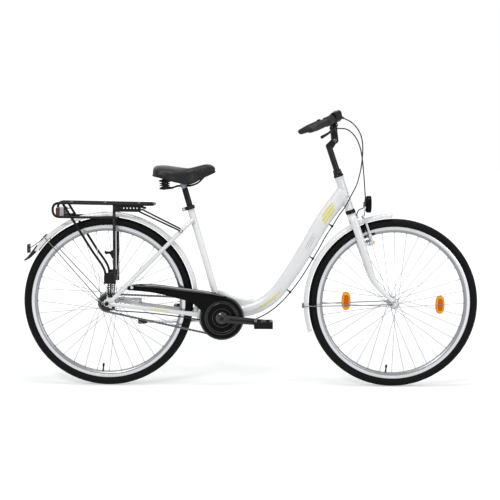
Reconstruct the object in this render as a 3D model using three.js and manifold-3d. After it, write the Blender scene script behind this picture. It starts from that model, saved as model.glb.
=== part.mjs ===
// A step-through city bicycle with mudguards, rear rack, chain guard and kickstand.
// Sizes are millimetres. X points forward, Y to the rider's left and Z up.
// The ground is Z = 0 and the origin lies midway between the two wheels' contact points.
import * as THREE from 'three';
import { mergeVertices } from 'three/addons/utils/BufferGeometryUtils.js';
import Module from 'manifold-3d';

const wasm = await Module();
wasm.setup();

// Clearances
const fit = 0.3;
const overrun = 2;
const weldDistance = 0.0005;
const degree = Math.PI / 180;

// Wheels and tyres
const wheelbase = 1176;
const tyreWidth = 38;
const beadHeight = 3;
const rimRadius = 317;
const tyreHeight = 32;
const tyreRadius = rimRadius + tyreHeight;
const rimDepth = 24;
const rimWidth = 24;
const rimWall = 2;
const rimShoulder = 8;
const spokeRadius = 1;
const nippleBandWidth = 6;
const nippleBandThickness = 0.8;
const wheelReflectorDistance = 195;
const wheelReflectorLength = 75;
const wheelReflectorWidth = 37;
const wheelReflectorThickness = 14;
const reflectorTurn = 2;

// Hubs and axles
const frontForkSpacing = 100;
const frontFlangeRadius = 21;
const frontFlangeSpacing = 66;
const flangeThickness = 3;
const frontBarrelRadius = 12;
const frontHubLength = 84;
const rearForkSpacing = 120;
const rearFlangeRadius = 38;
const rearBarrelRadius = 31;
const rearFlangeRight = 26;
const rearFlangeLeft = 30;
const rearHubRight = 33;
const rearHubLeft = 42;
const spokeHoleInset = 4;
const axleRadius = 5;
const locknutRadius = 9;
const axleNutRadius = 9.5;
const axleNutLength = 9;
const reactionArmLength = 132;
const reactionArmWidth = 12;
const reactionArmThickness = 3;
const gearCapRadius = 8;
const gearCapLength = 16;

// Frame
const crankAhead = 468;
const crankDrop = 59;
const seatAngle = 73.6;
const headLean = 19;
const forkRake = 50;
const seatTubeLength = 475;
const seatTubeRadius = 14.3;
const seatTubeWall = 1.3;
const shellRadius = 20.5;
const shellWidth = 68;
const shellWall = 3.5;
const cupLength = 11;
const mainTubeTopHalfHeight = 33;
const mainTubeLowHalfHeight = 26;
const mainTubeHalfWidth = 22;
const mainTubeWall = 1.6;
const mainTubeJoint = 500;
const gussetHeight = 112;
const gussetReach = 136;
const gussetThickness = 32;
const headTubeBottom = 423;
const headTubeTop = 568;
const headTubeRadius = 18.5;
const headTubeWall = 2;
const hollowEndShare = 0.9;
const cableGuideRadius = 3;
const guidedPoints = [13, 16, 19];

// Stays and dropouts
const seatStayRadius = 8.5;
const seatStayJoint = 420;
const seatStayBend = 374.8;
const seatStayBendAngle = 44.4;
const chainStayRadius = 10;
const chainStayHalfWidth = 7;
const stayClearance = 28;
const stayEndAhead = 16;
const dropoutThickness = 4;
const dropoutRadius = 15;
const eyeletHeight = 32;
const eyeletRadius = 8;
const wireEyeletRadius = 6;
const bridgeRadius = 5;
const bridgeAngle = -6;
const guardTabWidth = 14;
const guardTabThickness = 2;
const guardTabRise = 30;
const reactionArmRise = 3;
const clipSeat = 1;

// Seat post and its clamp
const postRadius = 12.7;
const postWall = 1.8;
const postBottom = 335;
const postTop = 548;
const postNeckRadius = 11;
const postNeckLength = 16;
const collarRadius = 19;
const collarHeight = 15;
const collarEarLength = 16;
const collarEarGap = 3;
const collarEarThickness = 5;
const collarBoltRadius = 3;

// Saddle
const saddleRear = -405;
const saddleLength = 258;
const saddleRearHalfWidth = 106;
const saddleTop = 919;
const saddleHeight = 86;
const saddlePadding = 20;
const saddleSkirt = 9;
const saddleBaseThickness = 5;
const clampAxisHeight = 831;
const clampRadius = 14;
const clampWidth = 58;
const clampSwing = 2.5;
const railRadius = 3.5;
const railSpacing = 44;
const railRearSpacing = 112;
const springCoilRadius = 16;
const springWireRadius = 2;
const springTurns = 3;
const springStepsPerTurn = 8;
const springAhead = 48;
const springFoot = 823;
const springHead = 846;
const railRearHeight = 818;
const railNoseAhead = 232;
const railNoseHeight = 888;

// Headset, fork and front brake
const lowerCupRadius = 21;
const upperCupRadius = 20.5;
const upperCupHeight = 29;
const cupSpigotDepth = 9;
const crownRaceHeight = 2.5;
const steererRadius = 14.3;
const steererWall = 1.3;
const steererTop = 592;
const crownHeight = 394;
const crownHalfWidth = 45;
const crownBend = 23;
const bladeHalfDepth = 16;
const bladeHalfWidth = 11.5;
const bladeTipRadius = 8;
const bladeSpread = 6;
const bladeBackset = 2;
const bladeCurveHeight = 105;
const bladeCurve = 75;
const forkEndThickness = 4;
const forkEndRadius = 13;
const bossHeight = 270;
const bossSpacing = 80;
const bossRadius = 5;
const bossGap = 8;
const brakeArmTop = 381;
const brakeArmDepth = 9;
const brakeArmBreadth = 13;
const brakeArmAhead = 44;
const brakeArmLean = 2;
const brakeArmTaper = 6;
const brakeCollarRadius = 8;
const padHeight = 300;
const padLength = 46;
const padThickness = 12;
const padGap = 1.5;
const padDepth = 10;

// Stem and handlebar
const quillRadius = 12.7;
const quillBottom = 528;
const quillTop = 700;
const stemPivotAhead = 30;
const stemPivotHeight = 713;
const stemPivotRadius = 14;
const stemTongueWidth = 20;
const stemCheekThickness = 8;
const stemBoltRadius = 4;
const stemBoltHeadRadius = 7;
const stemBoltHeadLength = 4;
const stemBodyRadius = 15;
const barCentreX = 328;
const barCentreZ = 1100;
const barRadius = 11;
const barSleeveRadius = 12.7;
const barSleeveWidth = 60;
const barClampRadius = 19;
const barClampWidth = 42;
const barFlat = 62;
const barBend = 36;
const gripEndX = 216;
const gripEndY = 322;
const gripEndZ = 1055;
const gripSweep = 38;
const gripDrop = 16;
const gripReach = 215;
const gripRadius = 16;
const gripLength = 116;
const gripFlange = 19;
const gripFlangeLength = 4;
const twistLength = 40;
const twistRadius = 18;
const leftGripLength = 128;
const housingLength = 46;
const housingRadius = 20;
const housingRise = 12;
const bootLength = 34;
const bootRadius = 6;
const bootTipRadius = 4;
const leverLength = 108;
const leverDrop = 46;
const leverPivotOut = 26;
const leverPinRadius = 2.5;
const leverEar = 3;
const leverAround = 10;
const leverRadius = 6;
const leverThickness = 10;
const leverEyeRadius = 9;
const bellRadius = 19;
const bellHeight = 17;
const bellStandOff = 16;
const bellAt = 112;
const bellLean = 15;
const bellRingWall = 3;
const bellRingWidth = 10;

const leverShares = [[0, 0], [0.2, 0.55], [0.5, 0.85], [0.8, 0.95], [1, 1]];
const bellOutlineShares = [[0, 1], [0.55, 0.9], [0.88, 0.6], [1, 0.1], [0.9, 0], [0, 0.3]];

// Cranks, chainring, chain and pedals
const chainLine = 45;
const chainringTeeth = 38;
const sprocketTeeth = 18;
const chainPitch = 12.7;
const toothHeight = 3.4;
const toothRoot = 4;
const chainringThickness = 2;
const chainHalfWidth = 4.5;
const chainHalfHeight = 5;
const chainPlate = 1.6;
const chainBridge = 0.9;
const spiderRadius = 24;
const ringCoverRadius = 64;
const ringCoverThickness = 2.5;
const ringCoverAt = 57.5;
const spindleRadius = 8.5;
const crankInner = 66;
const crankThickness = 14;
const crankLength = 170;
const crankDip = 5;
const crankBossRadius = 17;
const crankTipRadius = 12;
const pedalAxleRadius = 6;
const pedalLength = 76;
const pedalWidth = 68;
const pedalThickness = 30;
const pedalGap = 4;
const pedalRail = 13;
const pedalBarrelRadius = 11;
const sprocketBossRadius = 18;
const sprocketBossLength = 15;
const spindleHalfLength = 76;
const toothShares = [[-0.5, -1], [0, 1]];

// Chain guard
const guardLength = 387;
const guardHeight = 125;
const guardDiscRadius = 91;
const guardHoleRadius = 66;
const guardOuter = 60.5;
const guardPlate = 2.5;
const guardLip = 2;
const guardDepth = 9.5;
const guardBoltRadius = 6;
const guardBoltHead = 2.5;
const guardBracketWidth = 10;
const guardBracketHeight = 5;
const guardBracketUp = 101;
const guardTabShares = [-0.948, 0.992];
const guardLowerShares = [[-0.32, 0.49], [-0.519, 0.672], [-0.721, 0.816], [-1, 0.904]];
const guardUpperShares = [[-1, 1], [-0.943, 1.08], [-0.721, 1.064], [-0.419, 0.952], [-0.119, 0.832]];

// Mudguards
const mudguardGap = 23;
const mudguardEdgeGap = 6;
const mudguardRadius = tyreRadius + mudguardGap;
const mudguardEdge = tyreRadius + mudguardEdgeGap;
const mudguardHalfWidth = 26;
const mudguardThickness = 1.2;
const frontGuardStart = 91;
const frontGuardEnd = 200;
const rearGuardStart = -8;
const rearGuardEnd = 146;
const stayWireRadius = 2;
const frontStayAngle = 182;
const rearStayAngle = 134;
const stayWireOut = 7;
const mudguardOutlineShares = [[0, -1], [0.55, -0.96], [0.88, -0.64], [1, 0]];
const reflectorBracketThickness = 3;
const reflectorBracketAngle = 139;
const flapStart = 142;
const flapTipX = -934;
const flapTipZ = 518;
const flapThickness = 3;
const flapHalfWidth = 24;
const reflectorRear = -921;
const reflectorBottom = 548;
const reflectorTop = 585;
const reflectorHalfWidth = 20;
const reflectorThickness = 9;

// Rack and rear light
const rackTubeRadius = 5;
const rackHalfWidth = 62;
const rackTop = 750;
const rackLow = 693;
const rackRear = -806;
const rackFront = -400;
const rackLowFront = -545;
const rackStrutX = -559;
const rackStrutBottom = 429;
const rackLegX = -578;
const rackLegTop = 474;
const rackLegWidth = 15;
const rackLegThickness = 3;
const rackSidePlateHeight = 28;
const rackSidePlateLength = 109;
const rackSidePlateThickness = 3;
const rackBarRadius = 4;
const pumpHookHeight = 35;
const pumpHookReach = 38;
const pumpHookBottom = 533;
const rackHeadReach = 22;
const rackStayMeetShare = 0.6;
const rackBarShares = [0.16, 0.5, 0.84];
const rackDiagonalShares = [[0.824, 1], [0.526, 0.66], [0.307, 0.414], [0.083, 0.165], [0.075, 0]];
const rackStayRadius = 3.5;
const lightLength = 34;
const lightWidth = 76;
const lightHeight = 38;
const lightRear = -799;
const lightBottom = 700;
const lightBracketThickness = 3;

// Headlight
const lampX = 482;
const lampZ = 757;
const lampRadius = 35;
const lampDepth = 31;
const lampBackRadius = 22;
const lampBracketThickness = 3;
const lampBracketWidth = 18;
const lampRim = 3;
const lampShoulderShare = 0.35;

// Kickstand
const standPivotX = -205;
const standPivotY = 52;
const standPivotZ = 262;
const standTilt = 16.5;
const standHubRadius = 13;
const standHubThickness = 15;
const standPinRadius = 5;
const standLegRadius = 7;
const standLength = 262;
const standFootRadius = 10;
const standFootLength = 34;
const standClampLength = 40;
const standClampHeight = 9;
const standBossLength = 12;
const standDip = 1.3;

// Cables
const cableRadius = 2.4;
const cableStepLength = 32;
const brakeCableRoute = [
  [331, -177, 1063], [347, -166, 1063], [364, -156, 1062], [384, -142, 1054], [410, -122, 1029],
  [430, -102, 990], [441, -84, 948], [449, -66, 898], [457, -50, 830], [461, -44, 780],
  [461, -40, 745], [460, -36, 724], [460, -27, 714], [460, -12, 711.4], [460, 12, 711], [460, 34, 711],
];
const shiftCableRoute = [
  [357, -170, 1103], [369, -163, 1098], [386, -154, 1090], [409, -141, 1070], [429, -126, 1040],
  [439, -112, 1003], [441, -99, 965], [440, -86, 929], [435, -69, 886], [424, -50, 838],
  [404, -34, 793], [382, -27, 748], [358, -20, 713], [331, -9, 666], [306, 0, 625], [281, 0, 578],
  [254, 0, 531], [226, 0, 483], [196, 0, 436], [162, 0, 391], [121, 0, 345], [74, 0, 307],
  [22, 0, 279], [-36, 0, 262], [-90, -6, 255], [-150, -18, 262], [-205, -30, 277], [-262, -40, 288],
  [-340, -47, 299], [-430, -54, 310], [-505, -62, 316], [-552, -72, 322], [-578, -80, 338],
];

// Places worked out from the sizes
const rearAxle = new THREE.Vector3(-wheelbase / 2, 0, tyreRadius);
const frontAxle = new THREE.Vector3(wheelbase / 2, 0, tyreRadius);
const crankCentre = new THREE.Vector3(rearAxle.x + crankAhead, 0, tyreRadius - crankDrop);
const steeringUp = new THREE.Vector3(-Math.sin(headLean * degree), 0, Math.cos(headLean * degree));
const steeringAhead = new THREE.Vector3(Math.cos(headLean * degree), 0, Math.sin(headLean * degree));
const steeringFoot = frontAxle.clone().addScaledVector(steeringAhead, -forkRake);
const seatUp = new THREE.Vector3(-Math.cos(seatAngle * degree), 0, Math.sin(seatAngle * degree));
const sideways = new THREE.Vector3(0, 1, 0);
const upward = new THREE.Vector3(0, 0, 1);
const ahead = new THREE.Vector3(1, 0, 0);
const roundSides = 14;
const tubeSides = 8;
const wheelSteps = 36;

// Materials
function material(color, roughness, metalness) {
  return new THREE.MeshStandardMaterial({ color, roughness, metalness });
}
const whitePaint = material(0xeeeeec, 0.3, 0);
const blackPaint = material(0x17181a, 0.35, 0.1);
const blackPlastic = material(0x151515, 0.5, 0);
const blackRubber = material(0x101010, 0.8, 0);
const steel = material(0xb8bcc0, 0.35, 0.9);
const alloy = material(0xc9ccd0, 0.3, 0.9);
const vinyl = material(0x161616, 0.55, 0);
const amber = material(0xf07a10, 0.2, 0);
const redLens = material(0x8c1016, 0.2, 0);

const bicycle = new THREE.Group();

function group(parent = bicycle) {
  const child = new THREE.Group();
  parent.add(child);
  return child;
}
const frameGroup = group();
const rearWheelGroup = group(frameGroup);
const crankGroup = group(frameGroup);
const saddleGroup = group(frameGroup);
const forkGroup = group();
const frontWheelGroup = group(forkGroup);
const handlebarGroup = group(forkGroup);

// Solids from geometry

// Turns a geometry into a closed solid that faces out.
function solid(geometry) {
  const bare = geometry.clone();
  for (const name of Object.keys(bare.attributes)) {
    if (name !== 'position') bare.deleteAttribute(name);
  }
  const merged = mergeVertices(bare, weldDistance);
  const position = merged.getAttribute('position');
  const corners = Array.from(merged.index.array);
  const triangles = [];
  let volume = 0;
  for (let i = 0; i < corners.length; i += 3) {
    const [a, b, c] = corners.slice(i, i + 3);
    if (a === b || b === c || a === c) continue;
    triangles.push(a, b, c);
    const [p, q, r] = [a, b, c].map((k) => new THREE.Vector3().fromBufferAttribute(position, k));
    volume += p.dot(q.cross(r));
  }
  if (volume < 0) triangles.reverse();
  return new wasm.Manifold(new wasm.Mesh({
    numProp: 3,
    vertProperties: new Float32Array(position.array),
    triVerts: new Uint32Array(triangles),
  }));
}

function join(first, ...others) {
  return others.reduce((whole, other) => whole.add(other), first);
}

function cut(first, ...tools) {
  return tools.reduce((whole, tool) => whole.subtract(tool), first);
}

function addPart(name, shape, look, parent) {
  const { vertProperties, triVerts, numProp } = shape.getMesh();
  const geometry = new THREE.BufferGeometry();
  const positions = [];
  for (let i = 0; i < vertProperties.length; i += numProp) {
    positions.push(vertProperties[i], vertProperties[i + 1], vertProperties[i + 2]);
  }
  geometry.setAttribute('position', new THREE.Float32BufferAttribute(positions, 3));
  geometry.setIndex(Array.from(triVerts));
  geometry.computeVertexNormals();
  const mesh = new THREE.Mesh(geometry, look);
  mesh.name = name;
  parent.add(mesh);
}

// Shape makers

function at(x, y, z) {
  return new THREE.Vector3(x, y, z);
}

// A place in the steering frame: forward of the axis, to the left, and up along the axis.
function onFork(forward, left, up) {
  return at(0, left, 0).add(steeringFoot).addScaledVector(steeringAhead, forward)
    .addScaledVector(steeringUp, up);
}

// A place along the seat tube's axis.
function onSeatTube(distance) {
  return crankCentre.clone().addScaledVector(seatUp, distance);
}

function rod(from, to, radius, sides = roundSides, endRadius = radius) {
  const span = to.clone().sub(from);
  const geometry = new THREE.CylinderGeometry(endRadius, radius, span.length(), sides);
  const turn = new THREE.Quaternion().setFromUnitVectors(sideways, span.clone().normalize());
  geometry.applyQuaternion(turn);
  const middle = from.clone().add(to).divideScalar(2);
  geometry.translate(middle.x, middle.y, middle.z);
  return solid(geometry);
}

function block(low, high) {
  const size = high.clone().sub(low);
  const middle = low.clone().add(high).divideScalar(2);
  const geometry = new THREE.BoxGeometry(size.x, size.y, size.z);
  geometry.translate(middle.x, middle.y, middle.z);
  return solid(geometry);
}

// Turns a closed profile of [radius, distance] pairs about a line through base.
function turned(profile, base, direction, steps = roundSides) {
  const points = [...profile, profile[0]].map(([r, d]) => new THREE.Vector2(r, d));
  const geometry = new THREE.LatheGeometry(points, steps);
  geometry.applyQuaternion(new THREE.Quaternion().setFromUnitVectors(sideways, direction));
  geometry.translate(base.x, base.y, base.z);
  return solid(geometry);
}

// Extrudes an outline of [x, z] pairs from y = low to y = high.
function plate(outline, low, high) {
  const shape = new THREE.Shape(outline.map(([x, z]) => new THREE.Vector2(x, z)));
  const geometry = new THREE.ExtrudeGeometry(shape, { depth: high - low, bevelEnabled: false });
  geometry.rotateX(Math.PI / 2);
  geometry.translate(0, high, 0);
  return solid(geometry);
}

// Points on an arc in the XZ plane, counter-clockwise from +X when seen from the right side.
function arc(centre, radius, startAngle, endAngle, steps) {
  const points = [];
  for (let i = 0; i <= steps; i += 1) {
    const angle = (startAngle + (endAngle - startAngle) * i / steps) * degree;
    points.push([centre.x + radius * Math.cos(angle), centre.z + radius * Math.sin(angle)]);
  }
  return points;
}

function roundOutline(radius, sides) {
  const points = [];
  for (let i = 0; i < sides; i += 1) {
    const angle = 2 * Math.PI * i / sides;
    points.push([radius * Math.cos(angle), radius * Math.sin(angle)]);
  }
  return points;
}

// Joins rings of points into a closed body; the outlines are the end rings laid flat.
function loft(rings, firstOutline, lastOutline = firstOutline, closed = false) {
  const count = rings[0].length;
  const vertices = rings.flat();
  const triangles = [];
  const spans = closed ? rings.length : rings.length - 1;
  for (let i = 0; i < spans; i += 1) {
    const next = ((i + 1) % rings.length) * count;
    for (let j = 0; j < count; j += 1) {
      const k = (j + 1) % count;
      triangles.push(i * count + j, i * count + k, next + k);
      triangles.push(i * count + j, next + k, next + j);
    }
  }
  if (!closed) {
    const last = (rings.length - 1) * count;
    const flat = (outline) => outline.map(([a, b]) => new THREE.Vector2(a, b));
    const reversed = (outline) => THREE.ShapeUtils.isClockWise(flat(outline));
    const facets = (outline) => THREE.ShapeUtils.triangulateShape(flat(outline), []);
    for (const [a, b, c] of facets(firstOutline)) {
      triangles.push(...(reversed(firstOutline) ? [a, b, c] : [a, c, b]));
    }
    for (const [a, b, c] of facets(lastOutline)) {
      triangles.push(...(reversed(lastOutline) ? [a, c, b] : [a, b, c]).map((n) => last + n));
    }
  }
  const geometry = new THREE.BufferGeometry();
  const numbers = vertices.flatMap((v) => [v.x, v.y, v.z]);
  geometry.setAttribute('position', new THREE.Float32BufferAttribute(numbers, 3));
  geometry.setIndex(triangles);
  return solid(geometry);
}

// Sweeps a section along points; the section's first axis keeps to the side as the path turns.
// sectionAt gives the section's [sideways, across] pairs at a share of the path's points.
function sweep(points, sectionAt, firstSide = sideways, closed = false) {
  let side = firstSide.clone();
  const rings = points.map((point, i) => {
    const previous = points[i - 1] ?? (closed ? points[points.length - 1] : null);
    const following = points[i + 1] ?? (closed ? points[0] : null);
    const tangent = at(0, 0, 0);
    if (previous) tangent.add(point.clone().sub(previous).normalize());
    if (following) tangent.add(following.clone().sub(point).normalize());
    tangent.normalize();
    side = side.clone().addScaledVector(tangent, -side.dot(tangent)).normalize();
    const across = tangent.clone().cross(side);
    return sectionAt(i / (points.length - 1)).map(([a, b]) => point.clone()
      .addScaledVector(side, a).addScaledVector(across, b));
  });
  return loft(rings, sectionAt(0), sectionAt(1), closed);
}

function pipe(points, radius, sides = tubeSides) {
  const along = points[1].clone().sub(points[0]).normalize();
  const side = Math.abs(along.y) > Math.SQRT1_2 ? upward : sideways;
  return sweep(points, () => roundOutline(radius, sides), side);
}

// Rounds the corners of a path of straight lines.
function rounded(corners, reach, steps = 4) {
  const points = [corners[0]];
  for (let i = 1; i < corners.length - 1; i += 1) {
    const [before, corner, after] = corners.slice(i - 1, i + 2);
    const back = before.clone().sub(corner);
    const forth = after.clone().sub(corner);
    const start = corner.clone().addScaledVector(back.clone().normalize(), Math.min(reach,
      back.length() / 2));
    const end = corner.clone().addScaledVector(forth.clone().normalize(), Math.min(reach,
      forth.length() / 2));
    points.push(...new THREE.QuadraticBezierCurve3(start, corner, end).getPoints(steps));
  }
  points.push(corners[corners.length - 1]);
  return points.filter((p, i) => i === 0 || p.distanceTo(points[i - 1]) > fit);
}

// Pulls every edge of a closed outline inwards by a distance.
function inset(outline, distance) {
  const turn = THREE.ShapeUtils.isClockWise(outline.map(([x, z]) => new THREE.Vector2(x, z))) ? -1 : 1;
  const count = outline.length;
  const normal = (i) => {
    const [x0, z0] = outline[(i + count) % count];
    const [x1, z1] = outline[(i + 1) % count];
    const length = Math.hypot(x1 - x0, z1 - z0);
    return [-(z1 - z0) / length * turn, (x1 - x0) / length * turn];
  };
  return outline.map(([x, z], i) => {
    const [ax, az] = normal(i - 1);
    const [bx, bz] = normal(i);
    const stretch = distance / (1 + ax * bx + az * bz);
    return [x + (ax + bx) * stretch, z + (az + bz) * stretch];
  });
}

// Wheels

// Half of the tyre's outline above the rim: share of its height, share of half its width.
const tyreOutlineShares = [[0.4, 1], [0.76, 0.82], [0.94, 0.48], [1, 0.1]];

function tyre(axle) {
  const seat = rimWidth / 2 - rimWall - fit;
  const base = rimRadius + fit;
  const upper = tyreOutlineShares.map(([up, out]) => [
    base + up * (tyreRadius - base), out * tyreWidth / 2,
  ]);
  const half = [[rimRadius - beadHeight, seat], [base, seat], ...upper];
  const other = half.map(([r, y]) => [r, -y]).reverse();
  return turned([...half, ...other], axle, sideways, wheelSteps);
}

function rim(axle) {
  const inner = rimRadius - rimDepth;
  const edge = rimWidth / 2;
  const floor = edge - 2 * rimWall;
  const half = [
    [inner, floor], [inner + rimShoulder, edge], [rimRadius, edge], [rimRadius, edge - rimWall],
    [inner + rimShoulder, edge - rimWall],
  ];
  const other = half.map(([r, y]) => [r, -y]).reverse();
  return turned([...half, ...other], axle, sideways, wheelSteps);
}

// Four sets of nine spokes: one leads and one trails on the two faces of each flange.
function spokes(axle, flangeRadius, rightFlange, leftFlange) {
  const bandOuter = rimRadius - rimDepth - fit;
  const bandMiddle = bandOuter - nippleBandThickness / 2;
  const halfBand = nippleBandWidth / 2;
  const band = turned([
    [bandOuter - nippleBandThickness, -halfBand], [bandOuter - nippleBandThickness, halfBand],
    [bandOuter, halfBand], [bandOuter, -halfBand],
  ], axle, sideways, wheelSteps);
  const hole = flangeRadius - spokeHoleInset;
  const within = flangeThickness / 2 + fit + spokeRadius;
  const outside = within + spokeRadius;
  const sets = [
    { start: 0, lead: -60, y: -rightFlange - outside }, { start: 10, lead: -60, y: leftFlange + outside },
    { start: 20, lead: 60, y: -rightFlange + within }, { start: 30, lead: 60, y: leftFlange - within },
  ];
  const around = (radius, angle, y) => axle.clone().add(
    at(radius * Math.cos(angle * degree), y, radius * Math.sin(angle * degree)),
  );
  const rods = sets.flatMap(({ start, lead, y }) => Array.from({ length: 9 }, (_, i) => {
    const angle = start + 40 * i;
    return rod(around(hole, angle + lead, y), around(bandMiddle, angle, 0), spokeRadius, 3);
  }));
  return join(band, ...rods);
}

function hub(axle, flangeRadius, barrelRadius, flanges, ends) {
  const [right, left] = flanges;
  const [rightEnd, leftEnd] = ends;
  const half = flangeThickness / 2;
  const bore = axleRadius + fit;
  const neck = (bore + barrelRadius) / 2;
  return turned([
    [bore, -rightEnd], [neck, -rightEnd], [barrelRadius, -right - half],
    [flangeRadius, -right - half], [flangeRadius, -right + half], [barrelRadius, -right + half],
    [barrelRadius, left - half], [flangeRadius, left - half], [flangeRadius, left + half],
    [barrelRadius, left + half], [neck, leftEnd], [bore, leftEnd],
  ], axle, sideways, roundSides);
}

function addWheel(prefix, axle, flangeRadius, barrelRadius, flanges, ends, parent) {
  addPart(`${prefix}_tyre`, tyre(axle), blackRubber, parent);
  addPart(`${prefix}_rim`, rim(axle), alloy, parent);
  addPart(`${prefix}_spokes`, spokes(axle, flangeRadius, flanges[0], flanges[1]), steel, parent);
  addPart(`${prefix}_hub_shell`, hub(axle, flangeRadius, barrelRadius, flanges, ends), alloy, parent);
}

const halfFrontFlanges = frontFlangeSpacing / 2;
addWheel('front', frontAxle, frontFlangeRadius, frontBarrelRadius, [halfFrontFlanges, halfFrontFlanges],
  [frontHubLength / 2, frontHubLength / 2], frontWheelGroup);
addWheel('rear', rearAxle, rearFlangeRadius, rearBarrelRadius, [rearFlangeRight, rearFlangeLeft],
  [rearHubRight, rearHubLeft], rearWheelGroup);

// An axle with locknuts inside the fork ends and wheel nuts outside them.
function axle(centre, spacing, plateThickness, rightHubEnd, leftHubEnd) {
  const outside = spacing / 2 + plateThickness + fit;
  const tip = outside + axleNutLength;
  const piece = (from, to, radius, sides) => rod(
    centre.clone().add(at(0, from, 0)), centre.clone().add(at(0, to, 0)), radius, sides,
  );
  return join(
    piece(-tip - fit, tip + fit, axleRadius, tubeSides),
    piece(-outside, -tip, axleNutRadius, 6),
    piece(outside, tip, axleNutRadius, 6),
    piece(-rightHubEnd - fit, -spacing / 2 + fit, locknutRadius, tubeSides + 4),
    piece(leftHubEnd + fit, spacing / 2 - fit, locknutRadius, tubeSides + 4),
  );
}

addPart('front_axle', axle(frontAxle, frontForkSpacing, forkEndThickness, frontHubLength / 2,
  frontHubLength / 2), steel, forkGroup);

// Stays: each side's seat stay, chain stay and dropout are one welded piece.

const chainStayBend = at(rearAxle.x + mudguardRadius, 0, crankCentre.z + chainStayRadius);
const stayEndX = rearAxle.x + stayEndAhead;
const stayEndHalfSpacing = (rearForkSpacing + dropoutThickness) / 2;
const stayBendAcross = stayClearance + chainStayHalfWidth - fit;

function chainStayPoints(side) {
  return [
    at(crankCentre.x - shellRadius / 2, side * (shellWidth / 2 - chainStayRadius), crankCentre.z + fit),
    at(chainStayBend.x, side * stayBendAcross, chainStayBend.z),
    at(stayEndX, side * stayEndHalfSpacing, tyreRadius - dropoutThickness),
  ];
}

function seatStayPoints(side) {
  const top = onSeatTube(seatStayJoint);
  const bend = rearAxle.clone().add(at(
    seatStayBend * Math.cos(seatStayBendAngle * degree), 0,
    seatStayBend * Math.sin(seatStayBendAngle * degree),
  ));
  return [
    at(top.x, side * (seatTubeRadius + seatStayRadius - seatTubeWall * 2), top.z),
    at(bend.x, side * (stayClearance + seatStayRadius), bend.z),
    at(stayEndX, side * stayEndHalfSpacing, tyreRadius + seatStayRadius),
  ];
}

function oval(halfWidth, halfHeight, sides = tubeSides) {
  return roundOutline(1, sides).map(([a, b]) => [a * halfWidth, b * halfHeight]);
}

function chainStay(side, extra) {
  return sweep(chainStayPoints(side), () => oval(chainStayHalfWidth + extra,
    chainStayRadius + extra, 10));
}

function seatStay(side, extra) {
  return sweep(seatStayPoints(side), () => oval(seatStayRadius + extra, seatStayRadius + extra));
}

const rackEyelet = at(rearAxle.x + eyeletRadius, 0, tyreRadius + eyeletHeight);
const rearWireEyelet = at(rearAxle.x - dropoutRadius - wireEyeletRadius / 2, 0, tyreRadius);
const frontWireEyelet = at(frontAxle.x - forkEndRadius - wireEyeletRadius / 2, 0, tyreRadius);

// The two bridges cross behind the mudguard, which is bolted to them.
function bridge(angle) {
  const distance = mudguardRadius + fit + bridgeRadius;
  const middle = rearAxle.clone().add(at(
    distance * Math.cos(angle * degree), 0, distance * Math.sin(angle * degree),
  ));
  const half = at(0, stayClearance + chainStayHalfWidth, 0);
  return (extra) => rod(middle.clone().sub(half), middle.clone().add(half), bridgeRadius + extra,
    tubeSides);
}
const bridges = [bridge(seatStayBendAngle), bridge(bridgeAngle)];

function stays(side) {
  const inner = rearForkSpacing / 2;
  const low = side < 0 ? -inner - dropoutThickness : inner;
  const high = low + dropoutThickness;
  const disc = (centre, radius) => plate(arc(centre, radius, 0, 330, 11), low, high);
  const web = plate([
    [rearAxle.x - dropoutRadius / 2, tyreRadius - dropoutRadius + fit],
    [stayEndX + dropoutRadius, tyreRadius - dropoutRadius],
    [stayEndX + dropoutRadius, tyreRadius + dropoutRadius],
    [rackEyelet.x + eyeletRadius - fit, rackEyelet.z], [rackEyelet.x - eyeletRadius + fit, rackEyelet.z],
    [rearAxle.x - dropoutRadius + fit, tyreRadius],
  ], low, high);
  let shape = join(
    chainStay(side, 0), seatStay(side, 0),
    disc(rearAxle, dropoutRadius), disc(rackEyelet, eyeletRadius), disc(rearWireEyelet,
      wireEyeletRadius), web,
  );
  if (side < 0) shape = join(shape, ...bridges.map((make) => make(0)), guardTab(0));
  else shape = cut(shape, ...bridges.map((make) => make(fit)));
  const through = at(0, rearForkSpacing, 0);
  return cut(shape, seatTubeOutside(fit),
    rod(rearAxle.clone().sub(through), rearAxle.clone().add(through), axleRadius + fit));
}

function seatTubeOutside(extra) {
  const half = at(0, shellWidth / 2 + extra, 0);
  return join(
    rod(crankCentre, onSeatTube(seatTubeLength), seatTubeRadius + extra),
    rod(crankCentre.clone().sub(half), crankCentre.clone().add(half), shellRadius + extra, 14),
  );
}

// A tab under the right seat stay carries the rear end of the chain guard.
function guardTab(extra) {
  const outer = -(guardOuter - guardPlate - fit);
  const tip = guardPoint(guardTabShares);
  const half = guardTabWidth / 2 + extra;
  return block(
    at(tip[0] - half, outer - extra, tip[1] - half),
    at(tip[0] + half, outer + guardTabThickness + extra, rackEyelet.z + eyeletHeight + guardTabRise),
  );
}

function seatTube() {
  const shellBore = turned([
    [spindleRadius + fit, -shellWidth], [spindleRadius + fit, shellWidth],
    [0, shellWidth], [0, -shellWidth],
  ], crankCentre, sideways);
  const cavity = shellWidth / 2 - cupLength;
  const inside = shellRadius - shellWall;
  const hollow = turned([[0, -cavity], [inside, -cavity], [inside, cavity], [0, cavity]],
    crankCentre, sideways);
  const bore = rod(crankCentre, onSeatTube(seatTubeLength + overrun), seatTubeRadius - seatTubeWall);
  return cut(seatTubeOutside(0), bore, hollow, shellBore);
}

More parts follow.
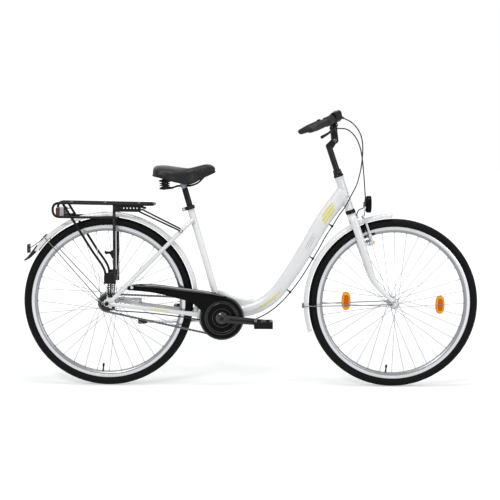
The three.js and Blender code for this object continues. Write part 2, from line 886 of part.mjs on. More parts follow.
// The main tube: shares of the way from the cranks to the head tube, along X and up Z.
const mainTubeShares = [
  [0, 0], [0.164, 0.041], [0.291, 0.078], [0.427, 0.167], [0.563, 0.341],
  [0.684, 0.527], [0.836, 0.783], [1, 1],
];
const mainTubeTop = onFork(0, 0, mainTubeJoint);
const mainTubeCurve = new THREE.CatmullRomCurve3(mainTubeShares.map(([along, up]) => at(
  crankCentre.x + along * (mainTubeTop.x - crankCentre.x), 0,
  crankCentre.z + up * (mainTubeTop.z - crankCentre.z),
)));

function mainTubeBody(shrink, startShare, endShare, sides) {
  const steps = 12;
  const points = Array.from({ length: steps + 1 }, (_, i) => mainTubeCurve.getPointAt(
    startShare + (endShare - startShare) * i / steps,
  ));
  return sweep(points, (share) => {
    const along = startShare + (endShare - startShare) * share;
    const height = mainTubeLowHalfHeight + (mainTubeTopHalfHeight - mainTubeLowHalfHeight) * along;
    return oval(mainTubeHalfWidth - shrink, height - shrink, sides);
  });
}

// The gusset between seat tube and main tube, in shares of its reach and height above the cranks.
const gussetShares = [
  [0.1, 0.1], [1.04, 0.36], [1, 0.64], [0.72, 0.65], [0.5, 0.69], [0.3, 0.76], [0.12, 0.87],
  [-0.02, 1], [-0.16, 1],
];

function cableGuide(routePoint) {
  const held = at(...routePoint);
  const samples = mainTubeCurve.getPoints(200);
  const nearest = samples.reduce((a, b) => (b.distanceTo(held) < a.distanceTo(held) ? b : a));
  const towards = held.clone().sub(nearest).normalize();
  return rod(nearest, held.clone().addScaledVector(towards, -cableRadius - fit), cableGuideRadius, 6);
}

function mainTube() {
  const gusset = plate(gussetShares.map(([along, up]) => [
    crankCentre.x + along * gussetReach, crankCentre.z + up * gussetHeight,
  ]), -gussetThickness / 2, gussetThickness / 2);
  const head = rod(onFork(0, 0, headTubeBottom), onFork(0, 0, headTubeTop), headTubeRadius, 14);
  const headBore = rod(
    onFork(0, 0, headTubeBottom - overrun), onFork(0, 0, headTubeTop + overrun),
      headTubeRadius - headTubeWall, 14,
  );
  const guides = guidedPoints.map((i) => cableGuide(shiftCableRoute[i]));
  const outside = join(mainTubeBody(0, 0, 1, 12), gusset, head, ...guides);
  return cut(outside, mainTubeBody(mainTubeWall, 0, hollowEndShare, 8), headBore, seatTubeOutside(fit));
}

addPart('main_tube', mainTube(), whitePaint, frameGroup);
addPart('seat_tube', seatTube(), whitePaint, frameGroup);

// Headset cups

function lowerCup() {
  const bore = steererRadius + 2 * fit;
  const spigot = headTubeRadius - headTubeWall - fit;
  const low = crownHeight + bladeHalfWidth + crownRaceHeight + fit;
  return turned([
    [bore, low], [lowerCupRadius, low], [lowerCupRadius, headTubeBottom - fit],
    [spigot, headTubeBottom - fit], [spigot, headTubeBottom + cupSpigotDepth],
    [bore, headTubeBottom + cupSpigotDepth],
  ], steeringFoot, steeringUp, 14);
}

function upperCup() {
  const bore = steererRadius + 2 * fit;
  const spigot = headTubeRadius - headTubeWall - fit;
  const seat = headTubeTop + fit;
  const shoulder = seat + upperCupHeight / 2;
  const top = seat + upperCupHeight;
  const nut = (upperCupRadius + steererRadius) / 2;
  return turned([
    [bore, seat - cupSpigotDepth], [spigot, seat - cupSpigotDepth], [spigot, seat],
    [upperCupRadius, seat], [upperCupRadius, shoulder], [nut, shoulder + fit], [nut, top],
    [quillRadius + fit, top], [quillRadius + fit, steererTop + fit], [bore, steererTop + fit],
  ], steeringFoot, steeringUp, 14);
}

addPart('headset_upper_cup', upperCup(), blackPaint, frameGroup);
addPart('headset_lower_cup', lowerCup(), blackPaint, frameGroup);

// Seat post, its clamp and the saddle

const seatBack = at(-seatUp.z, 0, seatUp.x);

function seatClamp() {
  const low = seatTubeLength - collarHeight + fit * 2;
  const high = seatTubeLength + fit * 2;
  const corner = (back, up) => {
    const p = onSeatTube(up).addScaledVector(seatBack, back);
    return [p.x, p.z];
  };
  const reach = collarRadius + collarEarLength;
  const outline = (start) => [corner(start, low), corner(reach, low), corner(reach, high),
    corner(start, high)];
  const gap = collarEarGap / 2;
  const ear = gap + collarEarThickness;
  const bolt = onSeatTube((low + high) / 2).addScaledVector(seatBack, collarRadius + collarEarLength / 2);
  const halfBolt = at(0, ear + collarBoltRadius, 0);
  const ring = cut(
    join(rod(onSeatTube(low), onSeatTube(high), collarRadius), plate(outline(seatTubeRadius), -ear, ear)),
    rod(onSeatTube(low - overrun), onSeatTube(seatTubeLength + fit), seatTubeRadius + fit),
    rod(onSeatTube(low), onSeatTube(high + overrun), postRadius + fit),
    plate(outline(0).map(([x, z], i) => [x, z + (i < 2 ? -overrun : overrun)]), -gap, gap),
  );
  return join(ring, rod(bolt.clone().sub(halfBolt), bolt.clone().add(halfBolt), collarBoltRadius,
    tubeSides));
}

function seatPost() {
  return turned([
    [postRadius - postWall, postBottom], [postRadius, postBottom], [postRadius, postTop],
    [postNeckRadius, postTop + fit], [postNeckRadius, postTop + postNeckLength],
    [postNeckRadius - postWall, postTop + postNeckLength],
  ], crankCentre, seatUp);
}

addPart('seat_clamp', seatClamp(), blackPaint, frameGroup);
addPart('seatpost', seatPost(), blackPaint, saddleGroup);

// Saddle cross-sections: share of its length, then shares of half width, top and edge height.
const saddleShares = [
  [0, 0.5, 0.72, 0.45], [0.03, 0.78, 0.87, 0.39], [0.1, 0.95, 0.93, 0.35], [0.22, 1, 0.92, 0.26],
  [0.34, 0.93, 0.87, 0.15], [0.46, 0.7, 0.82, 0.06], [0.56, 0.47, 0.81, 0], [0.66, 0.34, 0.87, 0.08],
  [0.76, 0.28, 0.95, 0.25], [0.85, 0.25, 1, 0.38], [0.93, 0.22, 0.96, 0.49], [0.98, 0.15, 0.85, 0.57],
  [1, 0.07, 0.72, 0.62],
];
const saddleEdge = saddleTop - saddleHeight;

function saddleSection(share) {
  const after = saddleShares.findIndex(([s]) => s >= share);
  const to = saddleShares[Math.max(after, 0)];
  const from = saddleShares[Math.max(after - 1, 0)];
  const blend = to[0] === from[0] ? 0 : (share - from[0]) / (to[0] - from[0]);
  const [half, top, edge] = [1, 2, 3].map((i) => from[i] + (to[i] - from[i]) * blend);
  return {
    x: saddleRear + share * saddleLength,
    half: half * saddleRearHalfWidth,
    top: saddleEdge + top * saddleHeight,
    edge: saddleEdge + edge * saddleHeight,
  };
}

function arch(half, base, height, count) {
  return Array.from({ length: count }, (_, i) => {
    const angle = Math.PI * (i / (count - 1) - 0.5);
    const across = Math.sign(Math.sin(angle)) * Math.abs(Math.sin(angle)) ** 0.8;
    return [half * across, base + height * Math.max(Math.cos(angle), 0) ** 0.62];
  });
}

function saddleCover() {
  const sections = saddleShares.map(([share]) => saddleSection(share));
  const outlines = sections.map(({ half, top, edge }) => {
    const skirt = Math.min(saddleSkirt, half * 0.4);
    const pad = Math.min(saddlePadding, (top - edge) * 0.5);
    return [...arch(half, edge, top - edge, 13), ...arch(half - skirt, edge, top - edge - pad,
      7).reverse()];
  });
  const rings = outlines.map((outline, i) => outline.map(([y, z]) => at(sections[i].x, y, z)));
  const shell = loft(rings, outlines[0], outlines[outlines.length - 1]);
  const springX = saddleRear + springAhead;
  const halfRear = railRearSpacing / 2 + springCoilRadius + railRadius;
  const base = block(
    at(springX - springCoilRadius - railRadius, -halfRear, springHead + fit),
    at(springX + springCoilRadius * 2, halfRear, springHead + fit + saddleBaseThickness),
  );
  const ceiling = saddleSection(springAhead / saddleLength).top - saddlePadding / 2;
  const posts = [-1, 1].map((side) => rod(
    at(springX, side * railRearSpacing / 4, springHead + fit * 2), at(springX,
      side * railRearSpacing / 4, ceiling),
    springCoilRadius / 2, tubeSides,
  ));
  return join(shell, base, ...posts);
}

function saddleRails() {
  const noseX = saddleRear + railNoseAhead;
  const springX = saddleRear + springAhead;
  const clampX = onSeatTube(postTop + postNeckLength).x;
  const under = clampAxisHeight - railRadius;
  const half = railSpacing / 2;
  const wire = (side) => pipe(rounded([
    at(noseX, side * half / 4, railNoseHeight), at(clampX + clampWidth, side * half,
      under + railRadius * 3),
    at(clampX + clampRadius * 2, side * half, under), at(clampX - clampRadius * 2, side * half, under),
    at(springX + springCoilRadius * 2, side * railRearSpacing / 3, railRearHeight),
    at(springX, side * railRearSpacing / 2, railRearHeight),
  ], clampRadius, 2), railRadius, 6);
  const foot = (side) => rod(
    at(springX, side * railRearSpacing / 2, railRearHeight - railRadius),
    at(springX, side * railRearSpacing / 2, springFoot - fit), springCoilRadius + springWireRadius, 10,
  );
  const noseShare = railNoseAhead / saddleLength;
  const nose = saddleSection(noseShare);
  const bracket = block(
    at(noseX - railRadius * 2, -half / 2, railNoseHeight - railRadius),
    at(noseX + railRadius, half / 2, railNoseHeight + railRadius / 2),
  );
  const stem = rod(
    at(noseX - railRadius, 0, railNoseHeight), at(noseX - railRadius, 0,
      nose.top - saddlePadding - railRadius),
    railRadius, 8,
  );
  return join(wire(-1), wire(1), foot(-1), foot(1), bracket, stem);
}

// A saddle spring: straight ends, and a helix between them.
function springPoints(x, y) {
  const lead = springWireRadius * 2;
  const steps = springTurns * springStepsPerTurn;
  const low = springFoot + lead;
  const high = springHead - lead;
  const turn = Array.from({ length: steps + 1 }, (_, i) => {
    const angle = 2 * Math.PI * i / springStepsPerTurn;
    return at(
      x + springCoilRadius * Math.cos(angle), y + springCoilRadius * Math.sin(angle),
      low + (high - low) * i / steps,
    );
  });
  const [first, last] = [turn[0], turn[steps]];
  return [at(first.x, first.y, springFoot), ...turn, at(last.x, last.y, springHead)];
}

function leastCoilGap(points) {
  let least = Infinity;
  for (let i = 0; i < points.length; i += 1) {
    for (let j = i + springStepsPerTurn / 2; j < points.length; j += 1) {
      least = Math.min(least, points[i].distanceTo(points[j]) - 2 * springWireRadius);
    }
  }
  return least;
}

function saddleClamp() {
  const centre = onSeatTube(postTop + postNeckLength);
  centre.z = clampAxisHeight;
  const half = at(0, clampWidth / 2, 0);
  const barrel = rod(centre.clone().sub(half), centre.clone().add(half), clampRadius, 16);
  const neck = [-clampSwing, 0, clampSwing].map((shift) => rod(
    onSeatTube(postTop - overrun).add(at(shift, 0, 0)),
    onSeatTube(postTop + postNeckLength + clampSwing).add(at(shift, 0, 0)), postNeckRadius + fit,
  ));
  const grooves = [-1, 1].map((side) => pipe([
    at(centre.x + clampWidth, side * railSpacing / 2, clampAxisHeight - railRadius),
    at(centre.x - clampWidth, side * railSpacing / 2, clampAxisHeight - railRadius),
  ], railRadius + fit, 6));
  return cut(barrel, ...neck, ...grooves);
}

addPart('saddle_cover', saddleCover(), vinyl, saddleGroup);
addPart('saddle_rails', saddleRails(), blackPaint, saddleGroup);
for (const side of ['right', 'left']) {
  const sign = side === 'right' ? -1 : 1;
  const points = springPoints(saddleRear + springAhead, sign * railRearSpacing / 2);
  console.log(`saddle_spring_${side}: least gap between turns ${leastCoilGap(points).toFixed(2)} mm`);
  addPart(`saddle_spring_${side}`, sweep(points, () => roundOutline(springWireRadius, 5)), steel,
    saddleGroup);
}
addPart('saddle_clamp', saddleClamp(), steel, saddleGroup);

// Fork, with its crown, steerer, fork ends and brake bosses

function bladePoints(side) {
  const middle = onFork(0, side * (crownHalfWidth + bladeSpread / 2), crownHeight / 2);
  const upper = rounded([
    onFork(0, -side * overrun, crownHeight), onFork(0, side * crownHalfWidth, crownHeight), middle,
  ], crownBend, 4);
  const lower = rounded([
    middle, onFork(-bladeBackset, side * (crownHalfWidth + bladeSpread), bladeCurveHeight),
    onFork(forkRake - bladeBackset, side * (frontForkSpacing / 2 + forkEndThickness / 2), forkEndRadius),
  ], bladeCurve, 4);
  return [...upper, ...lower.slice(1)];
}

function forkBlade(side) {
  return sweep(bladePoints(side), (share) => {
    const taper = Math.min(1, Math.max(0, share * 1.6 - 0.6));
    const depth = bladeHalfDepth + (bladeTipRadius - bladeHalfDepth) * taper;
    const width = bladeHalfWidth + (bladeTipRadius - bladeHalfWidth) * taper;
    return oval(depth, width, 10);
  }, steeringAhead);
}

function forkEnd(side) {
  const inner = frontForkSpacing / 2;
  const low = side < 0 ? -inner - forkEndThickness : inner;
  const high = low + forkEndThickness;
  return join(
    plate(arc(frontAxle, forkEndRadius, 0, 330, 11), low, high),
    plate(arc(frontWireEyelet, wireEyeletRadius, 0, 340, 9), low, high),
  );
}

function forkPiece() {
  const tip = steererTop;
  const race = crownHeight + bladeHalfWidth + crownRaceHeight;
  const raceRadius = lowerCupRadius - steererWall;
  const steerer = turned([
    [steererRadius - steererWall, crownHeight], [steererRadius, crownHeight],
    [steererRadius, crownHeight + bladeHalfWidth / 2], [raceRadius, crownHeight + bladeHalfWidth / 2],
    [raceRadius, race], [steererRadius, race], [steererRadius, tip], [steererRadius - steererWall, tip],
  ], steeringFoot, steeringUp, 14);
  const bosses = [-1, 1].map((side) => rod(
    onFork(0, side * bossSpacing / 2, bossHeight),
    onFork(brakeArmAhead + brakeArmDepth, side * bossSpacing / 2, bossHeight), bossRadius, 12,
  ));
  const through = at(0, frontForkSpacing, 0);
  const low = at(frontAxle.x - axleRadius - fit, -frontForkSpacing, tyreRadius - forkEndRadius - overrun);
  const high = at(frontAxle.x + axleRadius + fit, frontForkSpacing, tyreRadius);
  return cut(
    join(forkBlade(-1), forkBlade(1), forkEnd(-1), forkEnd(1), steerer, ...bosses),
    rod(frontAxle.clone().sub(through), frontAxle.clone().add(through), axleRadius + fit),
    block(low, high),
    rod(onFork(0, 0, crownHeight), onFork(0, 0, tip + overrun), steererRadius - steererWall, 14),
  );
}

addPart('fork', forkPiece(), whitePaint, forkGroup);

// Brake arms, each with its pad and collar on the boss

function brakeArm(side) {
  const foot = onFork(brakeArmAhead, side * bossSpacing / 2, bossHeight);
  const head = onFork(brakeArmAhead, side * (bossSpacing / 2 - brakeArmLean), brakeArmTop);
  const arm = sweep([foot, head], (share) => {
    const half = (brakeArmBreadth - share * brakeArmTaper) / 2;
    const deep = brakeArmDepth / 2;
    return [[-half, -deep], [half, -deep], [half, deep], [-half, deep]];
  });
  const collar = rod(
    onFork(bladeHalfDepth + bossGap, side * bossSpacing / 2, bossHeight),
    onFork(brakeArmAhead + brakeArmDepth / 2 + fit, side * bossSpacing / 2, bossHeight),
      brakeCollarRadius, 12,
  );
  const padFace = rimWidth / 2 + padGap;
  const corner = (forward, out, up) => onFork(brakeArmAhead + forward, side * out, padHeight + up);
  const half = padThickness / 2;
  const pad = sweep([corner(-padLength / 2, padFace + half, 0), corner(padLength / 2,
    padFace + half, 0)], () => [
    [-half, -padDepth / 2], [half, -padDepth / 2], [half, padDepth / 2], [-half, padDepth / 2],
  ]);
  const post = rod(corner(0, padFace + half, 0), corner(0, bossSpacing / 2, 0),
    bossRadius - overrun / 2, 8);
  const hole = rod(
    onFork(0, side * bossSpacing / 2, bossHeight),
    onFork(brakeArmAhead + brakeArmDepth * 2, side * bossSpacing / 2, bossHeight), bossRadius + fit, 12,
  );
  return cut(join(arm, collar, pad, post), hole);
}

addPart('brake_arm_right', brakeArm(-1), steel, forkGroup);
addPart('brake_arm_left', brakeArm(1), steel, forkGroup);

// Mudguards and their wire stays

function mudguard(axleCentre, start, end, steps) {
  const rise = mudguardRadius - mudguardEdge;
  const outer = mudguardOutlineShares.map(([up, out]) => [mudguardEdge + up * rise,
    out * mudguardHalfWidth]);
  const inner = mudguardOutlineShares.map(([up, out]) => [
    mudguardEdge + up * (rise - mudguardThickness), out * (mudguardHalfWidth - mudguardThickness),
  ]);
  const side = [...outer, ...outer.slice(0, -1).reverse().map(([r, y]) => [r, -y])];
  const back = [...inner, ...inner.slice(0, -1).reverse().map(([r, y]) => [r, -y])].reverse();
  const outline = [...side, ...back];
  const rings = Array.from({ length: steps + 1 }, (_, i) => {
    const angle = (start + (end - start) * i / steps) * degree;
    return outline.map(([r, y]) => axleCentre.clone().add(at(r * Math.cos(angle), y,
      r * Math.sin(angle))));
  });
  return loft(rings, outline);
}

function frontMudguard() {
  const top = Math.sqrt((mudguardRadius - mudguardThickness) ** 2 - forkRake ** 2);
  const bolt = rod(
    onFork(0, 0, top), onFork(0, 0, crownHeight - bladeHalfWidth - fit), bossRadius, tubeSides,
  );
  return join(mudguard(frontAxle, frontGuardStart, frontGuardEnd, 15), bolt);
}

function wireStay(axleCentre, eyelet, angle, endAcross) {
  const distance = mudguardRadius + fit + stayWireRadius;
  const outer = axleCentre.clone().add(at(
    distance * Math.cos(angle * degree), 0, distance * Math.sin(angle * degree),
  ));
  const across = mudguardHalfWidth + stayWireOut;
  return pipe(rounded([
    at(eyelet.x, -endAcross, eyelet.z), at(outer.x, -across, outer.z),
    at(outer.x, across, outer.z), at(eyelet.x, endAcross, eyelet.z),
  ], stayWireOut), stayWireRadius, 6);
}

addPart('front_mudguard', frontMudguard(), whitePaint, forkGroup);
addPart('rear_mudguard', mudguard(rearAxle, rearGuardStart, rearGuardEnd, 21), whitePaint, frameGroup);
addPart('front_mudguard_stay', wireStay(frontAxle, frontWireEyelet, frontStayAngle,
  frontForkSpacing / 2 + forkEndThickness + 3 * fit + stayWireRadius), steel, forkGroup);
addPart('rear_mudguard_stay', wireStay(rearAxle, rearWireEyelet, rearStayAngle,
  rearForkSpacing / 2 + dropoutThickness + 3 * fit + stayWireRadius), steel, frameGroup);

// A flat strip of even thickness that follows [x, z] points.
function strip(points, thickness) {
  const offset = (sign) => points.map(([x, z], i) => {
    const [x0, z0] = points[Math.max(i - 1, 0)];
    const [x1, z1] = points[Math.min(i + 1, points.length - 1)];
    const length = Math.hypot(x1 - x0, z1 - z0);
    return [x - sign * (z1 - z0) / length * thickness / 2, z + sign * (x1 - x0) / length * thickness / 2];
  });
  return [...offset(1), ...offset(-1).reverse()];
}

function onRearGuard(angle, out) {
  const distance = mudguardRadius + out;
  return [rearAxle.x + distance * Math.cos(angle * degree),
    tyreRadius + distance * Math.sin(angle * degree)];
}

function mudFlap() {
  const out = fit + flapThickness / 2;
  const points = [onRearGuard(flapStart, out), onRearGuard((flapStart + rearGuardEnd) / 2, out),
    onRearGuard(rearGuardEnd, out + fit), [flapTipX, flapTipZ]];
  return plate(strip(points, flapThickness), -flapHalfWidth, flapHalfWidth);
}

function rearReflector() {
  const face = reflectorRear + reflectorThickness;
  const middle = (reflectorBottom + reflectorTop) / 2;
  const lens = plate([
    [reflectorRear, reflectorBottom], [face, reflectorBottom], [face, reflectorTop],
    [reflectorRear, reflectorTop],
  ], -reflectorHalfWidth, reflectorHalfWidth);
  const out = reflectorBracketThickness / 2;
  const bracket = plate(strip([
    [face - fit, middle], onRearGuard(reflectorBracketAngle, out * 2),
    onRearGuard(reflectorBracketAngle - 3, out),
  ], reflectorBracketThickness), -reflectorHalfWidth / 2, reflectorHalfWidth / 2);
  return join(lens, bracket);
}

addPart('mud_flap', mudFlap(), blackRubber, frameGroup);
addPart('rear_reflector', rearReflector(), redLens, frameGroup);

// The rear stays and axle; the back-pedal brake's arm reaches forward above the left chain stay.

function rearAxlePiece() {
  const low = rearHubLeft + 2 * fit + reactionArmThickness;
  const arm = block(
    at(rearAxle.x, low, tyreRadius + reactionArmRise - reactionArmWidth / 2),
    at(rearAxle.x + reactionArmLength, low + reactionArmThickness,
      tyreRadius + reactionArmRise + reactionArmWidth / 2),
  );
  const outside = rearForkSpacing / 2 + dropoutThickness + axleNutLength;
  const cap = rod(
    rearAxle.clone().add(at(0, -outside, 0)), rearAxle.clone().add(at(0, -outside - gearCapLength, 0)),
    gearCapRadius,
  );
  const [, bend, end] = chainStayPoints(1);
  const clipX = rearAxle.x + reactionArmLength - reactionArmWidth / 2;
  const share = (clipX - bend.x) / (end.x - bend.x);
  const stay = bend.clone().lerp(end, share);
  const clip = block(
    at(clipX - reactionArmWidth / 2, low + fit, stay.z + chainStayRadius + clipSeat),
    at(clipX + reactionArmWidth / 2, stay.y + chainStayHalfWidth / 2, tyreRadius + reactionArmRise),
  );
  return join(axle(rearAxle, rearForkSpacing, dropoutThickness, rearHubRight, rearHubLeft), arm,
    cap, clip);
}

addPart('rear_stays_right', stays(-1), whitePaint, frameGroup);
addPart('rear_stays_left', stays(1), whitePaint, frameGroup);
addPart('rear_axle', rearAxlePiece(), steel, frameGroup);

// Drive: toothed wheels, chain, cranks and pedals

function pitchRadius(teeth) {
  return chainPitch / (2 * Math.sin(Math.PI / teeth));
}

function toothedPlate(centre, teeth, thickness) {
  const pitch = pitchRadius(teeth);
  const outline = Array.from({ length: teeth }, (_, i) => toothShares.map(([turn, out]) => {
    const angle = 2 * Math.PI * (i + turn) / teeth;
    const radius = pitch + (out > 0 ? toothHeight : -toothRoot);
    return [centre.x + radius * Math.cos(angle), centre.z + radius * Math.sin(angle)];
  })).flat();
  return plate(outline, -chainLine - thickness / 2, -chainLine + thickness / 2);
}

function acrossFrom(centre, y) {
  return at(centre.x, y, centre.z);
}

function sprocket() {
  const bore = locknutRadius + fit;
  const boss = rod(
    acrossFrom(rearAxle, -rearHubRight - fit), acrossFrom(rearAxle,
      -rearHubRight - fit - sprocketBossLength),
    sprocketBossRadius,
  );
  const through = rod(
    acrossFrom(rearAxle, -rearHubRight + overrun), acrossFrom(rearAxle, -rearForkSpacing / 2), bore,
  );
  return cut(join(toothedPlate(rearAxle, sprocketTeeth, chainringThickness), boss), through);
}

function chainring() {
  const hub = rod(acrossFrom(crankCentre, -chainLine + chainringThickness / 2),
    acrossFrom(crankCentre, -ringCoverAt), spiderRadius);
  const cover = rod(acrossFrom(crankCentre, -ringCoverAt + ringCoverThickness),
    acrossFrom(crankCentre, -ringCoverAt), ringCoverRadius, 24);
  const neck = rod(acrossFrom(crankCentre, -ringCoverAt + overrun),
    acrossFrom(crankCentre, -crankInner + fit), crankBossRadius - overrun);
  const bore = rod(acrossFrom(crankCentre, -crankInner - overrun), acrossFrom(crankCentre, 0),
    spindleRadius + fit);
  return cut(join(toothedPlate(crankCentre, chainringTeeth, chainringThickness), hub, cover, neck), bore);
}

// The chain is a channel that runs round both toothed wheels, clear of their teeth.
function chain() {
  const big = pitchRadius(chainringTeeth);
  const small = pitchRadius(sprocketTeeth);
  const between = rearAxle.clone().sub(crankCentre);
  const direction = Math.atan2(between.z, between.x) / degree;
  const lean = Math.acos((big - small) / between.length()) / degree;
  const run = (centre, radius, start, end, steps) => arc(centre, radius, start, end, steps)
    .map(([x, z]) => at(x, -chainLine, z));
  const path = [
    ...run(crankCentre, big, direction - lean, direction + lean - 360, 14),
    ...run(rearAxle, small, direction + lean, direction - lean, 10),
  ];
  const inside = chainHalfWidth - chainPlate;
  const under = chainHalfHeight - chainBridge;
  const section = [
    [-chainHalfWidth, -chainHalfHeight], [-inside, -chainHalfHeight], [-inside, under], [inside, under],
    [inside, -chainHalfHeight], [chainHalfWidth, -chainHalfHeight], [chainHalfWidth, chainHalfHeight],
    [-chainHalfWidth, chainHalfHeight],
  ];
  return sweep(path, () => section, sideways, true);
}

// The right crank points forward and dips a little; the left one points back.
function crankTip(side) {
  return at(
    crankCentre.x - side * crankLength * Math.cos(crankDip * degree), 0,
    crankCentre.z + side * crankLength * Math.sin(crankDip * degree),
  );
}

function crankArm(side) {
  const tip = crankTip(side);
  const low = side < 0 ? -crankInner - crankThickness : crankInner;
  const high = low + crankThickness;
  const lean = (side < 0 ? -crankDip : 180 - crankDip) + 90;
  const edge = (centre, radius, sign) => [
    centre.x + sign * radius * Math.cos(lean * degree),
      centre.z + sign * radius * Math.sin(lean * degree),
  ];
  const web = plate([
    edge(crankCentre, crankBossRadius - overrun, 1), edge(tip, crankTipRadius - overrun, 1),
    edge(tip, crankTipRadius - overrun, -1), edge(crankCentre, crankBossRadius - overrun, -1),
  ], low, high);
  const axleEnd = side * (crankInner + crankThickness + pedalGap + pedalWidth - pedalGap);
  return cut(
    join(
      web, plate(arc(crankCentre, crankBossRadius, 0, 330, 11), low, high),
      plate(arc(tip, crankTipRadius, 0, 330, 11), low, high),
      rod(acrossFrom(tip, side * (crankInner + crankThickness / 2)), acrossFrom(tip, axleEnd),
        pedalAxleRadius, 12),
    ),
    rod(acrossFrom(crankCentre, 0), acrossFrom(crankCentre, side * (spindleHalfLength + fit)),
      spindleRadius + fit),
  );
}

function pedal(side) {
  const tip = crankTip(side);
  const near = side * (crankInner + crankThickness + pedalGap);
  const far = near + side * pedalWidth;
  const [low, high] = [Math.min(near, far), Math.max(near, far)];
  const body = block(
    at(tip.x - pedalLength / 2, low, tip.z - pedalThickness / 2),
    at(tip.x + pedalLength / 2, high, tip.z + pedalThickness / 2),
  );
  const windows = [-1, 1].map((end) => {
    const inner = tip.x + end * (pedalBarrelRadius + fit);
    const outer = tip.x + end * (pedalLength / 2 - pedalRail);
    return block(
      at(Math.min(inner, outer), low + pedalRail / 2, tip.z - pedalThickness),
      at(Math.max(inner, outer), high - pedalRail / 2, tip.z + pedalThickness),
    );
  });
  return cut(body, ...windows, rod(acrossFrom(tip, 0), acrossFrom(tip, far + side * overrun),
    pedalAxleRadius + fit));
}

addPart('rear_sprocket', sprocket(), steel, rearWheelGroup);
addPart('chain', chain(), steel, frameGroup);
addPart('chainring', chainring(), blackPaint, crankGroup);
addPart('crank_spindle', rod(acrossFrom(crankCentre, -spindleHalfLength), acrossFrom(crankCentre,
  spindleHalfLength),
  spindleRadius), steel, crankGroup);
addPart('crank_arm_right', crankArm(-1), blackPaint, crankGroup);
addPart('crank_arm_left', crankArm(1), blackPaint, crankGroup);
addPart('pedal_right', pedal(-1), blackPlastic, crankGroup);
addPart('pedal_left', pedal(1), blackPlastic, crankGroup);

// Chain guard: a plate with a lip round its edge, in shares of its reach and height from the cranks

function guardPoint([along, up]) {
  return [crankCentre.x + along * guardLength, crankCentre.z + up * guardHeight];
}

function chainGuard() {
  const outline = [
    ...arc(crankCentre, guardDiscRadius, 78, -199, 20), ...guardLowerShares.map(guardPoint),
    ...guardUpperShares.map(guardPoint),
  ];
  const outer = -guardOuter;
  const face = plate(outline, outer, outer + guardPlate);
  const lip = cut(
    plate(outline, outer, outer + guardDepth),
    plate(inset(outline, guardLip), outer + guardPlate, outer + guardDepth + overrun),
  );
  const hole = plate(arc(crankCentre, guardHoleRadius, 0, 345, 23), outer - overrun,
    outer + guardPlate + overrun);
  const [boltX, boltZ] = guardPoint(guardTabShares);
  const bolt = rod(at(boltX, outer + fit, boltZ), at(boltX, outer - guardBoltHead, boltZ),
    guardBoltRadius, 12);
  const seatX = crankCentre.x + seatUp.x * guardBracketUp;
  const bracketZ = crankCentre.z + seatUp.z * guardBracketUp;
  const bracket = cut(block(
    at(seatX - guardBracketWidth / 2, outer + guardDepth - overrun, bracketZ),
    at(seatX + guardBracketWidth / 2, -seatTubeRadius / 2, bracketZ + guardBracketHeight),
  ), seatTubeOutside(fit));
  return join(cut(join(face, lip), hole, guardTab(fit), seatStay(-1, fit)), bolt, bracket);
}

addPart('chain_guard', chainGuard(), blackPlastic, frameGroup);

// Rear rack: one bent tube makes both side rails, with struts, diagonals and feet under it

function rackSide(side) {
  const y = side * rackHalfWidth;
  const p = ([x, z]) => at(x, y, z);
  const strut = rod(p([rackStrutX, rackTop]), p([rackStrutX, rackStrutBottom]), rackTubeRadius, 6);
  const diagonal = pipe(rackDiagonalShares.map(([along, up]) => at(
    rackLegX + along * (rackRear - rackLegX), y, rackStrutBottom + up * (rackTop - rackStrutBottom),
  )), rackTubeRadius, 6);
  const legLow = rearForkSpacing / 2 + dropoutThickness + fit;
  const [low, high] = side < 0 ? [-legLow - rackLegThickness, -legLow] : [legLow,
    legLow + rackLegThickness];
  const leg = block(
    at(rackLegX - rackLegWidth / 2, low, rackEyelet.z - eyeletRadius),
    at(rackLegX + rackLegWidth / 2, high, rackLegTop),
  );
  const head = block(
    at(rackLegX - rackHeadReach, Math.min(side * (rackHalfWidth - rackTubeRadius / 2), high),
      rackStrutBottom),
    at(rackStrutX, Math.max(side * (rackHalfWidth - rackTubeRadius / 2), high), rackLegTop),
  );
  const half = rackSidePlateThickness / 2;
  const sidePlate = block(
    at(rackStrutX, y - half, rackTop - rackSidePlateHeight - rackTubeRadius / 2),
    at(rackStrutX + rackSidePlateLength, y + half, rackTop),
  );
  return join(strut, diagonal, leg, head, sidePlate);
}

function rackStayPiece(front) {
  const [top, bend] = seatStayPoints(1);
  const meet = top.clone().lerp(bend, rackStayMeetShare);
  const across = meet.y + seatStayRadius + rackStayRadius + fit;
  const wide = rackHalfWidth + rackSidePlateThickness / 2 + rackStayRadius * 2 + fit;
  return pipe(rounded([
    at(meet.x, -across, meet.z), at(front.x, -wide, front.z), at(front.x, wide, front.z),
      at(meet.x, across, meet.z),
  ], rackStayRadius, 2), rackStayRadius, 8);
}

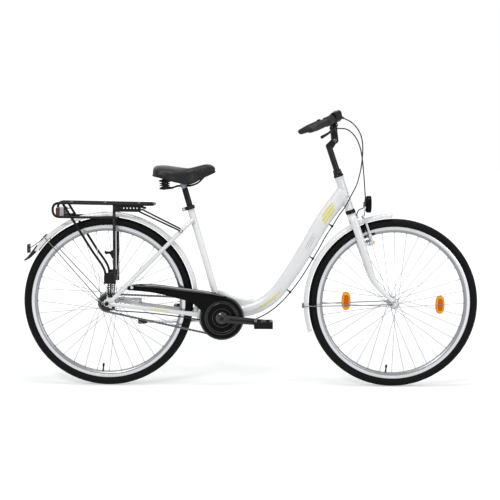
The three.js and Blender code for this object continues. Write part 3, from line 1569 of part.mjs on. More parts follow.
function rackFrame(rackStay) {
  const w = rackHalfWidth;
  const loop = pipe(rounded([
    at(rackLowFront, -w, rackLow), at(rackRear, -w, rackLow), at(rackRear, -w, rackTop),
      at(rackFront, -w, rackTop),
    at(rackFront, w, rackTop), at(rackRear, w, rackTop), at(rackRear, w, rackLow), at(rackLowFront,
      w, rackLow),
  ], (rackTop - rackLow) / 2, 2), rackTubeRadius, 6);
  const bars = rackBarShares.map((share) => {
    const x = rackFront + share * (rackRear - rackFront);
    return rod(at(x, -w, rackTop), at(x, w, rackTop), rackBarRadius, 6);
  });
  const lightPlate = block(
    at(lightRear + lightLength + fit, -w, rackLow),
    at(lightRear + lightLength + fit + lightBracketThickness, w, lightBottom + lightHeight),
  );
  const hook = block(
    at(rackStrutX - pumpHookReach, -w - rackLegThickness / 2, pumpHookBottom),
    at(rackStrutX, -w + rackLegThickness / 2, pumpHookBottom + pumpHookHeight),
  );
  const clearance = rod(
    at(rackStay.x, -w * 2, rackStay.z), at(rackStay.x, w * 2, rackStay.z), rackStayRadius + fit, 8,
  );
  return cut(join(loop, rackSide(-1), rackSide(1), ...bars, lightPlate, hook), clearance);
}

const rackStayFront = at(
  rackStrutX + rackSidePlateLength - rackStayRadius * 2, 0,
    rackTop - rackSidePlateHeight + rackStayRadius,
);
addPart('rack_frame', rackFrame(rackStayFront), blackPaint, frameGroup);
addPart('rack_stay', rackStayPiece(rackStayFront), blackPaint, frameGroup);
addPart('rear_light', block(at(lightRear, -lightWidth / 2, lightBottom),
  at(lightRear + lightLength, lightWidth / 2, lightBottom + lightHeight)), redLens, frameGroup);

// Kickstand on the left, folded back

const standPivot = at(standPivotX, standPivotY, standPivotZ);
const standAxis = at(0, Math.cos(standTilt * degree), Math.sin(standTilt * degree));

function onStand(distance) {
  return standPivot.clone().addScaledVector(standAxis, distance);
}

function kickstandBracket() {
  const [front, bend] = chainStayPoints(1);
  const half = standClampLength / 2;
  const stayLow = Math.min(front.z, bend.z) - chainStayRadius - fit;
  const clamp = cut(block(
    at(standPivotX - half, stayClearance, stayLow - standClampHeight),
    at(standPivotX + half, standPivotY - standHubThickness / 2, bend.z - chainStayRadius / 2),
  ), chainStay(1, fit));
  const face = -standHubThickness / 2 - fit;
  const boss = rod(onStand(face - standBossLength), onStand(face), standHubRadius);
  const pin = rod(onStand(face - fit), onStand(standHubThickness / 2 + overrun), standPinRadius, 12);
  const away = rod(onStand(face), onStand(standHubThickness * 2), standHubRadius + overrun);
  return join(cut(join(clamp, boss), away), pin);
}

function kickstand() {
  const half = standHubThickness / 2;
  const hub = rod(onStand(-half), onStand(half), standHubRadius);
  const hole = rod(onStand(-half - overrun), onStand(half + overrun), standPinRadius + fit, 12);
  const dip = standLength * Math.sin(standDip * degree);
  const footEnd = standPivot.clone().add(at(-standLength * Math.cos(standDip * degree), 0, -dip));
  const footStart = footEnd.clone().lerp(standPivot, standFootLength / standLength);
  const leg = rod(standPivot, footStart, standLegRadius, 12);
  const foot = rod(footStart, footEnd, standFootRadius, 12, standLegRadius);
  return cut(join(hub, leg, foot), hole);
}

addPart('kickstand_bracket', kickstandBracket(), steel, frameGroup);
addPart('kickstand', kickstand(), steel, frameGroup);

// Headlight on a bracket from the fork crown

function headlight() {
  const back = at(lampX - lampDepth / 2, 0, lampZ);
  const shell = turned([
    [0, 0], [lampBackRadius, 0], [lampRadius - fit, lampDepth * lampShoulderShare], [lampRadius,
    lampDepth / 2],
    [lampRadius, lampDepth], [lampRadius - lampRim, lampDepth], [lampRadius - lampRim * 2,
    lampDepth - lampRim],
    [0, lampDepth - lampRim / 2],
  ], back, ahead, 14);
  const clear = bladeHalfDepth + fit + lampBracketThickness / 2;
  const beyond = lowerCupRadius + lampBracketThickness;
  const flat = (forward, up) => {
    const p = onFork(forward, 0, up);
    return [p.x, p.z];
  };
  const bracket = plate(strip([
    flat(clear, crownHeight - bladeHalfWidth), flat(clear, crownHeight + fit),
    flat(beyond, crownHeight + bladeHalfWidth / 2),
    flat(beyond + lampBracketWidth / 2, crownHeight + lampBracketWidth),
    [back.x + lampBracketThickness / 2, lampZ - lampBackRadius / 2],
    [back.x + lampBracketThickness / 2, lampZ],
  ], lampBracketThickness), -lampBracketWidth / 2, lampBracketWidth / 2);
  return join(shell, bracket);
}

addPart('headlight', headlight(), blackPlastic, forkGroup);

// Stem: a quill with a tongue, and an arm that turns on the tongue's bolt

const stemPivot = onFork(stemPivotAhead, 0, stemPivotHeight);
const barCentre = at(barCentreX, 0, barCentreZ);
const stemDirection = barCentre.clone().sub(stemPivot).normalize();
const stemAcross = at(stemDirection.z, 0, -stemDirection.x);

function stemQuill() {
  const half = stemTongueWidth / 2;
  const flat = (forward, up) => {
    const p = onFork(forward, 0, up);
    return [p.x, p.z];
  };
  const head = plate([
    flat(-quillRadius, quillTop - stemPivotRadius), flat(quillRadius, quillTop - stemPivotRadius),
    flat(stemPivotAhead, stemPivotHeight - stemPivotRadius), flat(stemPivotAhead,
      stemPivotHeight + stemPivotRadius),
    flat(-quillRadius, quillTop + quillRadius / 2),
  ], -half, half);
  const side = (distance) => stemPivot.clone().add(at(0, distance, 0));
  const outer = half + fit + stemCheekThickness + fit;
  return join(
    rod(onFork(0, 0, quillBottom), onFork(0, 0, quillTop), quillRadius, 14),
    head, rod(side(-half), side(half), stemPivotRadius),
    rod(side(-outer), side(outer), stemBoltRadius, 12),
    rod(side(outer), side(outer + stemBoltHeadLength), stemBoltHeadRadius, 6),
    rod(side(-outer), side(-outer - stemBoltHeadLength), stemBoltHeadRadius, 6),
  );
}

function stemArm() {
  const along = (distance, across = 0) => stemPivot.clone().addScaledVector(stemDirection, distance)
    .addScaledVector(stemAcross, across);
  const reach = barCentre.distanceTo(stemPivot);
  const start = stemPivotRadius + overrun;
  const body = rod(along(start), along(reach), stemBodyRadius, 16);
  const cheeks = [-1, 1].map((side) => {
    const inner = stemTongueWidth / 2 + fit;
    const [low, high] = side < 0 ? [-inner - stemCheekThickness, -inner] : [inner,
      inner + stemCheekThickness];
    const flat = (distance, across) => {
      const p = along(distance, across);
      return [p.x, p.z];
    };
    return join(
      plate(arc(stemPivot, stemPivotRadius, 0, 330, 11), low, high),
      plate([flat(0, -stemPivotRadius), flat(0, stemPivotRadius), flat(start * 2,
        stemBodyRadius - overrun),
        flat(start * 2, overrun - stemBodyRadius)], low, high),
    );
  });
  const half = at(0, barClampWidth / 2, 0);
  const clamp = rod(barCentre.clone().sub(half), barCentre.clone().add(half), barClampRadius, 14);
  const through = at(0, barClampWidth, 0);
  return cut(
    join(body, clamp, ...cheeks),
    rod(barCentre.clone().sub(through), barCentre.clone().add(through), barSleeveRadius + 2 * fit, 14),
    rod(stemPivot.clone().sub(through), stemPivot.clone().add(through), stemBoltRadius + fit, 12),
  );
}

addPart('stem_quill', stemQuill(), blackPaint, handlebarGroup);
addPart('stem_arm', stemArm(), blackPaint, handlebarGroup);

// Handlebar: level in the clamp, then swept back and down to the grips

function gripInward(side) {
  return at(
    Math.cos(gripDrop * degree) * Math.sin(gripSweep * degree),
    -side * Math.cos(gripDrop * degree) * Math.cos(gripSweep * degree), Math.sin(gripDrop * degree),
  );
}

function gripEnd(side) {
  return at(gripEndX, side * gripEndY, gripEndZ);
}

function onGrip(side, distance) {
  return gripEnd(side).addScaledVector(gripInward(side), distance);
}

function barPath() {
  return rounded([
    gripEnd(-1), onGrip(-1, gripReach), at(barCentreX, -barFlat, barCentreZ),
    at(barCentreX, barFlat, barCentreZ), onGrip(1, gripReach), gripEnd(1),
  ], barBend, 4);
}

function barOutside(extra) {
  const half = at(0, barSleeveWidth / 2, 0);
  return join(
    pipe(barPath(), barRadius + extra, 10),
    rod(barCentre.clone().sub(half), barCentre.clone().add(half), barSleeveRadius + extra, 14),
  );
}

function grip(side, length) {
  const bore = barRadius + fit;
  const cap = gripRadius - barRadius;
  return turned([
    [0, -cap - fit], [gripRadius - overrun, -cap - fit], [gripRadius, -cap / 2], [gripRadius,
    length - gripFlangeLength],
    [gripFlange, length - gripFlangeLength], [gripFlange, length], [bore, length], [bore, -fit],
    [0, -fit],
  ], gripEnd(side), gripInward(side), 14);
}

function twistGrip() {
  const start = gripLength + fit;
  const bore = barRadius + fit;
  return turned([
    [bore, start], [twistRadius, start], [twistRadius, start + twistLength], [bore, start + twistLength],
  ], gripEnd(-1), gripInward(-1), 14);
}

// Directions round the right grip: downwards off the bar, and the brake lever's own direction
const barIn = gripInward(-1);
const barDown = at(0, 0, -1).addScaledVector(barIn, barIn.z).normalize();
const barLevel = barIn.clone().cross(barDown);
const leverOut = barDown.clone().multiplyScalar(Math.cos(leverAround * degree))
  .addScaledVector(barLevel, -Math.sin(leverAround * degree));
const leverHinge = barIn.clone().cross(leverOut);

function byGrip(distance, out, across = 0) {
  return onGrip(-1, distance).addScaledVector(leverOut, out).addScaledVector(leverHinge, across);
}

const leverPivotAt = gripLength + twistLength + leverEyeRadius;

function shiftBrakeHousing() {
  const start = gripLength + twistLength + 2 * fit;
  const body = rod(onGrip(-1, start), onGrip(-1, start + housingLength), housingRadius, 12);
  const rise = barDown.clone().multiplyScalar(-housingRise).addScaledVector(barLevel, -housingRise / 2);
  const hump = rod(
    onGrip(-1, start).add(rise), onGrip(-1, start + housingLength).add(rise),
      housingRadius - housingRise / 2, 10,
  );
  const half = leverThickness / 2 + fit;
  const ears = [-1, 1].map((side) => rod(
    byGrip(leverPivotAt, leverPivotOut, side * half), byGrip(leverPivotAt, leverPivotOut,
      side * (half + leverEar)),
    leverEyeRadius, 10,
  ));
  const struts = [-1, 1].map((side) => rod(
    byGrip(leverPivotAt, 0, side * (half + leverEar / 2)), byGrip(leverPivotAt, leverPivotOut,
      side * (half + leverEar / 2)),
    leverEar / 2, 6,
  ));
  const pin = rod(byGrip(leverPivotAt, leverPivotOut, -half - fit), byGrip(leverPivotAt,
    leverPivotOut, half + fit),
    leverPinRadius, 8);
  const room = rod(byGrip(leverPivotAt, leverPivotOut, -half), byGrip(leverPivotAt, leverPivotOut, half),
    leverEyeRadius + overrun, 12);
  const boots = [shiftCableRoute, brakeCableRoute].map((route) => {
    const tip = at(...route[0]);
    const towards = at(...route[0]).sub(at(...route[1])).normalize();
    const end = tip.clone().addScaledVector(towards, fit);
    return rod(tip.clone().addScaledVector(towards, bootLength), end, bootRadius, 8, bootTipRadius);
  });
  const solidBody = cut(join(body, hump, ...ears, ...struts, ...boots), room, barOutside(fit));
  return join(solidBody, pin);
}

function brakeLever() {
  const half = leverThickness / 2;
  const eye = rod(byGrip(leverPivotAt, leverPivotOut, -half), byGrip(leverPivotAt, leverPivotOut,
    half), leverEyeRadius, 12);
  const blade = sweep(leverShares.map(([back, out]) => byGrip(
    leverPivotAt - back * leverLength, leverPivotOut + out * (leverDrop - leverPivotOut),
  )), () => oval(leverThickness / 2, leverRadius, 8), leverHinge);
  const hole = rod(byGrip(leverPivotAt, leverPivotOut, -half * 2), byGrip(leverPivotAt,
    leverPivotOut, half * 2),
    leverPinRadius + fit, 10);
  return cut(join(eye, blade), hole);
}

function bell() {
  const bar = onGrip(1, gripReach);
  const inner = at(barCentreX, barFlat, barCentreZ);
  const seat = inner.clone().lerp(bar, (bellAt - barFlat) / (bar.y - barFlat));
  const along = bar.clone().sub(inner).normalize();
  const down = at(-Math.sin(bellLean * degree), 0, -Math.cos(bellLean * degree));
  const ringRadius = barRadius + fit + bellRingWall;
  const ring = cut(
    rod(seat.clone().addScaledVector(along, -bellRingWidth / 2),
      seat.clone().addScaledVector(along, bellRingWidth / 2), ringRadius),
    barOutside(fit),
  );
  const neck = rod(
    seat.clone().addScaledVector(down, barRadius + bellRingWall / 2),
    seat.clone().addScaledVector(down, bellStandOff + bellHeight / 2), bellRingWall, 10,
  );
  const dome = turned(
    bellOutlineShares.map(([r, d]) => [r * bellRadius, bellStandOff + d * bellHeight]), seat, down, 14,
  );
  return join(ring, neck, dome);
}

addPart('handlebar', barOutside(0), blackPaint, handlebarGroup);
addPart('grip_right', grip(-1, gripLength), blackRubber, handlebarGroup);
addPart('grip_left', grip(1, leftGripLength), blackRubber, handlebarGroup);
addPart('shift_brake_housing', shiftBrakeHousing(), blackPlastic, handlebarGroup);
addPart('twist_grip', twistGrip(), blackRubber, handlebarGroup);
addPart('brake_lever', brakeLever(), blackPlastic, handlebarGroup);
addPart('bell', bell(), alloy, handlebarGroup);

// Cables, along routes chosen by hand

function cable(route) {
  const curve = new THREE.CatmullRomCurve3(route.map((point) => at(...point)));
  const shape = new THREE.Shape(roundOutline(cableRadius, 8).map(([a, b]) => new THREE.Vector2(a, b)));
  const steps = Math.round(curve.getLength() / cableStepLength);
  return solid(new THREE.ExtrudeGeometry(shape, { steps, extrudePath: curve, bevelEnabled: false }));
}

addPart('shift_cable', cable(shiftCableRoute), blackPlastic, frameGroup);
addPart('brake_cable', cable(brakeCableRoute), blackPlastic, forkGroup);

// Reflectors between the front spokes

function wheelReflector(angle) {
  const centre = frontAxle.clone().add(at(
    wheelReflectorDistance * Math.cos(angle * degree), 0,
      wheelReflectorDistance * Math.sin(angle * degree),
  ));
  const half = wheelReflectorThickness / 2;
  const outline = arc(at(0, 0, 0), 1, 0, 340, 17).map(([a, b]) => [
    centre.x + a * wheelReflectorWidth / 2, centre.z + b * wheelReflectorLength / 2,
  ]);
  return plate(outline, -half, half);
}

for (const [name, angle] of [['front_reflector_rear', 180 - reflectorTurn],
  ['front_reflector_front', -reflectorTurn]]) {
  addPart(name, wheelReflector(angle), amber, frontWheelGroup);
}

export default bicycle;
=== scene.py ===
"""The looks of a step-through city bicycle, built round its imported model. Sizes are in millimetres."""
import math

import bmesh
import bpy
import numpy as np
from mathutils import Matrix, Vector
from mathutils.geometry import tessellate_polygon


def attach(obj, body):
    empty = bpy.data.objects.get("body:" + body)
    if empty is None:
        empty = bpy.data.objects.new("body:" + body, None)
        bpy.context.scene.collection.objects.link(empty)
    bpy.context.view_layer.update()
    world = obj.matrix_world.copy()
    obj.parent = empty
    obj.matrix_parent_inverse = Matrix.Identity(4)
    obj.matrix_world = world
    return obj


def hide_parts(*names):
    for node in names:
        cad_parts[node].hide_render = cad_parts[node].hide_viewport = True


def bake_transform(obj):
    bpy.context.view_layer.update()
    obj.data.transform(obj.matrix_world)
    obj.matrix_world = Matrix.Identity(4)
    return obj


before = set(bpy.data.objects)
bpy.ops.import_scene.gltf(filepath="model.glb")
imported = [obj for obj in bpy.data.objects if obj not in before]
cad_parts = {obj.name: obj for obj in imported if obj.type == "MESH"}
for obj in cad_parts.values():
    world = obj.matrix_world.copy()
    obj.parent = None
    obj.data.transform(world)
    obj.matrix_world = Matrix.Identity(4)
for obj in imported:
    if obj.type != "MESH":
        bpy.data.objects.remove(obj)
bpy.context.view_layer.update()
MM = 0.001


# ---------------------------------------------------------------- vectors and paths

def V(x, y, z):
    return np.array((x, y, z), float)


def unit(v):
    return v / np.linalg.norm(v)


X, Y, Z = V(1, 0, 0), V(0, 1, 0), V(0, 0, 1)
REAR, FRONT, CRANK = V(-588, 0, 349), V(588, 0, 349), V(-120, 0, 290)
FORK_LEAN, FORK_OFFSET, SEAT_ANGLE = math.radians(19), 50, math.radians(73.6)
UP = V(-math.sin(FORK_LEAN), 0, math.cos(FORK_LEAN))
AHEAD = V(math.cos(FORK_LEAN), 0, math.sin(FORK_LEAN))
FOOT = FRONT - FORK_OFFSET * AHEAD
SEAT_UP = V(-math.cos(SEAT_ANGLE), 0, math.sin(SEAT_ANGLE))
SEAT_BACK = V(-SEAT_UP[2], 0, SEAT_UP[0])
SIDES = ((-1, "right"), (1, "left"))


def on_fork(forward, left, up):
    return FOOT + AHEAD * forward + Y * left + UP * up


def on_seat(distance, back=0, left=0):
    return CRANK + SEAT_UP * distance + SEAT_BACK * back + Y * left


def polar(centre, radius, degrees, y=0):
    a = math.radians(degrees)
    return centre + V(radius * math.cos(a), y, radius * math.sin(a))


def lerp(a, b, share):
    return a + (b - a) * share


def corner_curve(start, corner, end, steps):
    """Points of a round corner between two points."""
    shares = [i / steps for i in range(steps + 1)]
    return [start * (1 - t) ** 2 + 2 * corner * t * (1 - t) + end * t ** 2 for t in shares]


def rounded(corners, reach, steps=8):
    """Rounds the corners of a path of straight lines."""
    points = [corners[0]]
    for before, corner, after in zip(corners, corners[1:], corners[2:]):
        back, forth = before - corner, after - corner
        start = corner + unit(back) * min(reach, np.linalg.norm(back) / 2)
        end = corner + unit(forth) * min(reach, np.linalg.norm(forth) / 2)
        points += corner_curve(start, corner, end, steps)
    points.append(corners[-1])
    kept = [points[0]]
    for p in points[1:]:
        if np.linalg.norm(p - kept[-1]) > 0.2:
            kept.append(p)
    return kept


def travelled(points):
    """How far along the path each of its points lies."""
    return np.concatenate([[0], np.cumsum(np.linalg.norm(np.diff(points, axis=0), axis=1))])


def resampled(points, count):
    """The same path as a number of points in even steps of its length."""
    lengths = travelled(points)
    wanted = np.linspace(0, lengths[-1], count)
    return list(np.stack([np.interp(wanted, lengths, column) for column in np.array(points).T], 1))


def even_path(path, step):
    return resampled(path, max(3, int(travelled(path)[-1] / step)))


def spline(points, count):
    """A centripetal curve through the points, in even steps of its length."""
    pts = [np.array(p, float) for p in points]
    pts = [2 * pts[0] - pts[1], *pts, 2 * pts[-1] - pts[-2]]
    fine = 24
    dense = []
    for p0, p1, p2, p3 in zip(pts, pts[1:], pts[2:], pts[3:]):
        t0 = 0
        t1, t2, t3 = np.cumsum([max(np.linalg.norm(b - a), 1e-6) ** 0.5 for a, b in ((p0, p1), (p1, p2), (p2, p3))])
        for t in (t1 + (t2 - t1) * i / fine for i in range(fine)):
            a1 = (t1 - t) / (t1 - t0) * p0 + (t - t0) / (t1 - t0) * p1
            a2 = (t2 - t) / (t2 - t1) * p1 + (t - t1) / (t2 - t1) * p2
            a3 = (t3 - t) / (t3 - t2) * p2 + (t - t2) / (t3 - t2) * p3
            b1 = (t2 - t) / (t2 - t0) * a1 + (t - t0) / (t2 - t0) * a2
            b2 = (t3 - t) / (t3 - t1) * a2 + (t - t1) / (t3 - t1) * a3
            dense.append((t2 - t) / (t2 - t1) * b1 + (t - t1) / (t2 - t1) * b2)
    return resampled(dense + [pts[-2]], count + 1)


def flat_spline(points, count):
    return [tuple(p) for p in spline(points, count)]


def circle(radius, sides):
    return [(radius * math.cos(2 * math.pi * i / sides), radius * math.sin(2 * math.pi * i / sides))
            for i in range(sides)]


def oval(half_side, half_across, sides=32, power=2.0):
    """A superellipse: power 2 is an ellipse, and more is boxier."""
    points = []
    for i in range(sides):
        a = 2 * math.pi * i / sides
        c, s = math.cos(a), math.sin(a)
        points.append((half_side * math.copysign(abs(c) ** (2 / power), c),
                       half_across * math.copysign(abs(s) ** (2 / power), s)))
    return points


def soften(outline, reach, steps=3):
    """Rounds the corners of a closed flat outline."""
    out = []
    n = len(outline)
    for i in range(n):
        before, corner, after = (np.array(outline[(i + k) % n], float) for k in (-1, 0, 1))
        back, forth = before - corner, after - corner
        r = min(reach, np.linalg.norm(back) * 0.45, np.linalg.norm(forth) * 0.45)
        out += [tuple(p) for p in corner_curve(corner + unit(back) * r, corner, corner + unit(forth) * r, steps)]
    return out


def tile(u0, u1, v0, v1, reach, steps=3):
    """A rectangle with round corners."""
    return soften([(u0, v0), (u1, v0), (u1, v1), (u0, v1)], reach, steps)


def strip(half_side, half_across, reach, steps=3):
    """A round-cornered section about the middle, for a sweep."""
    return tile(-half_side, half_side, -half_across, half_across, reach, steps)


def bush(inner, outer, low, high, cut=0.8, drop=None):
    """A turned ring's profile: its outer edges are cut off, and drop along the axis."""
    drop = cut if drop is None else drop
    return [(inner, low), (outer - cut, low), (outer, low + drop),
            (outer, high - drop), (outer - cut, high), (inner, high)]


def mirrored(half):
    """A profile of [radius, y] pairs on one side of the middle, with its other side."""
    return half + [(r, -y) for r, y in reversed(half) if y]


def arc(centre, radius, start, end, steps):
    return [(centre[0] + radius * math.cos(math.radians(start + (end - start) * i / steps)),
             centre[1] + radius * math.sin(math.radians(start + (end - start) * i / steps)))
            for i in range(steps + 1)]


def disc(centre, radius, steps=32):
    return arc(centre, radius, 0, 360 - 360 / steps, steps - 1)


def slot_outline(centre, half_length, radius, degrees=0, steps=8):
    """A long hole with round ends."""
    points = arc((half_length, 0), radius, -90, 90, steps) + arc((-half_length, 0), radius, 90, 270, steps)
    c, s = math.cos(math.radians(degrees)), math.sin(math.radians(degrees))
    return [(centre[0] + x * c - z * s, centre[1] + x * s + z * c) for x, z in points]


def area_of(outline):
    return sum(a[0] * b[1] - b[0] * a[1] for a, b in zip(outline, outline[1:] + outline[:1])) / 2


def inset(outline, distance):
    """Pulls every edge of a closed outline inwards."""
    turn = 1 if area_of(outline) > 0 else -1
    n = len(outline)
    normals = []
    for (x0, z0), (x1, z1) in zip(outline, outline[1:] + outline[:1]):
        length = math.hypot(x1 - x0, z1 - z0) or 1
        normals.append((-(z1 - z0) / length * turn, (x1 - x0) / length * turn))
    out = []
    for i in range(n):
        (ax, az), (bx, bz) = normals[i - 1], normals[i]
        k = distance / max(1 + ax * bx + az * bz, 0.3)
        out.append((outline[i][0] + (ax + bx) * k, outline[i][1] + (az + bz) * k))
    return out


def frame_of(direction):
    """Two directions square to a given one."""
    d = unit(direction)
    side = Z if abs(d[1]) > 0.7 else Y
    side = unit(side - d * side.dot(d))
    return d, side, np.cross(d, side)


# ---------------------------------------------------------------- meshes

def inset_signed(loop, distance):
    """Insets an outer loop, and widens a hole's loop, which runs the other way."""
    if not distance:
        return loop
    return inset(loop, distance if area_of(loop) > 0 else -distance)


class Shape:
    """Collects closed bodies in one mesh, with a look for each face."""

    def __init__(self):
        self.points, self.faces, self.looks = [], [], []

    def add(self, points, faces, looks=0):
        """Adds points, and faces that count those points from 0."""
        start = len(self.points)
        self.points.extend(points)
        self.faces.extend(tuple(start + i for i in face) for face in faces)
        self.looks.extend(looks if isinstance(looks, list) else [looks] * len(faces))
        return self

    def loft(self, rings, look=0, closed=False, looks=None):
        """Skins closed rings of equal counts; looks gives each side of a ring its own look."""
        count, last = len(rings[0]), len(rings) - 1
        faces, face_looks = [], []
        for i in range(last + closed):
            a, b = i * count, (i + 1) % len(rings) * count
            for j in range(count):
                k = (j + 1) % count
                faces.append((a + j, a + k, b + k, b + j))
                face_looks.append(looks[j] if looks else look)
        if not closed:
            faces += [tuple(reversed(range(count))), tuple(range(last * count, (last + 1) * count))]
            face_looks += [look, look]
        return self.add([p for ring in rings for p in ring], faces, face_looks)

    def sweep(self, path, section, side=None, look=0, closed=False):
        """Sweeps section(share), [side, across] pairs, along a path."""
        n = len(path)
        if side is None:
            side = Z if abs(unit(path[1] - path[0])[1]) > 0.7 else Y
        rings = []
        for i, p in enumerate(path):
            tangent = V(0, 0, 0)
            if i or closed:
                tangent = tangent + unit(p - path[i - 1])
            if i < n - 1 or closed:
                tangent = tangent + unit(path[(i + 1) % n] - p)
            tangent = unit(tangent)
            side = unit(side - tangent * side.dot(tangent))
            across = np.cross(tangent, side)
            rings.append([p + side * a + across * b for a, b in section(i / max(n - 1, 1))])
        return self.loft(rings, look, closed)

    def tube(self, path, radius, sides=16, look=0, closed=False, side=None):
        def ring(share):
            return circle(radius(share) if callable(radius) else radius, sides)
        return self.sweep(path, ring, side, look, closed)

    def lathe(self, profile, base, direction, steps=64, look=0):
        """Turns a closed profile of [radius, distance] pairs about a line through base."""
        d, side, across = frame_of(direction)
        if area_of([tuple(p) for p in profile]) < 0:
            profile = list(reversed(profile))
        rings = []
        for out in (side * x + across * y for x, y in circle(1, steps)):
            rings.append([base + out * r + d * t for r, t in profile])
        return self.loft(rings, look, closed=True)

    def rod(self, a, b, radius, end=None, bevel=0.6, sides=24, look=0):
        """A round bar from a to b, which may taper to another radius."""
        end = radius if end is None else end
        length = np.linalg.norm(b - a)
        bevel = min(bevel, radius / 2, end / 2, length / 3)
        return self.lathe([(0, 0), (radius - bevel, 0), (radius, bevel), (end, length - bevel),
                           (end - bevel, length), (0, length)], a, b - a, sides, look)

    def slab(self, outline, low, high, bevel=0.8, look=0, holes=(), place=None, steps=2):
        """A flat body between two levels, with rounded edges and holes."""
        place = place or (lambda u, v, w: V(u, w, v))
        low, high = sorted((low, high))
        bevel = min(bevel, (high - low) / 2.01)
        turns = [math.pi / 2 * k / steps for k in range(steps + 1)]
        levels = [(bevel * (1 - math.sin(t)), low + bevel * (1 - math.cos(t))) for t in turns]
        levels += [(d, low + high - w) for d, w in reversed(levels)]
        loops = [[tuple(p) for p in loop] for loop in (outline, *holes)]
        loops = [loop if (area_of(loop) > 0) == (i == 0) else loop[::-1] for i, loop in enumerate(loops)]
        points, faces, ends = [], [], [[], []]
        for loop in loops:
            n, start = len(loop), len(points)
            for d, w in levels:
                points += [place(u, v, w) for u, v in inset_signed(loop, d)]
            for i in range(len(levels) - 1):
                a, b = start + i * n, start + (i + 1) * n
                faces += [(a + j, a + (j + 1) % n, b + (j + 1) % n, b + j) for j in range(n)]
            ends[0] += range(start, start + n)
            ends[1] += range(len(points) - n, len(points))
        for which, ids in enumerate(ends):
            for face in self.lid(loops, levels[0][0]):
                face = tuple(ids[k] for k in face)
                faces.append(face if which else face[::-1])
        return self.add(points, faces, look)

    def lid(self, loops, distance):
        """The faces that close a slab's end: one for a plain outline, and triangles round holes."""
        if len(loops) == 1:
            return [tuple(range(len(loops[0])))]
        flat = [[Vector((*uv, 0)) for uv in inset_signed(loop, distance)] for loop in loops]
        corners = [p for loop in flat for p in loop]
        faces = []
        for tri in tessellate_polygon(flat):
            a, b, c = (np.array(corners[t])[:2] for t in tri)
            ccw = (b[0] - a[0]) * (c[1] - a[1]) - (c[0] - a[0]) * (b[1] - a[1]) > 0
            faces.append(tri if ccw else tri[::-1])
        return faces

    def block(self, low, high, bevel=1.0, look=0):
        """A box with rounded edges."""
        (x0, y0, z0), (x1, y1, z1) = low, high
        return self.slab(tile(x0, x1, z0, z1, bevel), y0, y1, bevel, look)

    def bar(self, a, b, half_side, half_across, side=Y, bevel=0.8, look=0):
        """A straight rectangular bar with rounded long edges."""
        section = strip(half_side, half_across, bevel)
        return self.sweep([a, b], lambda share: section, side, look)

    def nut(self, centre, direction, radius, height, look=0):
        """A hexagonal nut with turned corners, on a round washer."""
        d = unit(direction)
        a = centre + d * height * 0.18
        self.rod(centre, a, radius * 1.12, look=look, bevel=0.3)
        return self.lathe([(0, 0), (radius * 0.93, 0), (radius, height * 0.1), (radius, height * 0.7),
                           (radius * 0.9, height * 0.82), (0, height * 0.82)], a, d, 6, look)

    def screw(self, centre, direction, radius, height, look=0):
        """A round head with a hexagonal socket."""
        return self.lathe([(0, height * 0.35), (radius * 0.5, height * 0.35), (radius * 0.52, height),
                           (radius * 0.8, height), (radius, height * 0.75), (radius, 0), (0, 0)],
                          centre, direction, 24, look)

    def bead(self, centre, direction, radius, thick=1.6, look=0, stretch=1.0, seed=0):
        """A weld bead round a tube."""
        d, side, across = frame_of(direction)
        steps = max(24, int(radius * 4))
        path = [centre + side * x + across * stretch * y for x, y in circle(radius, steps)]
        ripple = [thick * (1 + 0.22 * math.sin(i * 1.9 + seed) + 0.12 * math.sin(i * 3.1)) for i in range(steps)]
        return self.sweep(path, lambda s: circle(ripple[int(round(s * (steps - 1)))], 8), d, look, closed=True)


def piece(name, shape, looks, body, replaces=(), sharp=38, weld=None, smooth=0):
    """Makes a named piece from a shape, in metres, riding on a body."""
    mesh = bpy.data.meshes.new(name)
    points = [tuple(float(c) * MM for c in p) for p in shape.points]
    mesh.from_pydata(points, [], shape.faces)
    looks = looks if isinstance(looks, (list, tuple)) else [looks]
    for look in looks:
        mesh.materials.append(look)
    mesh.polygons.foreach_set("material_index", np.array(shape.looks, np.int32))
    bm = bmesh.new()
    bm.from_mesh(mesh)
    bmesh.ops.remove_doubles(bm, verts=bm.verts, dist=2e-6)
    bmesh.ops.dissolve_degenerate(bm, edges=bm.edges, dist=1e-7)
    bmesh.ops.recalc_face_normals(bm, faces=bm.faces)
    bm.to_mesh(mesh)
    bm.free()
    obj = bpy.data.objects.new(name, mesh)
    bpy.context.scene.collection.objects.link(obj)
    if weld:
        remesh(obj, weld, smooth)
    obj.data.polygons.foreach_set("use_smooth", np.ones(len(obj.data.polygons), bool))
    if sharp:
        obj.data.set_sharp_from_angle(angle=math.radians(sharp))
    if body:
        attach(obj, body)
    if replaces:
        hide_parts(*([replaces] if isinstance(replaces, str) else replaces))
    return obj


def apply_modifiers(obj):
    made = bpy.data.meshes.new_from_object(obj.evaluated_get(bpy.context.evaluated_depsgraph_get()))
    obj.modifiers.clear()
    obj.data = made


def remesh(obj, voxel, smooth):
    """Joins overlapping bodies into one skin with soft joints."""
    join = obj.modifiers.new("join", "REMESH")
    join.mode, join.voxel_size, join.use_smooth_shade = "VOXEL", voxel * MM, True
    soft = obj.modifiers.new("soften", "SMOOTH")
    soft.factor, soft.iterations = 0.5, smooth
    look = obj.data.materials[0]
    apply_modifiers(obj)
    obj.data.materials.clear()
    obj.data.materials.append(look)


# ---------------------------------------------------------------- materials

def feed(tree, value, socket):
    """Links a socket to another, or sets a plain value on it."""
    if isinstance(value, bpy.types.NodeSocket):
        tree.links.new(value, socket)
    else:
        socket.default_value = value


def node(tree, kind, *feeds, **settings):
    """A shader node. Feeds go to its first inputs in turn, and settings to named inputs or properties."""
    made = tree.nodes.new(kind)
    for key, value in settings.items():
        name = key.replace("_", " ")
        if name in made.inputs:
            feed(tree, value, made.inputs[name])
        else:
            setattr(made, key, value)
    for value, socket in zip(feeds, made.inputs):
        feed(tree, value, socket)
    return made


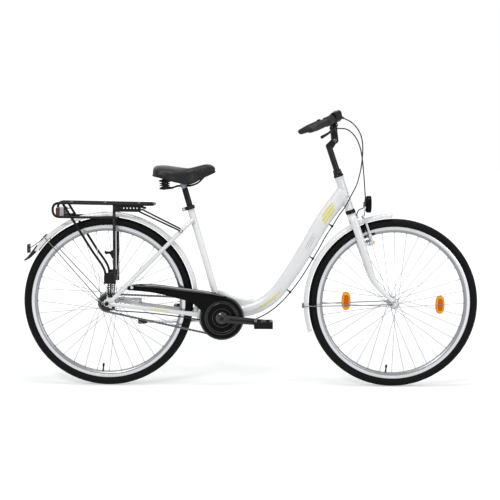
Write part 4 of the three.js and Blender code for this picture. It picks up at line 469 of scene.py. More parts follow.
def maths(tree, operation, *feeds):
    return node(tree, "ShaderNodeMath", *feeds, operation=operation).outputs[0]


def noise(tree, where, scale, detail, roughness=0.5):
    made = node(tree, "ShaderNodeTexNoise", Vector=where, Scale=scale, Detail=detail, Roughness=roughness)
    return made.outputs["Fac"]


def ramp(tree, source, stops):
    made = node(tree, "ShaderNodeValToRGB", source)
    while len(made.color_ramp.elements) < len(stops):
        made.color_ramp.elements.new(0.5)
    for element, (at, colour) in zip(made.color_ramp.elements, stops):
        element.position, element.color = at, (*colour, 1)
    return made.outputs[0]


def spread(tree, source, low, high, a=0.3, b=0.7):
    """Maps a to low and b to high, and holds both ends."""
    made = node(tree, "ShaderNodeMapRange", Value=source, From_Min=a, From_Max=b, To_Min=low, To_Max=high)
    return made.outputs["Result"]


def covered(tree, mask, base, tone):
    """A tone over a colour, where the mask lets it show."""
    mix = node(tree, "ShaderNodeMix", mask, data_type="RGBA")
    feed(tree, base, mix.inputs[6])
    feed(tree, (*tone, 1), mix.inputs[7])
    return mix.outputs[2]


def tinted(colour, factor):
    return tuple(min(1.0, max(0.0, c * factor)) for c in colour)


def empty_tree(owner):
    owner.use_nodes = True
    owner.node_tree.nodes.clear()
    return owner.node_tree


def surface(name, colour, rough, metal=0.0, vary=0.08, cloud=14, rough_vary=0.06, grain=700, bump=0.04,
            depth=0.0004, dirt=None, edge=None, coat=0.0, cells=None, weave=None, **sockets):
    """A procedural finish: clouded colour, uneven gloss, fine relief, dirt in patches and worn edges."""
    look = bpy.data.materials.new(name)
    t = empty_tree(look)
    where = node(t, "ShaderNodeTexCoord").outputs["Object"]
    base = ramp(t, noise(t, where, cloud, 5.0, 0.6),
                [(0.3, tinted(colour, 1 - vary)), (0.5, colour), (0.72, tinted(colour, 1 + vary))])
    if dirt:
        tone, amount = dirt
        base = covered(t, spread(t, noise(t, where, cloud * 3.1, 8.0, 0.7), 0.0, amount, 0.5, 0.78), base, tone)
    if edge:
        tone, amount = edge
        pointed = spread(t, node(t, "ShaderNodeNewGeometry").outputs["Pointiness"], 0.0, amount, 0.53, 0.62)
        rubbed = spread(t, noise(t, where, 160.0, 4.0), 0.0, 1.0, 0.42, 0.6)
        base = covered(t, maths(t, "MULTIPLY", pointed, rubbed), base, tone)
    gloss = spread(t, noise(t, where, cloud * 2.3, 6.0, 0.65), max(0.02, rough - rough_vary),
                   min(1.0, rough + rough_vary))
    height = noise(t, where, grain, 3.0, 0.55)
    if cells:
        scale, share = cells
        grid = node(t, "ShaderNodeTexVoronoi", Vector=where, Scale=scale, feature="DISTANCE_TO_EDGE")
        height = maths(t, "MULTIPLY_ADD", spread(t, grid.outputs["Distance"], 0.0, share, 0.0, 0.16), 1.0, height)
    if weave:
        scale, share, direction = weave
        lines = node(t, "ShaderNodeTexWave", Vector=where, Scale=scale, Distortion=0.4, bands_direction=direction)
        height = maths(t, "MULTIPLY_ADD", lines.outputs["Fac"], share, height)
    relief = node(t, "ShaderNodeBump", Height=height, Strength=bump, Distance=depth)
    if coat:
        sockets = dict(sockets, Coat_Weight=coat, Coat_Roughness=0.06)
    shader = node(t, "ShaderNodeBsdfPrincipled", Base_Color=base, Roughness=gloss, Metallic=metal,
                  Normal=relief.outputs[0], **sockets)
    node(t, "ShaderNodeOutputMaterial", shader.outputs[0])
    return look


white = surface("white_gloss_paint", (0.80, 0.805, 0.81), 0.24, vary=0.025, cloud=9, grain=420, bump=0.05, coat=0.7,
                dirt=((0.62, 0.60, 0.56), 0.10), edge=((0.93, 0.93, 0.93), 0.4))
yellow = surface("yellow_stripe_paint", (0.74, 0.69, 0.14), 0.28, vary=0.05, grain=500, bump=0.05, coat=0.3)
grey_line = surface("grey_stripe_paint", (0.30, 0.31, 0.33), 0.28, vary=0.05, grain=500, bump=0.05, coat=0.5)
black_gloss = surface("black_gloss_paint", (0.003, 0.003, 0.0034), 0.22, vary=0.2, grain=520, bump=0.05, coat=0.10,
                      edge=((0.04, 0.04, 0.045), 0.6), Specular_IOR_Level=0.16)
forged_black = surface("black_forged_crank", (0.004, 0.004, 0.0044), 0.2, vary=0.2, grain=520, bump=0.05, coat=0.10,
                       edge=((0.05, 0.05, 0.055), 0.6), Specular_IOR_Level=0.40)
powder = surface("black_powder_coat", (0.006, 0.0062, 0.0066), 0.34, vary=0.18, grain=1500, bump=0.16, depth=0.0003,
                 edge=((0.07, 0.07, 0.075), 0.6), dirt=((0.02, 0.0195, 0.0185), 0.25), Specular_IOR_Level=0.14)
guard_black = surface("glossy_black_guard", (0.0015, 0.0015, 0.0016), 0.13, vary=0.25, cloud=18, grain=260, bump=0.035,
                      dirt=((0.006, 0.0058, 0.0056), 0.25), Specular_IOR_Level=0.07)
# A lighter, shinier copy of the guard's black: it paints a highlight on the guard's top lip and rings, and on the
# chainring cover's rings.
guard_highlight_copy = surface("guard_black_painted_highlight", (0.012, 0.012, 0.0125), 0.17, vary=0.2, cloud=22, grain=600, bump=0.05,
                      dirt=((0.03, 0.029, 0.027), 0.3), Specular_IOR_Level=0.65)
plastic = surface("moulded_black_plastic", (0.0045, 0.0045, 0.0048), 0.42, vary=0.15, grain=2400, bump=0.22,
                  depth=0.00025, edge=((0.03, 0.03, 0.032), 0.7), Specular_IOR_Level=0.13)
rubber = surface("black_rubber", (0.007, 0.0068, 0.0066), 0.55, vary=0.18, grain=1600, bump=0.3, depth=0.0003,
                 dirt=((0.03, 0.028, 0.025), 0.25), edge=((0.03, 0.029, 0.028), 0.6), Specular_IOR_Level=0.30)
tyre_black = surface("tyre_rubber", (0.004, 0.004, 0.0042), 0.62, vary=0.2, cloud=20, grain=1200, bump=0.28,
                     depth=0.0004, dirt=((0.022, 0.020, 0.018), 0.3), Specular_IOR_Level=0.10)
steel = surface("bright_zinc_steel", (0.52, 0.53, 0.55), 0.27, 1.0, vary=0.08, grain=900, bump=0.06, rough_vary=0.08,
                dirt=((0.30, 0.28, 0.25), 0.35))
chrome = surface("spoke_chrome", (0.30, 0.305, 0.32), 0.18, 1.0, vary=0.05, grain=900, bump=0.03)
alloy = surface("brushed_rim_alloy", (0.27, 0.275, 0.285), 0.30, 1.0, vary=0.05, cloud=12, grain=420, bump=0.05,
                dirt=((0.16, 0.155, 0.15), 0.2))
track = surface("machined_brake_track", (0.60, 0.61, 0.63), 0.26, 1.0, vary=0.04, grain=1400, bump=0.12, depth=0.0002,
                dirt=((0.36, 0.35, 0.34), 0.22))
cast = surface("cast_alloy", (0.50, 0.51, 0.53), 0.38, 0.9, vary=0.08, grain=1100, bump=0.18, depth=0.0003,
               dirt=((0.25, 0.24, 0.23), 0.3))
dark_steel = surface("oiled_chain_steel", (0.11, 0.108, 0.106), 0.36, 0.9, vary=0.2, cloud=60, grain=1500, bump=0.12,
                     dirt=((0.03, 0.028, 0.026), 0.7))
black_steel = surface("blackened_cog_steel", (0.028, 0.028, 0.029), 0.4, 0.8, vary=0.2, cloud=60, grain=1500, bump=0.12,
                      dirt=((0.012, 0.011, 0.010), 0.6))
stay_wire = surface("weathered_stay_wire", (0.17, 0.172, 0.178), 0.34, 0.9, vary=0.15, cloud=40, grain=1200, bump=0.08,
                    dirt=((0.07, 0.065, 0.06), 0.4))
housing_black = surface("cable_housing", (0.012, 0.012, 0.013), 0.34, vary=0.1, grain=1300, bump=0.08,
                        dirt=((0.04, 0.04, 0.04), 0.2), Specular_IOR_Level=0.25)
vinyl = surface("saddle_vinyl", (0.0036, 0.0035, 0.0034), 0.30, vary=0.15, cloud=10, rough_vary=0.07, grain=900,
                bump=0.30, depth=0.00045, cells=(560, 0.9), edge=((0.02, 0.0195, 0.019), 0.3),
                dirt=((0.016, 0.0155, 0.015), 0.25), Specular_IOR_Level=0.20, Sheen_Weight=0.02, Sheen_Roughness=0.5,
                Coat_Weight=0.12, Coat_Roughness=0.34)
# Both amber finishes glow a little, though reflectors are no lamp: a painted glow.
amber = surface("amber_reflector", (0.60, 0.12, 0.001), 0.12, vary=0.14, cloud=90, grain=900, bump=0.5, depth=0.0006,
                cells=(420, 1.4), coat=0.1, Specular_IOR_Level=0.12, Emission_Color=(0.9, 0.20, 0.0, 1),
                Emission_Strength=0.07)
amber_edge = surface("amber_edge_painted_glow", (0.84, 0.42, 0.002), 0.16, vary=0.08, cloud=60, grain=900, bump=0.2, coat=0.1,
                     Specular_IOR_Level=0.15, Emission_Color=(1.0, 0.45, 0.0, 1), Emission_Strength=0.08)
# The red lens glows a little, though the reflector is no lamp: a painted glow.
red = surface("red_lens", (0.085, 0.004, 0.005), 0.12, vary=0.18, cloud=60, grain=900, bump=0.5, depth=0.0006,
              cells=(420, 1.4), coat=0.25, Emission_Color=(0.4, 0.0, 0.0, 1), Emission_Strength=0.02)
clear = surface("clear_lens", (0.80, 0.82, 0.84), 0.10, vary=0.03, grain=500, bump=0.25, depth=0.0005, coat=0.6,
                weave=(150, 2.2, "Y"), Transmission_Weight=0.55)
mirror = surface("reflector_bowl", (0.80, 0.81, 0.83), 0.14, 1.0, vary=0.04, grain=600, bump=0.10)
brass = surface("brass_bolt", (0.55, 0.36, 0.12), 0.34, 1.0, vary=0.12, grain=900, bump=0.08,
                dirt=((0.2, 0.12, 0.05), 0.4))
grey_plastic = surface("grey_plastic", (0.16, 0.165, 0.17), 0.42, vary=0.1, grain=2000, bump=0.2, depth=0.0003,
                       dirt=((0.05, 0.05, 0.05), 0.4), edge=((0.28, 0.28, 0.29), 0.6))
pale_plastic = surface("pale_lamp_housing", (0.50, 0.51, 0.52), 0.34, vary=0.06, grain=1800, bump=0.16, depth=0.0003,
                       dirt=((0.28, 0.27, 0.26), 0.35), edge=((0.62, 0.62, 0.63), 0.5))
blue_steel = surface("blued_clamp_steel", (0.20, 0.225, 0.26), 0.34, 0.85, vary=0.12, grain=900, bump=0.1,
                     dirt=((0.08, 0.08, 0.085), 0.5))


# ---------------------------------------------------------------- camera, light and floor

scene = bpy.context.scene


def set_camera():
    """A long lens near the photo's place, in metres, looking a little down."""
    camera_data = bpy.data.cameras.new("camera")
    camera = bpy.data.objects.new("camera", camera_data)
    scene.collection.objects.link(camera)
    SENSOR, FOCAL_PIXELS, PICTURE_PIXELS = 36, 1097, 500
    camera_data.sensor_width = SENSOR
    camera_data.lens = SENSOR * FOCAL_PIXELS / PICTURE_PIXELS
    camera_data.clip_end = 100
    camera.location = (-0.035, -4.5, 1.0)
    TURN, TILT, ROLL = (math.radians(angle) for angle in (-0.37, 90 - 5.52, 0.4))
    turned_to = Matrix.Rotation(TURN, 3, "Z") @ Matrix.Rotation(TILT, 3, "X") @ Matrix.Rotation(ROLL, 3, "Z")
    camera.rotation_euler = turned_to.to_euler()
    scene.camera = camera


set_camera()


def area_lamp(name, place, target, size, power):
    data = bpy.data.lights.new(name, "AREA")
    data.shape, data.size, data.size_y, data.energy = "RECTANGLE", size[0], size[1], power
    lamp = bpy.data.objects.new(name, data)
    lamp.location = place
    lamp.rotation_euler = (Vector(target) - Vector(place)).to_track_quat("-Z", "Y").to_euler()
    scene.collection.objects.link(lamp)


area_lamp("key", (-1.8, -3.6, 3.6), (0, 0, 0.5), (1.5, 0.8), 76)
area_lamp("fill", (2.8, -3.0, 1.6), (0, 0, 0.6), (0.9, 1.8), 26)
area_lamp("top", (0.2, -0.5, 3.6), (0, 0, 0.3), (3.2, 0.7), 46)


def studio_world():
    """White to the camera and to reflections, and a dimmer cool light for everything else."""
    world = bpy.data.worlds.new("studio")
    scene.world = world
    t = empty_tree(world)
    ray = node(t, "ShaderNodeLightPath").outputs
    bounced = maths(t, "MAXIMUM", ray["Is Glossy Ray"], ray["Is Transmission Ray"])
    seen = maths(t, "MAXIMUM", ray["Is Camera Ray"], bounced)
    ambient = node(t, "ShaderNodeBackground", Color=(0.96, 0.98, 1.0, 1), Strength=0.38)
    shown = node(t, "ShaderNodeBackground", Color=(1, 1, 1, 1), Strength=1.0)
    mixed = node(t, "ShaderNodeMixShader", seen, ambient.outputs[0], shown.outputs[0])
    node(t, "ShaderNodeOutputWorld", mixed.outputs[0])
    scene.view_settings.view_transform = "Standard"


def floor_look():
    """A pale matt floor that glows white away from the bicycle, so that only its own shadow is left."""
    look = bpy.data.materials.new("pale_floor")
    t = empty_tree(look)
    where = node(t, "ShaderNodeTexCoord").outputs["Object"]
    pale = ramp(t, noise(t, where, 3.0, 6.0), [(0.3, (0.86, 0.86, 0.86)), (0.7, (0.88, 0.88, 0.88))])
    matte = node(t, "ShaderNodeBsdfDiffuse", Color=pale)
    away = node(t, "ShaderNodeVectorMath", where, operation="LENGTH")
    glow = node(t, "ShaderNodeEmission", Strength=spread(t, away.outputs["Value"], 0.40, 0.80, 1.0, 3.6))
    dark = node(t, "ShaderNodeEmission", Strength=0.0)
    ray = node(t, "ShaderNodeLightPath").outputs
    direct = maths(t, "MAXIMUM", ray["Is Camera Ray"], ray["Is Glossy Ray"])
    lit = node(t, "ShaderNodeMixShader", direct, dark.outputs[0], glow.outputs[0])
    both = node(t, "ShaderNodeAddShader", matte.outputs[0], lit.outputs[0])
    node(t, "ShaderNodeOutputMaterial", both.outputs[0])
    return look


studio_world()


def lay_floor():
    """A wide floor just below the tyres."""
    floor_mesh = bpy.data.meshes.new("floor")
    bm = bmesh.new()
    bmesh.ops.create_grid(bm, x_segments=8, y_segments=8, size=40)
    bm.to_mesh(floor_mesh)
    bm.free()
    floor_mesh.materials.append(floor_look())
    floor = bpy.data.objects.new("floor", floor_mesh)
    floor.location.z = -0.0006
    scene.collection.objects.link(floor)


lay_floor()


# ---------------------------------------------------------------- wheels

TYRE_HALF = [(314.4, 9.3), (318, 9.6), (320.5, 12), (324, 15.6), (328, 18.1), (332, 18.9), (336, 18.5), (339, 17.2),
             (340.2, 16.6), (340.4, 15.2), (343, 13.6), (345.6, 10.9), (346.2, 9.8), (345.2, 9.2), (345.4, 8.0),
             (347.5, 6.6), (348.4, 4.6), (348.6, 3.4), (347.2, 2.9), (347.2, 2.2), (348.8, 1.6), (349, 0)]
RIM_HALF = [(293, 0), (293, 7.2), (294.2, 9.2), (300.4, 11.6), (301.4, 12), (304, 12), (304.3, 11.7), (304.6, 12),
            (315.6, 12), (317, 11.4), (317, 10.4), (315.2, 10), (302, 9.6), (300, 7)]
RIM_INSIDE, SPOKES = 293, 36


def tread_cut(i, r, y):
    """How deep the tread is cut at the tyre's i-th ring: blocks on the shoulders, and nicks beside the middle."""
    shift = i + (3 if y > 0 else 0)
    shoulder = 6.2 < abs(y) < 16.9 and r > 340 and shift % 6 == 0
    middle = 3.2 < abs(y) < 7 and shift % 12 == 5
    return (1.5 if shoulder else 0) + (1.2 if middle else 0)


def tyre(name, axle, body, replaced):
    steps = 480
    rings = [[polar(axle, r - tread_cut(i, r, y), 360 * i / steps, y) for r, y in mirrored(TYRE_HALF)]
             for i in range(steps)]
    return piece(name, Shape().loft(rings, closed=True), tyre_black, body, replaced, sharp=50)


def rim(name, axle, body, replaced):
    steps = 288
    profile = mirrored(RIM_HALF)
    track_from, track_out = 303.5, 11.4
    looks = [1 if min(r0, r1) > track_from and min(abs(y0), abs(y1)) > track_out else 0
             for (r0, y0), (r1, y1) in zip(profile, profile[1:] + profile[:1])]
    shape = Shape().loft([[polar(axle, r, 360 * i / steps, y) for r, y in profile] for i in range(steps)],
                         closed=True, looks=looks)
    for i in range(SPOKES):
        p = polar(axle, RIM_INSIDE - 0.2, 360 / SPOKES * i)
        shape.lathe([(0, 0.4), (2.6, 0.4), (3.6, 0), (3.6, -1.0), (0, -1.0)], p, p - axle, 16)
    return piece(name, shape, [alloy, track], body, replaced)


def spokes(name, axle, flange, right, left, body, replaced):
    """Four sets of nine spokes, which lead or trail, inside or outside a flange of the hub."""
    within, outside, lead = 2.8, 3.8, 60
    shape = Shape()
    sets = ((-lead, -right - outside, 1), (-lead, left + outside, 1),
            (lead, -right + within, -1), (lead, left - within, -1))
    for k, (turn, y, way) in enumerate(sets):
        inward = V(0, -way * math.copysign(1, y), 0)
        for angle in range(10 * k, 360 + 10 * k, 40):
            foot, tip = polar(axle, flange - 4, angle + turn, y), polar(axle, RIM_INSIDE - 0.7, angle, 0)
            d = unit(tip - foot)
            elbow = [foot + inward * 5.2, foot + inward * 1.6, foot + d * 1.6, foot + d * 6]
            shape.tube(rounded(elbow, 2, 3) + [tip - d * 10], 0.95, 8)
            shape.rod(foot + inward * 4.6, foot + inward * 6.0, 2.1, sides=12, bevel=0.5)
            shape.lathe([(0, 0), (1.5, 0), (1.75, 0.7), (1.75, 9), (3.0, 10), (3.0, 11.2), (0, 11.2)],
                        tip - d * 11, d, 10, 1)
    return piece(name, shape, [chrome, steel], body, replaced)


def valve(name, axle, angle, body):
    out = polar(V(0, 0, 0), 1, angle)
    shape = Shape()
    shape.lathe([(0, 0), (5.2, 0), (5.2, 1.2), (4.1, 2.4), (3.4, 3), (3.1, 14), (0, 14)],
                axle + out * (RIM_INSIDE + 0.5), -out, 24, 1)
    shape.lathe([(0, 0), (2.9, 0), (2.9, 15), (2.6, 17), (0, 17)], axle + out * 283, -out, 20, 1)
    shape.lathe([(0, 0), (4, 0), (4.3, 1), (4.1, 11), (3.1, 13), (0, 13.4)], axle + out * 274, -out, 20, 0)
    _, side, across = frame_of(out)
    for s, c in circle(4.2, 14):
        p = axle + out * 273 + side * s + across * c
        shape.rod(p, p - out * 9, 0.35, sides=6, bevel=0.1)
    return piece(name, shape, [plastic, rubber], body)


def front_hub():
    half = [(5.4, -42), (8.6, -42), (9.4, -41), (9.6, -38), (13.5, -36.2), (20.4, -34.6), (21, -34), (21, -32),
            (20.4, -31.4), (14.6, -30.2), (12.4, -27), (11.4, -18), (11.2, 0)]
    shape = Shape().lathe(mirrored(half), FRONT, Y, 72)
    return piece("front_hub", shape, cast, "front_wheel", "front_hub_shell")


def rear_hub():
    profile = [(5.4, -33), (14, -33), (22, -32), (29, -29.2), (37, -28), (38, -27.2), (38, -24.8), (37.2, -24.2),
               (31.4, -23), (30.6, -20), (30.2, -6), (30.8, -4), (30.8, 10), (30.2, 12), (30.6, 24), (31.4, 27.4),
               (37.2, 28.4), (38, 29), (38, 31), (37, 31.8), (30, 33.6), (24, 36), (20, 40), (17, 42), (5.4, 42)]
    shape = Shape().lathe(profile, REAR, Y, 96)
    shape.lathe([(30.9, -1.2), (31.8, -0.8), (31.8, 7.2), (30.9, 7.6)], REAR, Y, 72, 1)
    shape.rod(polar(REAR, 30.5, 40, 3), polar(REAR, 33.2, 40, 3), 2.6, sides=16, look=1)
    return piece("rear_hub", shape, [cast, plastic], "rear_wheel", "rear_hub_shell")


def wheel_reflector(name, angle, replaced):
    centre = polar(FRONT, 195, angle)

    def around(line):
        return [(centre[0] + x, centre[2] + z) for x, z in line]
    rim_line = around(oval(18.5, 37.5, 48, 2.5))
    shape = Shape().slab(rim_line, -6.6, 6.6, 3.0, 0, steps=4)
    shape.slab(inset(rim_line, 2.6), -7.2, 7.2, 0.8, 1)
    shape.slab(around(oval(11, 27, 40, 3)), -7.6, 7.6, 0.6, 0)
    for z in (-22, 22):
        shape.rod(centre + V(0, -7.4, z), centre + V(0, 7.4, z), 2.2, sides=16, look=1)
    return piece(name, shape, [amber, amber_edge], "front_wheel", replaced)


for prefix, axle in (("front", FRONT), ("rear", REAR)):
    tyre(prefix + "_tyre_treaded", axle, prefix + "_wheel", prefix + "_tyre")
    rim(prefix + "_rim_polished", axle, prefix + "_wheel", prefix + "_rim")
    valve(prefix + "_valve", axle, -95, prefix + "_wheel")
spokes("front_spokes_laced", FRONT, 21, 33, 33, "front_wheel", "front_spokes")
spokes("rear_spokes_laced", REAR, 38, 26, 30, "rear_wheel", "rear_spokes")
front_hub()
rear_hub()
wheel_reflector("front_reflector_lens_a", 178, "front_reflector_rear")
wheel_reflector("front_reflector_lens_b", -2, "front_reflector_front")


# ---------------------------------------------------------------- frame

def turned(name, look, body, replaced, slot, base, direction, *profiles):
    """A piece made of turned profiles, each with its number of sides."""
    shape = Shape()
    for profile, sides in profiles:
        shape.lathe(profile, base, direction, sides)
    return piece(name, shape, look, body, replaced)


MAIN_STEPS, MAIN_SIDE, MAIN_POWER = 110, 22, 2.25
main_shares = [(0, 0), (0.164, 0.041), (0.291, 0.078), (0.427, 0.167), (0.563, 0.341), (0.684, 0.527), (0.836, 0.783),
               (1, 1)]
main_top = on_fork(0, 0, 500)
main_path = spline([V(lerp(CRANK[0], main_top[0], a), 0, lerp(CRANK[2], main_top[2], u)) for a, u in main_shares],
                   MAIN_STEPS)
gusset = [(0.1, 0.1), (1.04, 0.36), (1, 0.64), (0.72, 0.65), (0.5, 0.69), (0.3, 0.76), (0.12, 0.87), (-0.02, 1),
          (-0.16, 1)]
gusset_line = [(CRANK[0] + a * 136, CRANK[2] + u * 112) for a, u in gusset]


def main_height(share):
    return 26 + 7 * share


def main_tube():
    """The low curved tube, its gusset at the crank and the head tube, in one skin."""
    front_frame = Shape()
    front_frame.sweep(main_path, lambda s: oval(MAIN_SIDE, main_height(s), 56, MAIN_POWER), Y)
    front_frame.slab(soften(gusset_line, 26, 6), -15.4, 15.4, 8, steps=5)
    front_frame.lathe([(0, 0), (18.9, 0), (19.4, 1), (19.4, 9), (18.6, 11), (18.5, 134), (19.4, 136), (19.4, 144),
                       (18.9, 145), (0, 145)], on_fork(0, 0, 423), UP, 64)
    piece("main_tube_smooth", front_frame, white, "frame", "main_tube", sharp=0, weld=1.7, smooth=7)


main_tube()


def seat_tube():
    """The seat tube, the shell for the crank and its bearing cups."""
    seat_frame = Shape()
    seat_frame.lathe([(13.05, 22), (13.05, 475), (14.1, 475), (14.3, 474.4), (14.3, 0), (13.05, 0)], CRANK, SEAT_UP, 48)
    seat_frame.lathe(bush(9.2, 20.5, -34, 34, 0.9, 0.8), CRANK, Y, 64)
    for sign in (-1, 1):
        seat_frame.lathe([(9.2, 29), (18.4, 29), (18.4, 34.6), (17.2, 35.4), (9.2, 35.4)], CRANK, Y * sign, 48, 1)
    seat_frame.bead(on_seat(21.5), SEAT_UP, 15.2, 1.7, seed=2)
    piece("seat_tube_smooth", seat_frame, [white, dark_steel], "frame", "seat_tube")


seat_tube()

STAY_X = REAR[0] + 16
DROPOUT = soften([(-603, 342), (-590, 333), (-566, 335), (-552, 343), (-552, 350), (-560, 362), (-571, 368),
                  (-573, 389), (-587, 389), (-590, 366), (-602, 360)], 7, 5)
EYELET = soften([(-603, 356), (-612, 354), (-612, 344), (-603, 342)], 4, 5)


def chain_stay_path(side):
    start = V(CRANK[0] - 10.25, side * 24, 290.3)
    return rounded([start, V(-216, side * 34.7, 300), V(STAY_X, side * 62, 345)], 46, 10)


def seat_stay_corners(side):
    top = on_seat(420)
    return [V(top[0], side * 20.2, top[2]), V(-320.2, side * 36.5, 611.2), V(STAY_X, side * 62, 357.5)]


def stays(side):
    shape = Shape()
    shape.sweep(chain_stay_path(side), lambda s: oval(7, 10 - 2 * max(0, s - 0.85) / 0.15, 32, 2.2), Y)
    corners = seat_stay_corners(side)
    shape.sweep(rounded(corners, 40, 12), lambda s: oval(8.5 - 1.8 * max(0, s - 0.9) / 0.1, 8.5, 32), Y)
    shape.slab(DROPOUT, side * 60, side * 64, 0.9, holes=[disc((-580, 381), 2.6, 20)])
    shape.slab(EYELET, side * 60, side * 64, 0.9, holes=[disc((-606.5, 349), 2.2, 16)])
    shape.bead(corners[0] * 0.97 + corners[1] * 0.03, corners[1] - corners[0], 8.9, 1.5, seed=side)
    shape.bead(chain_stay_path(side)[0] + V(-9, side, 0.5), V(-1, side * 0.12, 0.1), 8.6, 1.7, stretch=1.1,
               seed=side + 3)
    if side < 0:
        bridges_and_tab(shape)
    return shape


def bridges_and_tab(shape):
    """The two bridges behind the mudguard, and the tab that holds the chain guard."""
    for angle in (44.4, -6):
        p = polar(REAR, 377.3, angle)
        shape.rod(p - Y * 33, p + Y * 33, 5, sides=28)
        for end in (-1, 1):
            shape.bead(p + Y * end * 29.6, Y, 5.2, 1.3, seed=end)
        shape.screw(p + unit(p - REAR) * 4.4, p - REAR, 4.6, 3.4, 1)
    shape.slab(soften([(-493.5, 410), (-480, 410), (-480, 444), (-493.5, 447)], 4, 4), -57.4, -55.4, 0.5)


for side, tag in SIDES:
    piece("rear_stays_%s_smooth" % tag, stays(side), [white, steel], "frame", "rear_stays_" + tag)

turned("headset_lower_turned", black_gloss, "frame", "headset_lower_cup", "black_paint", FOOT, UP,
       ([(14.9, 408.4), (19.6, 408.4), (20.6, 409.4), (21, 411), (21, 417), (20, 418.4), (20, 420.2), (20.6, 421),
         (20.6, 422.6), (14.9, 422.6)], 64))
turned("headset_upper_turned", black_gloss, "frame", "headset_upper_cup", "black_paint", FOOT, UP,
       ([(14.9, 568.4), (20.8, 568.4), (21.1, 569.4), (21.1, 572.4), (20.2, 574.6), (18.6, 577.2), (17.8, 580),
         (17.8, 581), (18.6, 582), (18.6, 584.6), (17.4, 586), (13.3, 586), (13.3, 583), (14.9, 583)], 64),
       ([(13.4, 586.2), (16.4, 586.2), (17.2, 587), (17.2, 595.4), (16.2, 597.2), (13.4, 597.2)], 8))


def seat_collar():
    """The clamp round the seat tube's top, with its bolt."""
    collar = Shape()
    collar.lathe([(14.7, 460.6), (18.2, 460.6), (19, 461.4), (19, 474.8), (18.2, 475.6), (13.1, 475.6), (13.1, 475.2),
                  (14.7, 475.2)], CRANK, SEAT_UP, 56)
    for sign in (-1, 1):
        collar.bar(on_seat(468, 17, sign * 4), on_seat(468, 34, sign * 4), 2.4, 7, Y, 1.2)
    collar.rod(on_seat(468, 27, -10), on_seat(468, 27, 9.4), 2.8, look=1)
    collar.screw(on_seat(468, 27, 8), Y, 5, 3.8, 1)
    collar.nut(on_seat(468, 27, -6.4), -Y, 5, 4.4, 1)
    piece("seat_clamp_collar", collar, [black_gloss, steel], "frame", "seat_clamp")


seat_collar()


def painted_strip(name, place, steps, look, body="frame"):
    """A thin painted band: place(share along, share across) gives a point and the way out, on the paint below."""
    count, thick = 7, 0.25
    grid = [place(i / steps, j / (count - 1)) for i in range(steps + 1) for j in range(count)]
    corners = [i * count + j for i in range(steps) for j in range(count - 1)]
    faces = [(a, a + 1, a + count + 1, a + count) for a in corners]
    total = len(grid)
    faces += [tuple(total + v for v in reversed(f)) for f in faces]
    border = list(range(count)) + [i * count + count - 1 for i in range(1, steps + 1)] \
        + [steps * count + j for j in range(count - 2, -1, -1)] + [i * count for i in range(steps - 1, 0, -1)]
    faces += [(b, a, total + a, total + b) for a, b in zip(border, border[1:] + border[:1])]
    shape = Shape().add([p for p, n in grid] + [p - n * thick for p, n in grid], faces)
    return piece(name, shape, look, body)


def on_main(share, turn, out=0.35):
    """A point on the main tube's skin, and its outward direction; turn 0 is the side, and 90 the top."""
    i = min(int(share * MAIN_STEPS), MAIN_STEPS - 1)
    p = lerp(main_path[i], main_path[i + 1], share * MAIN_STEPS - i)
    t = unit(main_path[i + 1] - main_path[max(i - 1, 0)])
    across = np.cross(t, Y)
    h = main_height(share)
    c, s = math.cos(math.radians(turn)), math.sin(math.radians(turn))
    k = 2 / MAIN_POWER
    n = unit(Y * (c / MAIN_SIDE) + across * (s / h) + t * 1e-9)
    return p + Y * MAIN_SIDE * math.copysign(abs(c) ** k, c) + across * h * math.copysign(abs(s) ** k, s) + n * out, n


def share_at(x):
    """The share of the main tube's length at a place along X."""
    return min(range(MAIN_STEPS + 1), key=lambda i: abs(main_path[i][0] - x)) / MAIN_STEPS


def main_band(name, x_from, x_to, turn, width, look, sign, fade=0.25):
    a, b = share_at(x_from), share_at(x_to)

    def place(along, across):
        wide = width * min(1, min(along, 1 - along) / fade + 0.04)
        t = turn + (across - 0.5) * wide
        return on_main(a + (b - a) * along, 180 - t if sign < 0 else t)
    return painted_strip(name, place, 48, look)


def stay_band(name, side):
    line = even_path(chain_stay_path(side), 4)
    span = [k for k, point in enumerate(line) if -412 < point[0] < -338]

    def place(along, across):
        k = span[0] + int(round(along * (len(span) - 1)))
        rise = unit(np.cross(unit(line[min(k + 1, len(line) - 1)] - line[k - 1]), Y))
        rise = rise if rise[2] > 0 else -rise
        lean = math.radians((across - 0.5) * 26 + 4)
        out, up = Y * side * math.cos(lean), rise * math.sin(lean)
        return line[k] + out * 7.35 + up * 10.35, unit(out + up)
    return painted_strip(name, place, len(span) - 1, yellow)


for sign, tag in SIDES:
    main_band("accent_low_" + tag, 14, 126, -8, 13, yellow, sign, 0.3)
    for i, (turn, first, last) in enumerate([(-17, 288, 334), (3, 292, 338), (23, 296, 342)]):
        main_band("accent_bar_%s_%d" % (tag, i), first, last, turn, 13, yellow, sign, 0.1)
    for i, turn in enumerate((-9, 3, 15)):
        main_band("accent_fine_%s_%d" % (tag, i), 224, 262, turn, 2.6, grey_line, sign, 0.3)
    stay_band("accent_stay_" + tag, sign)

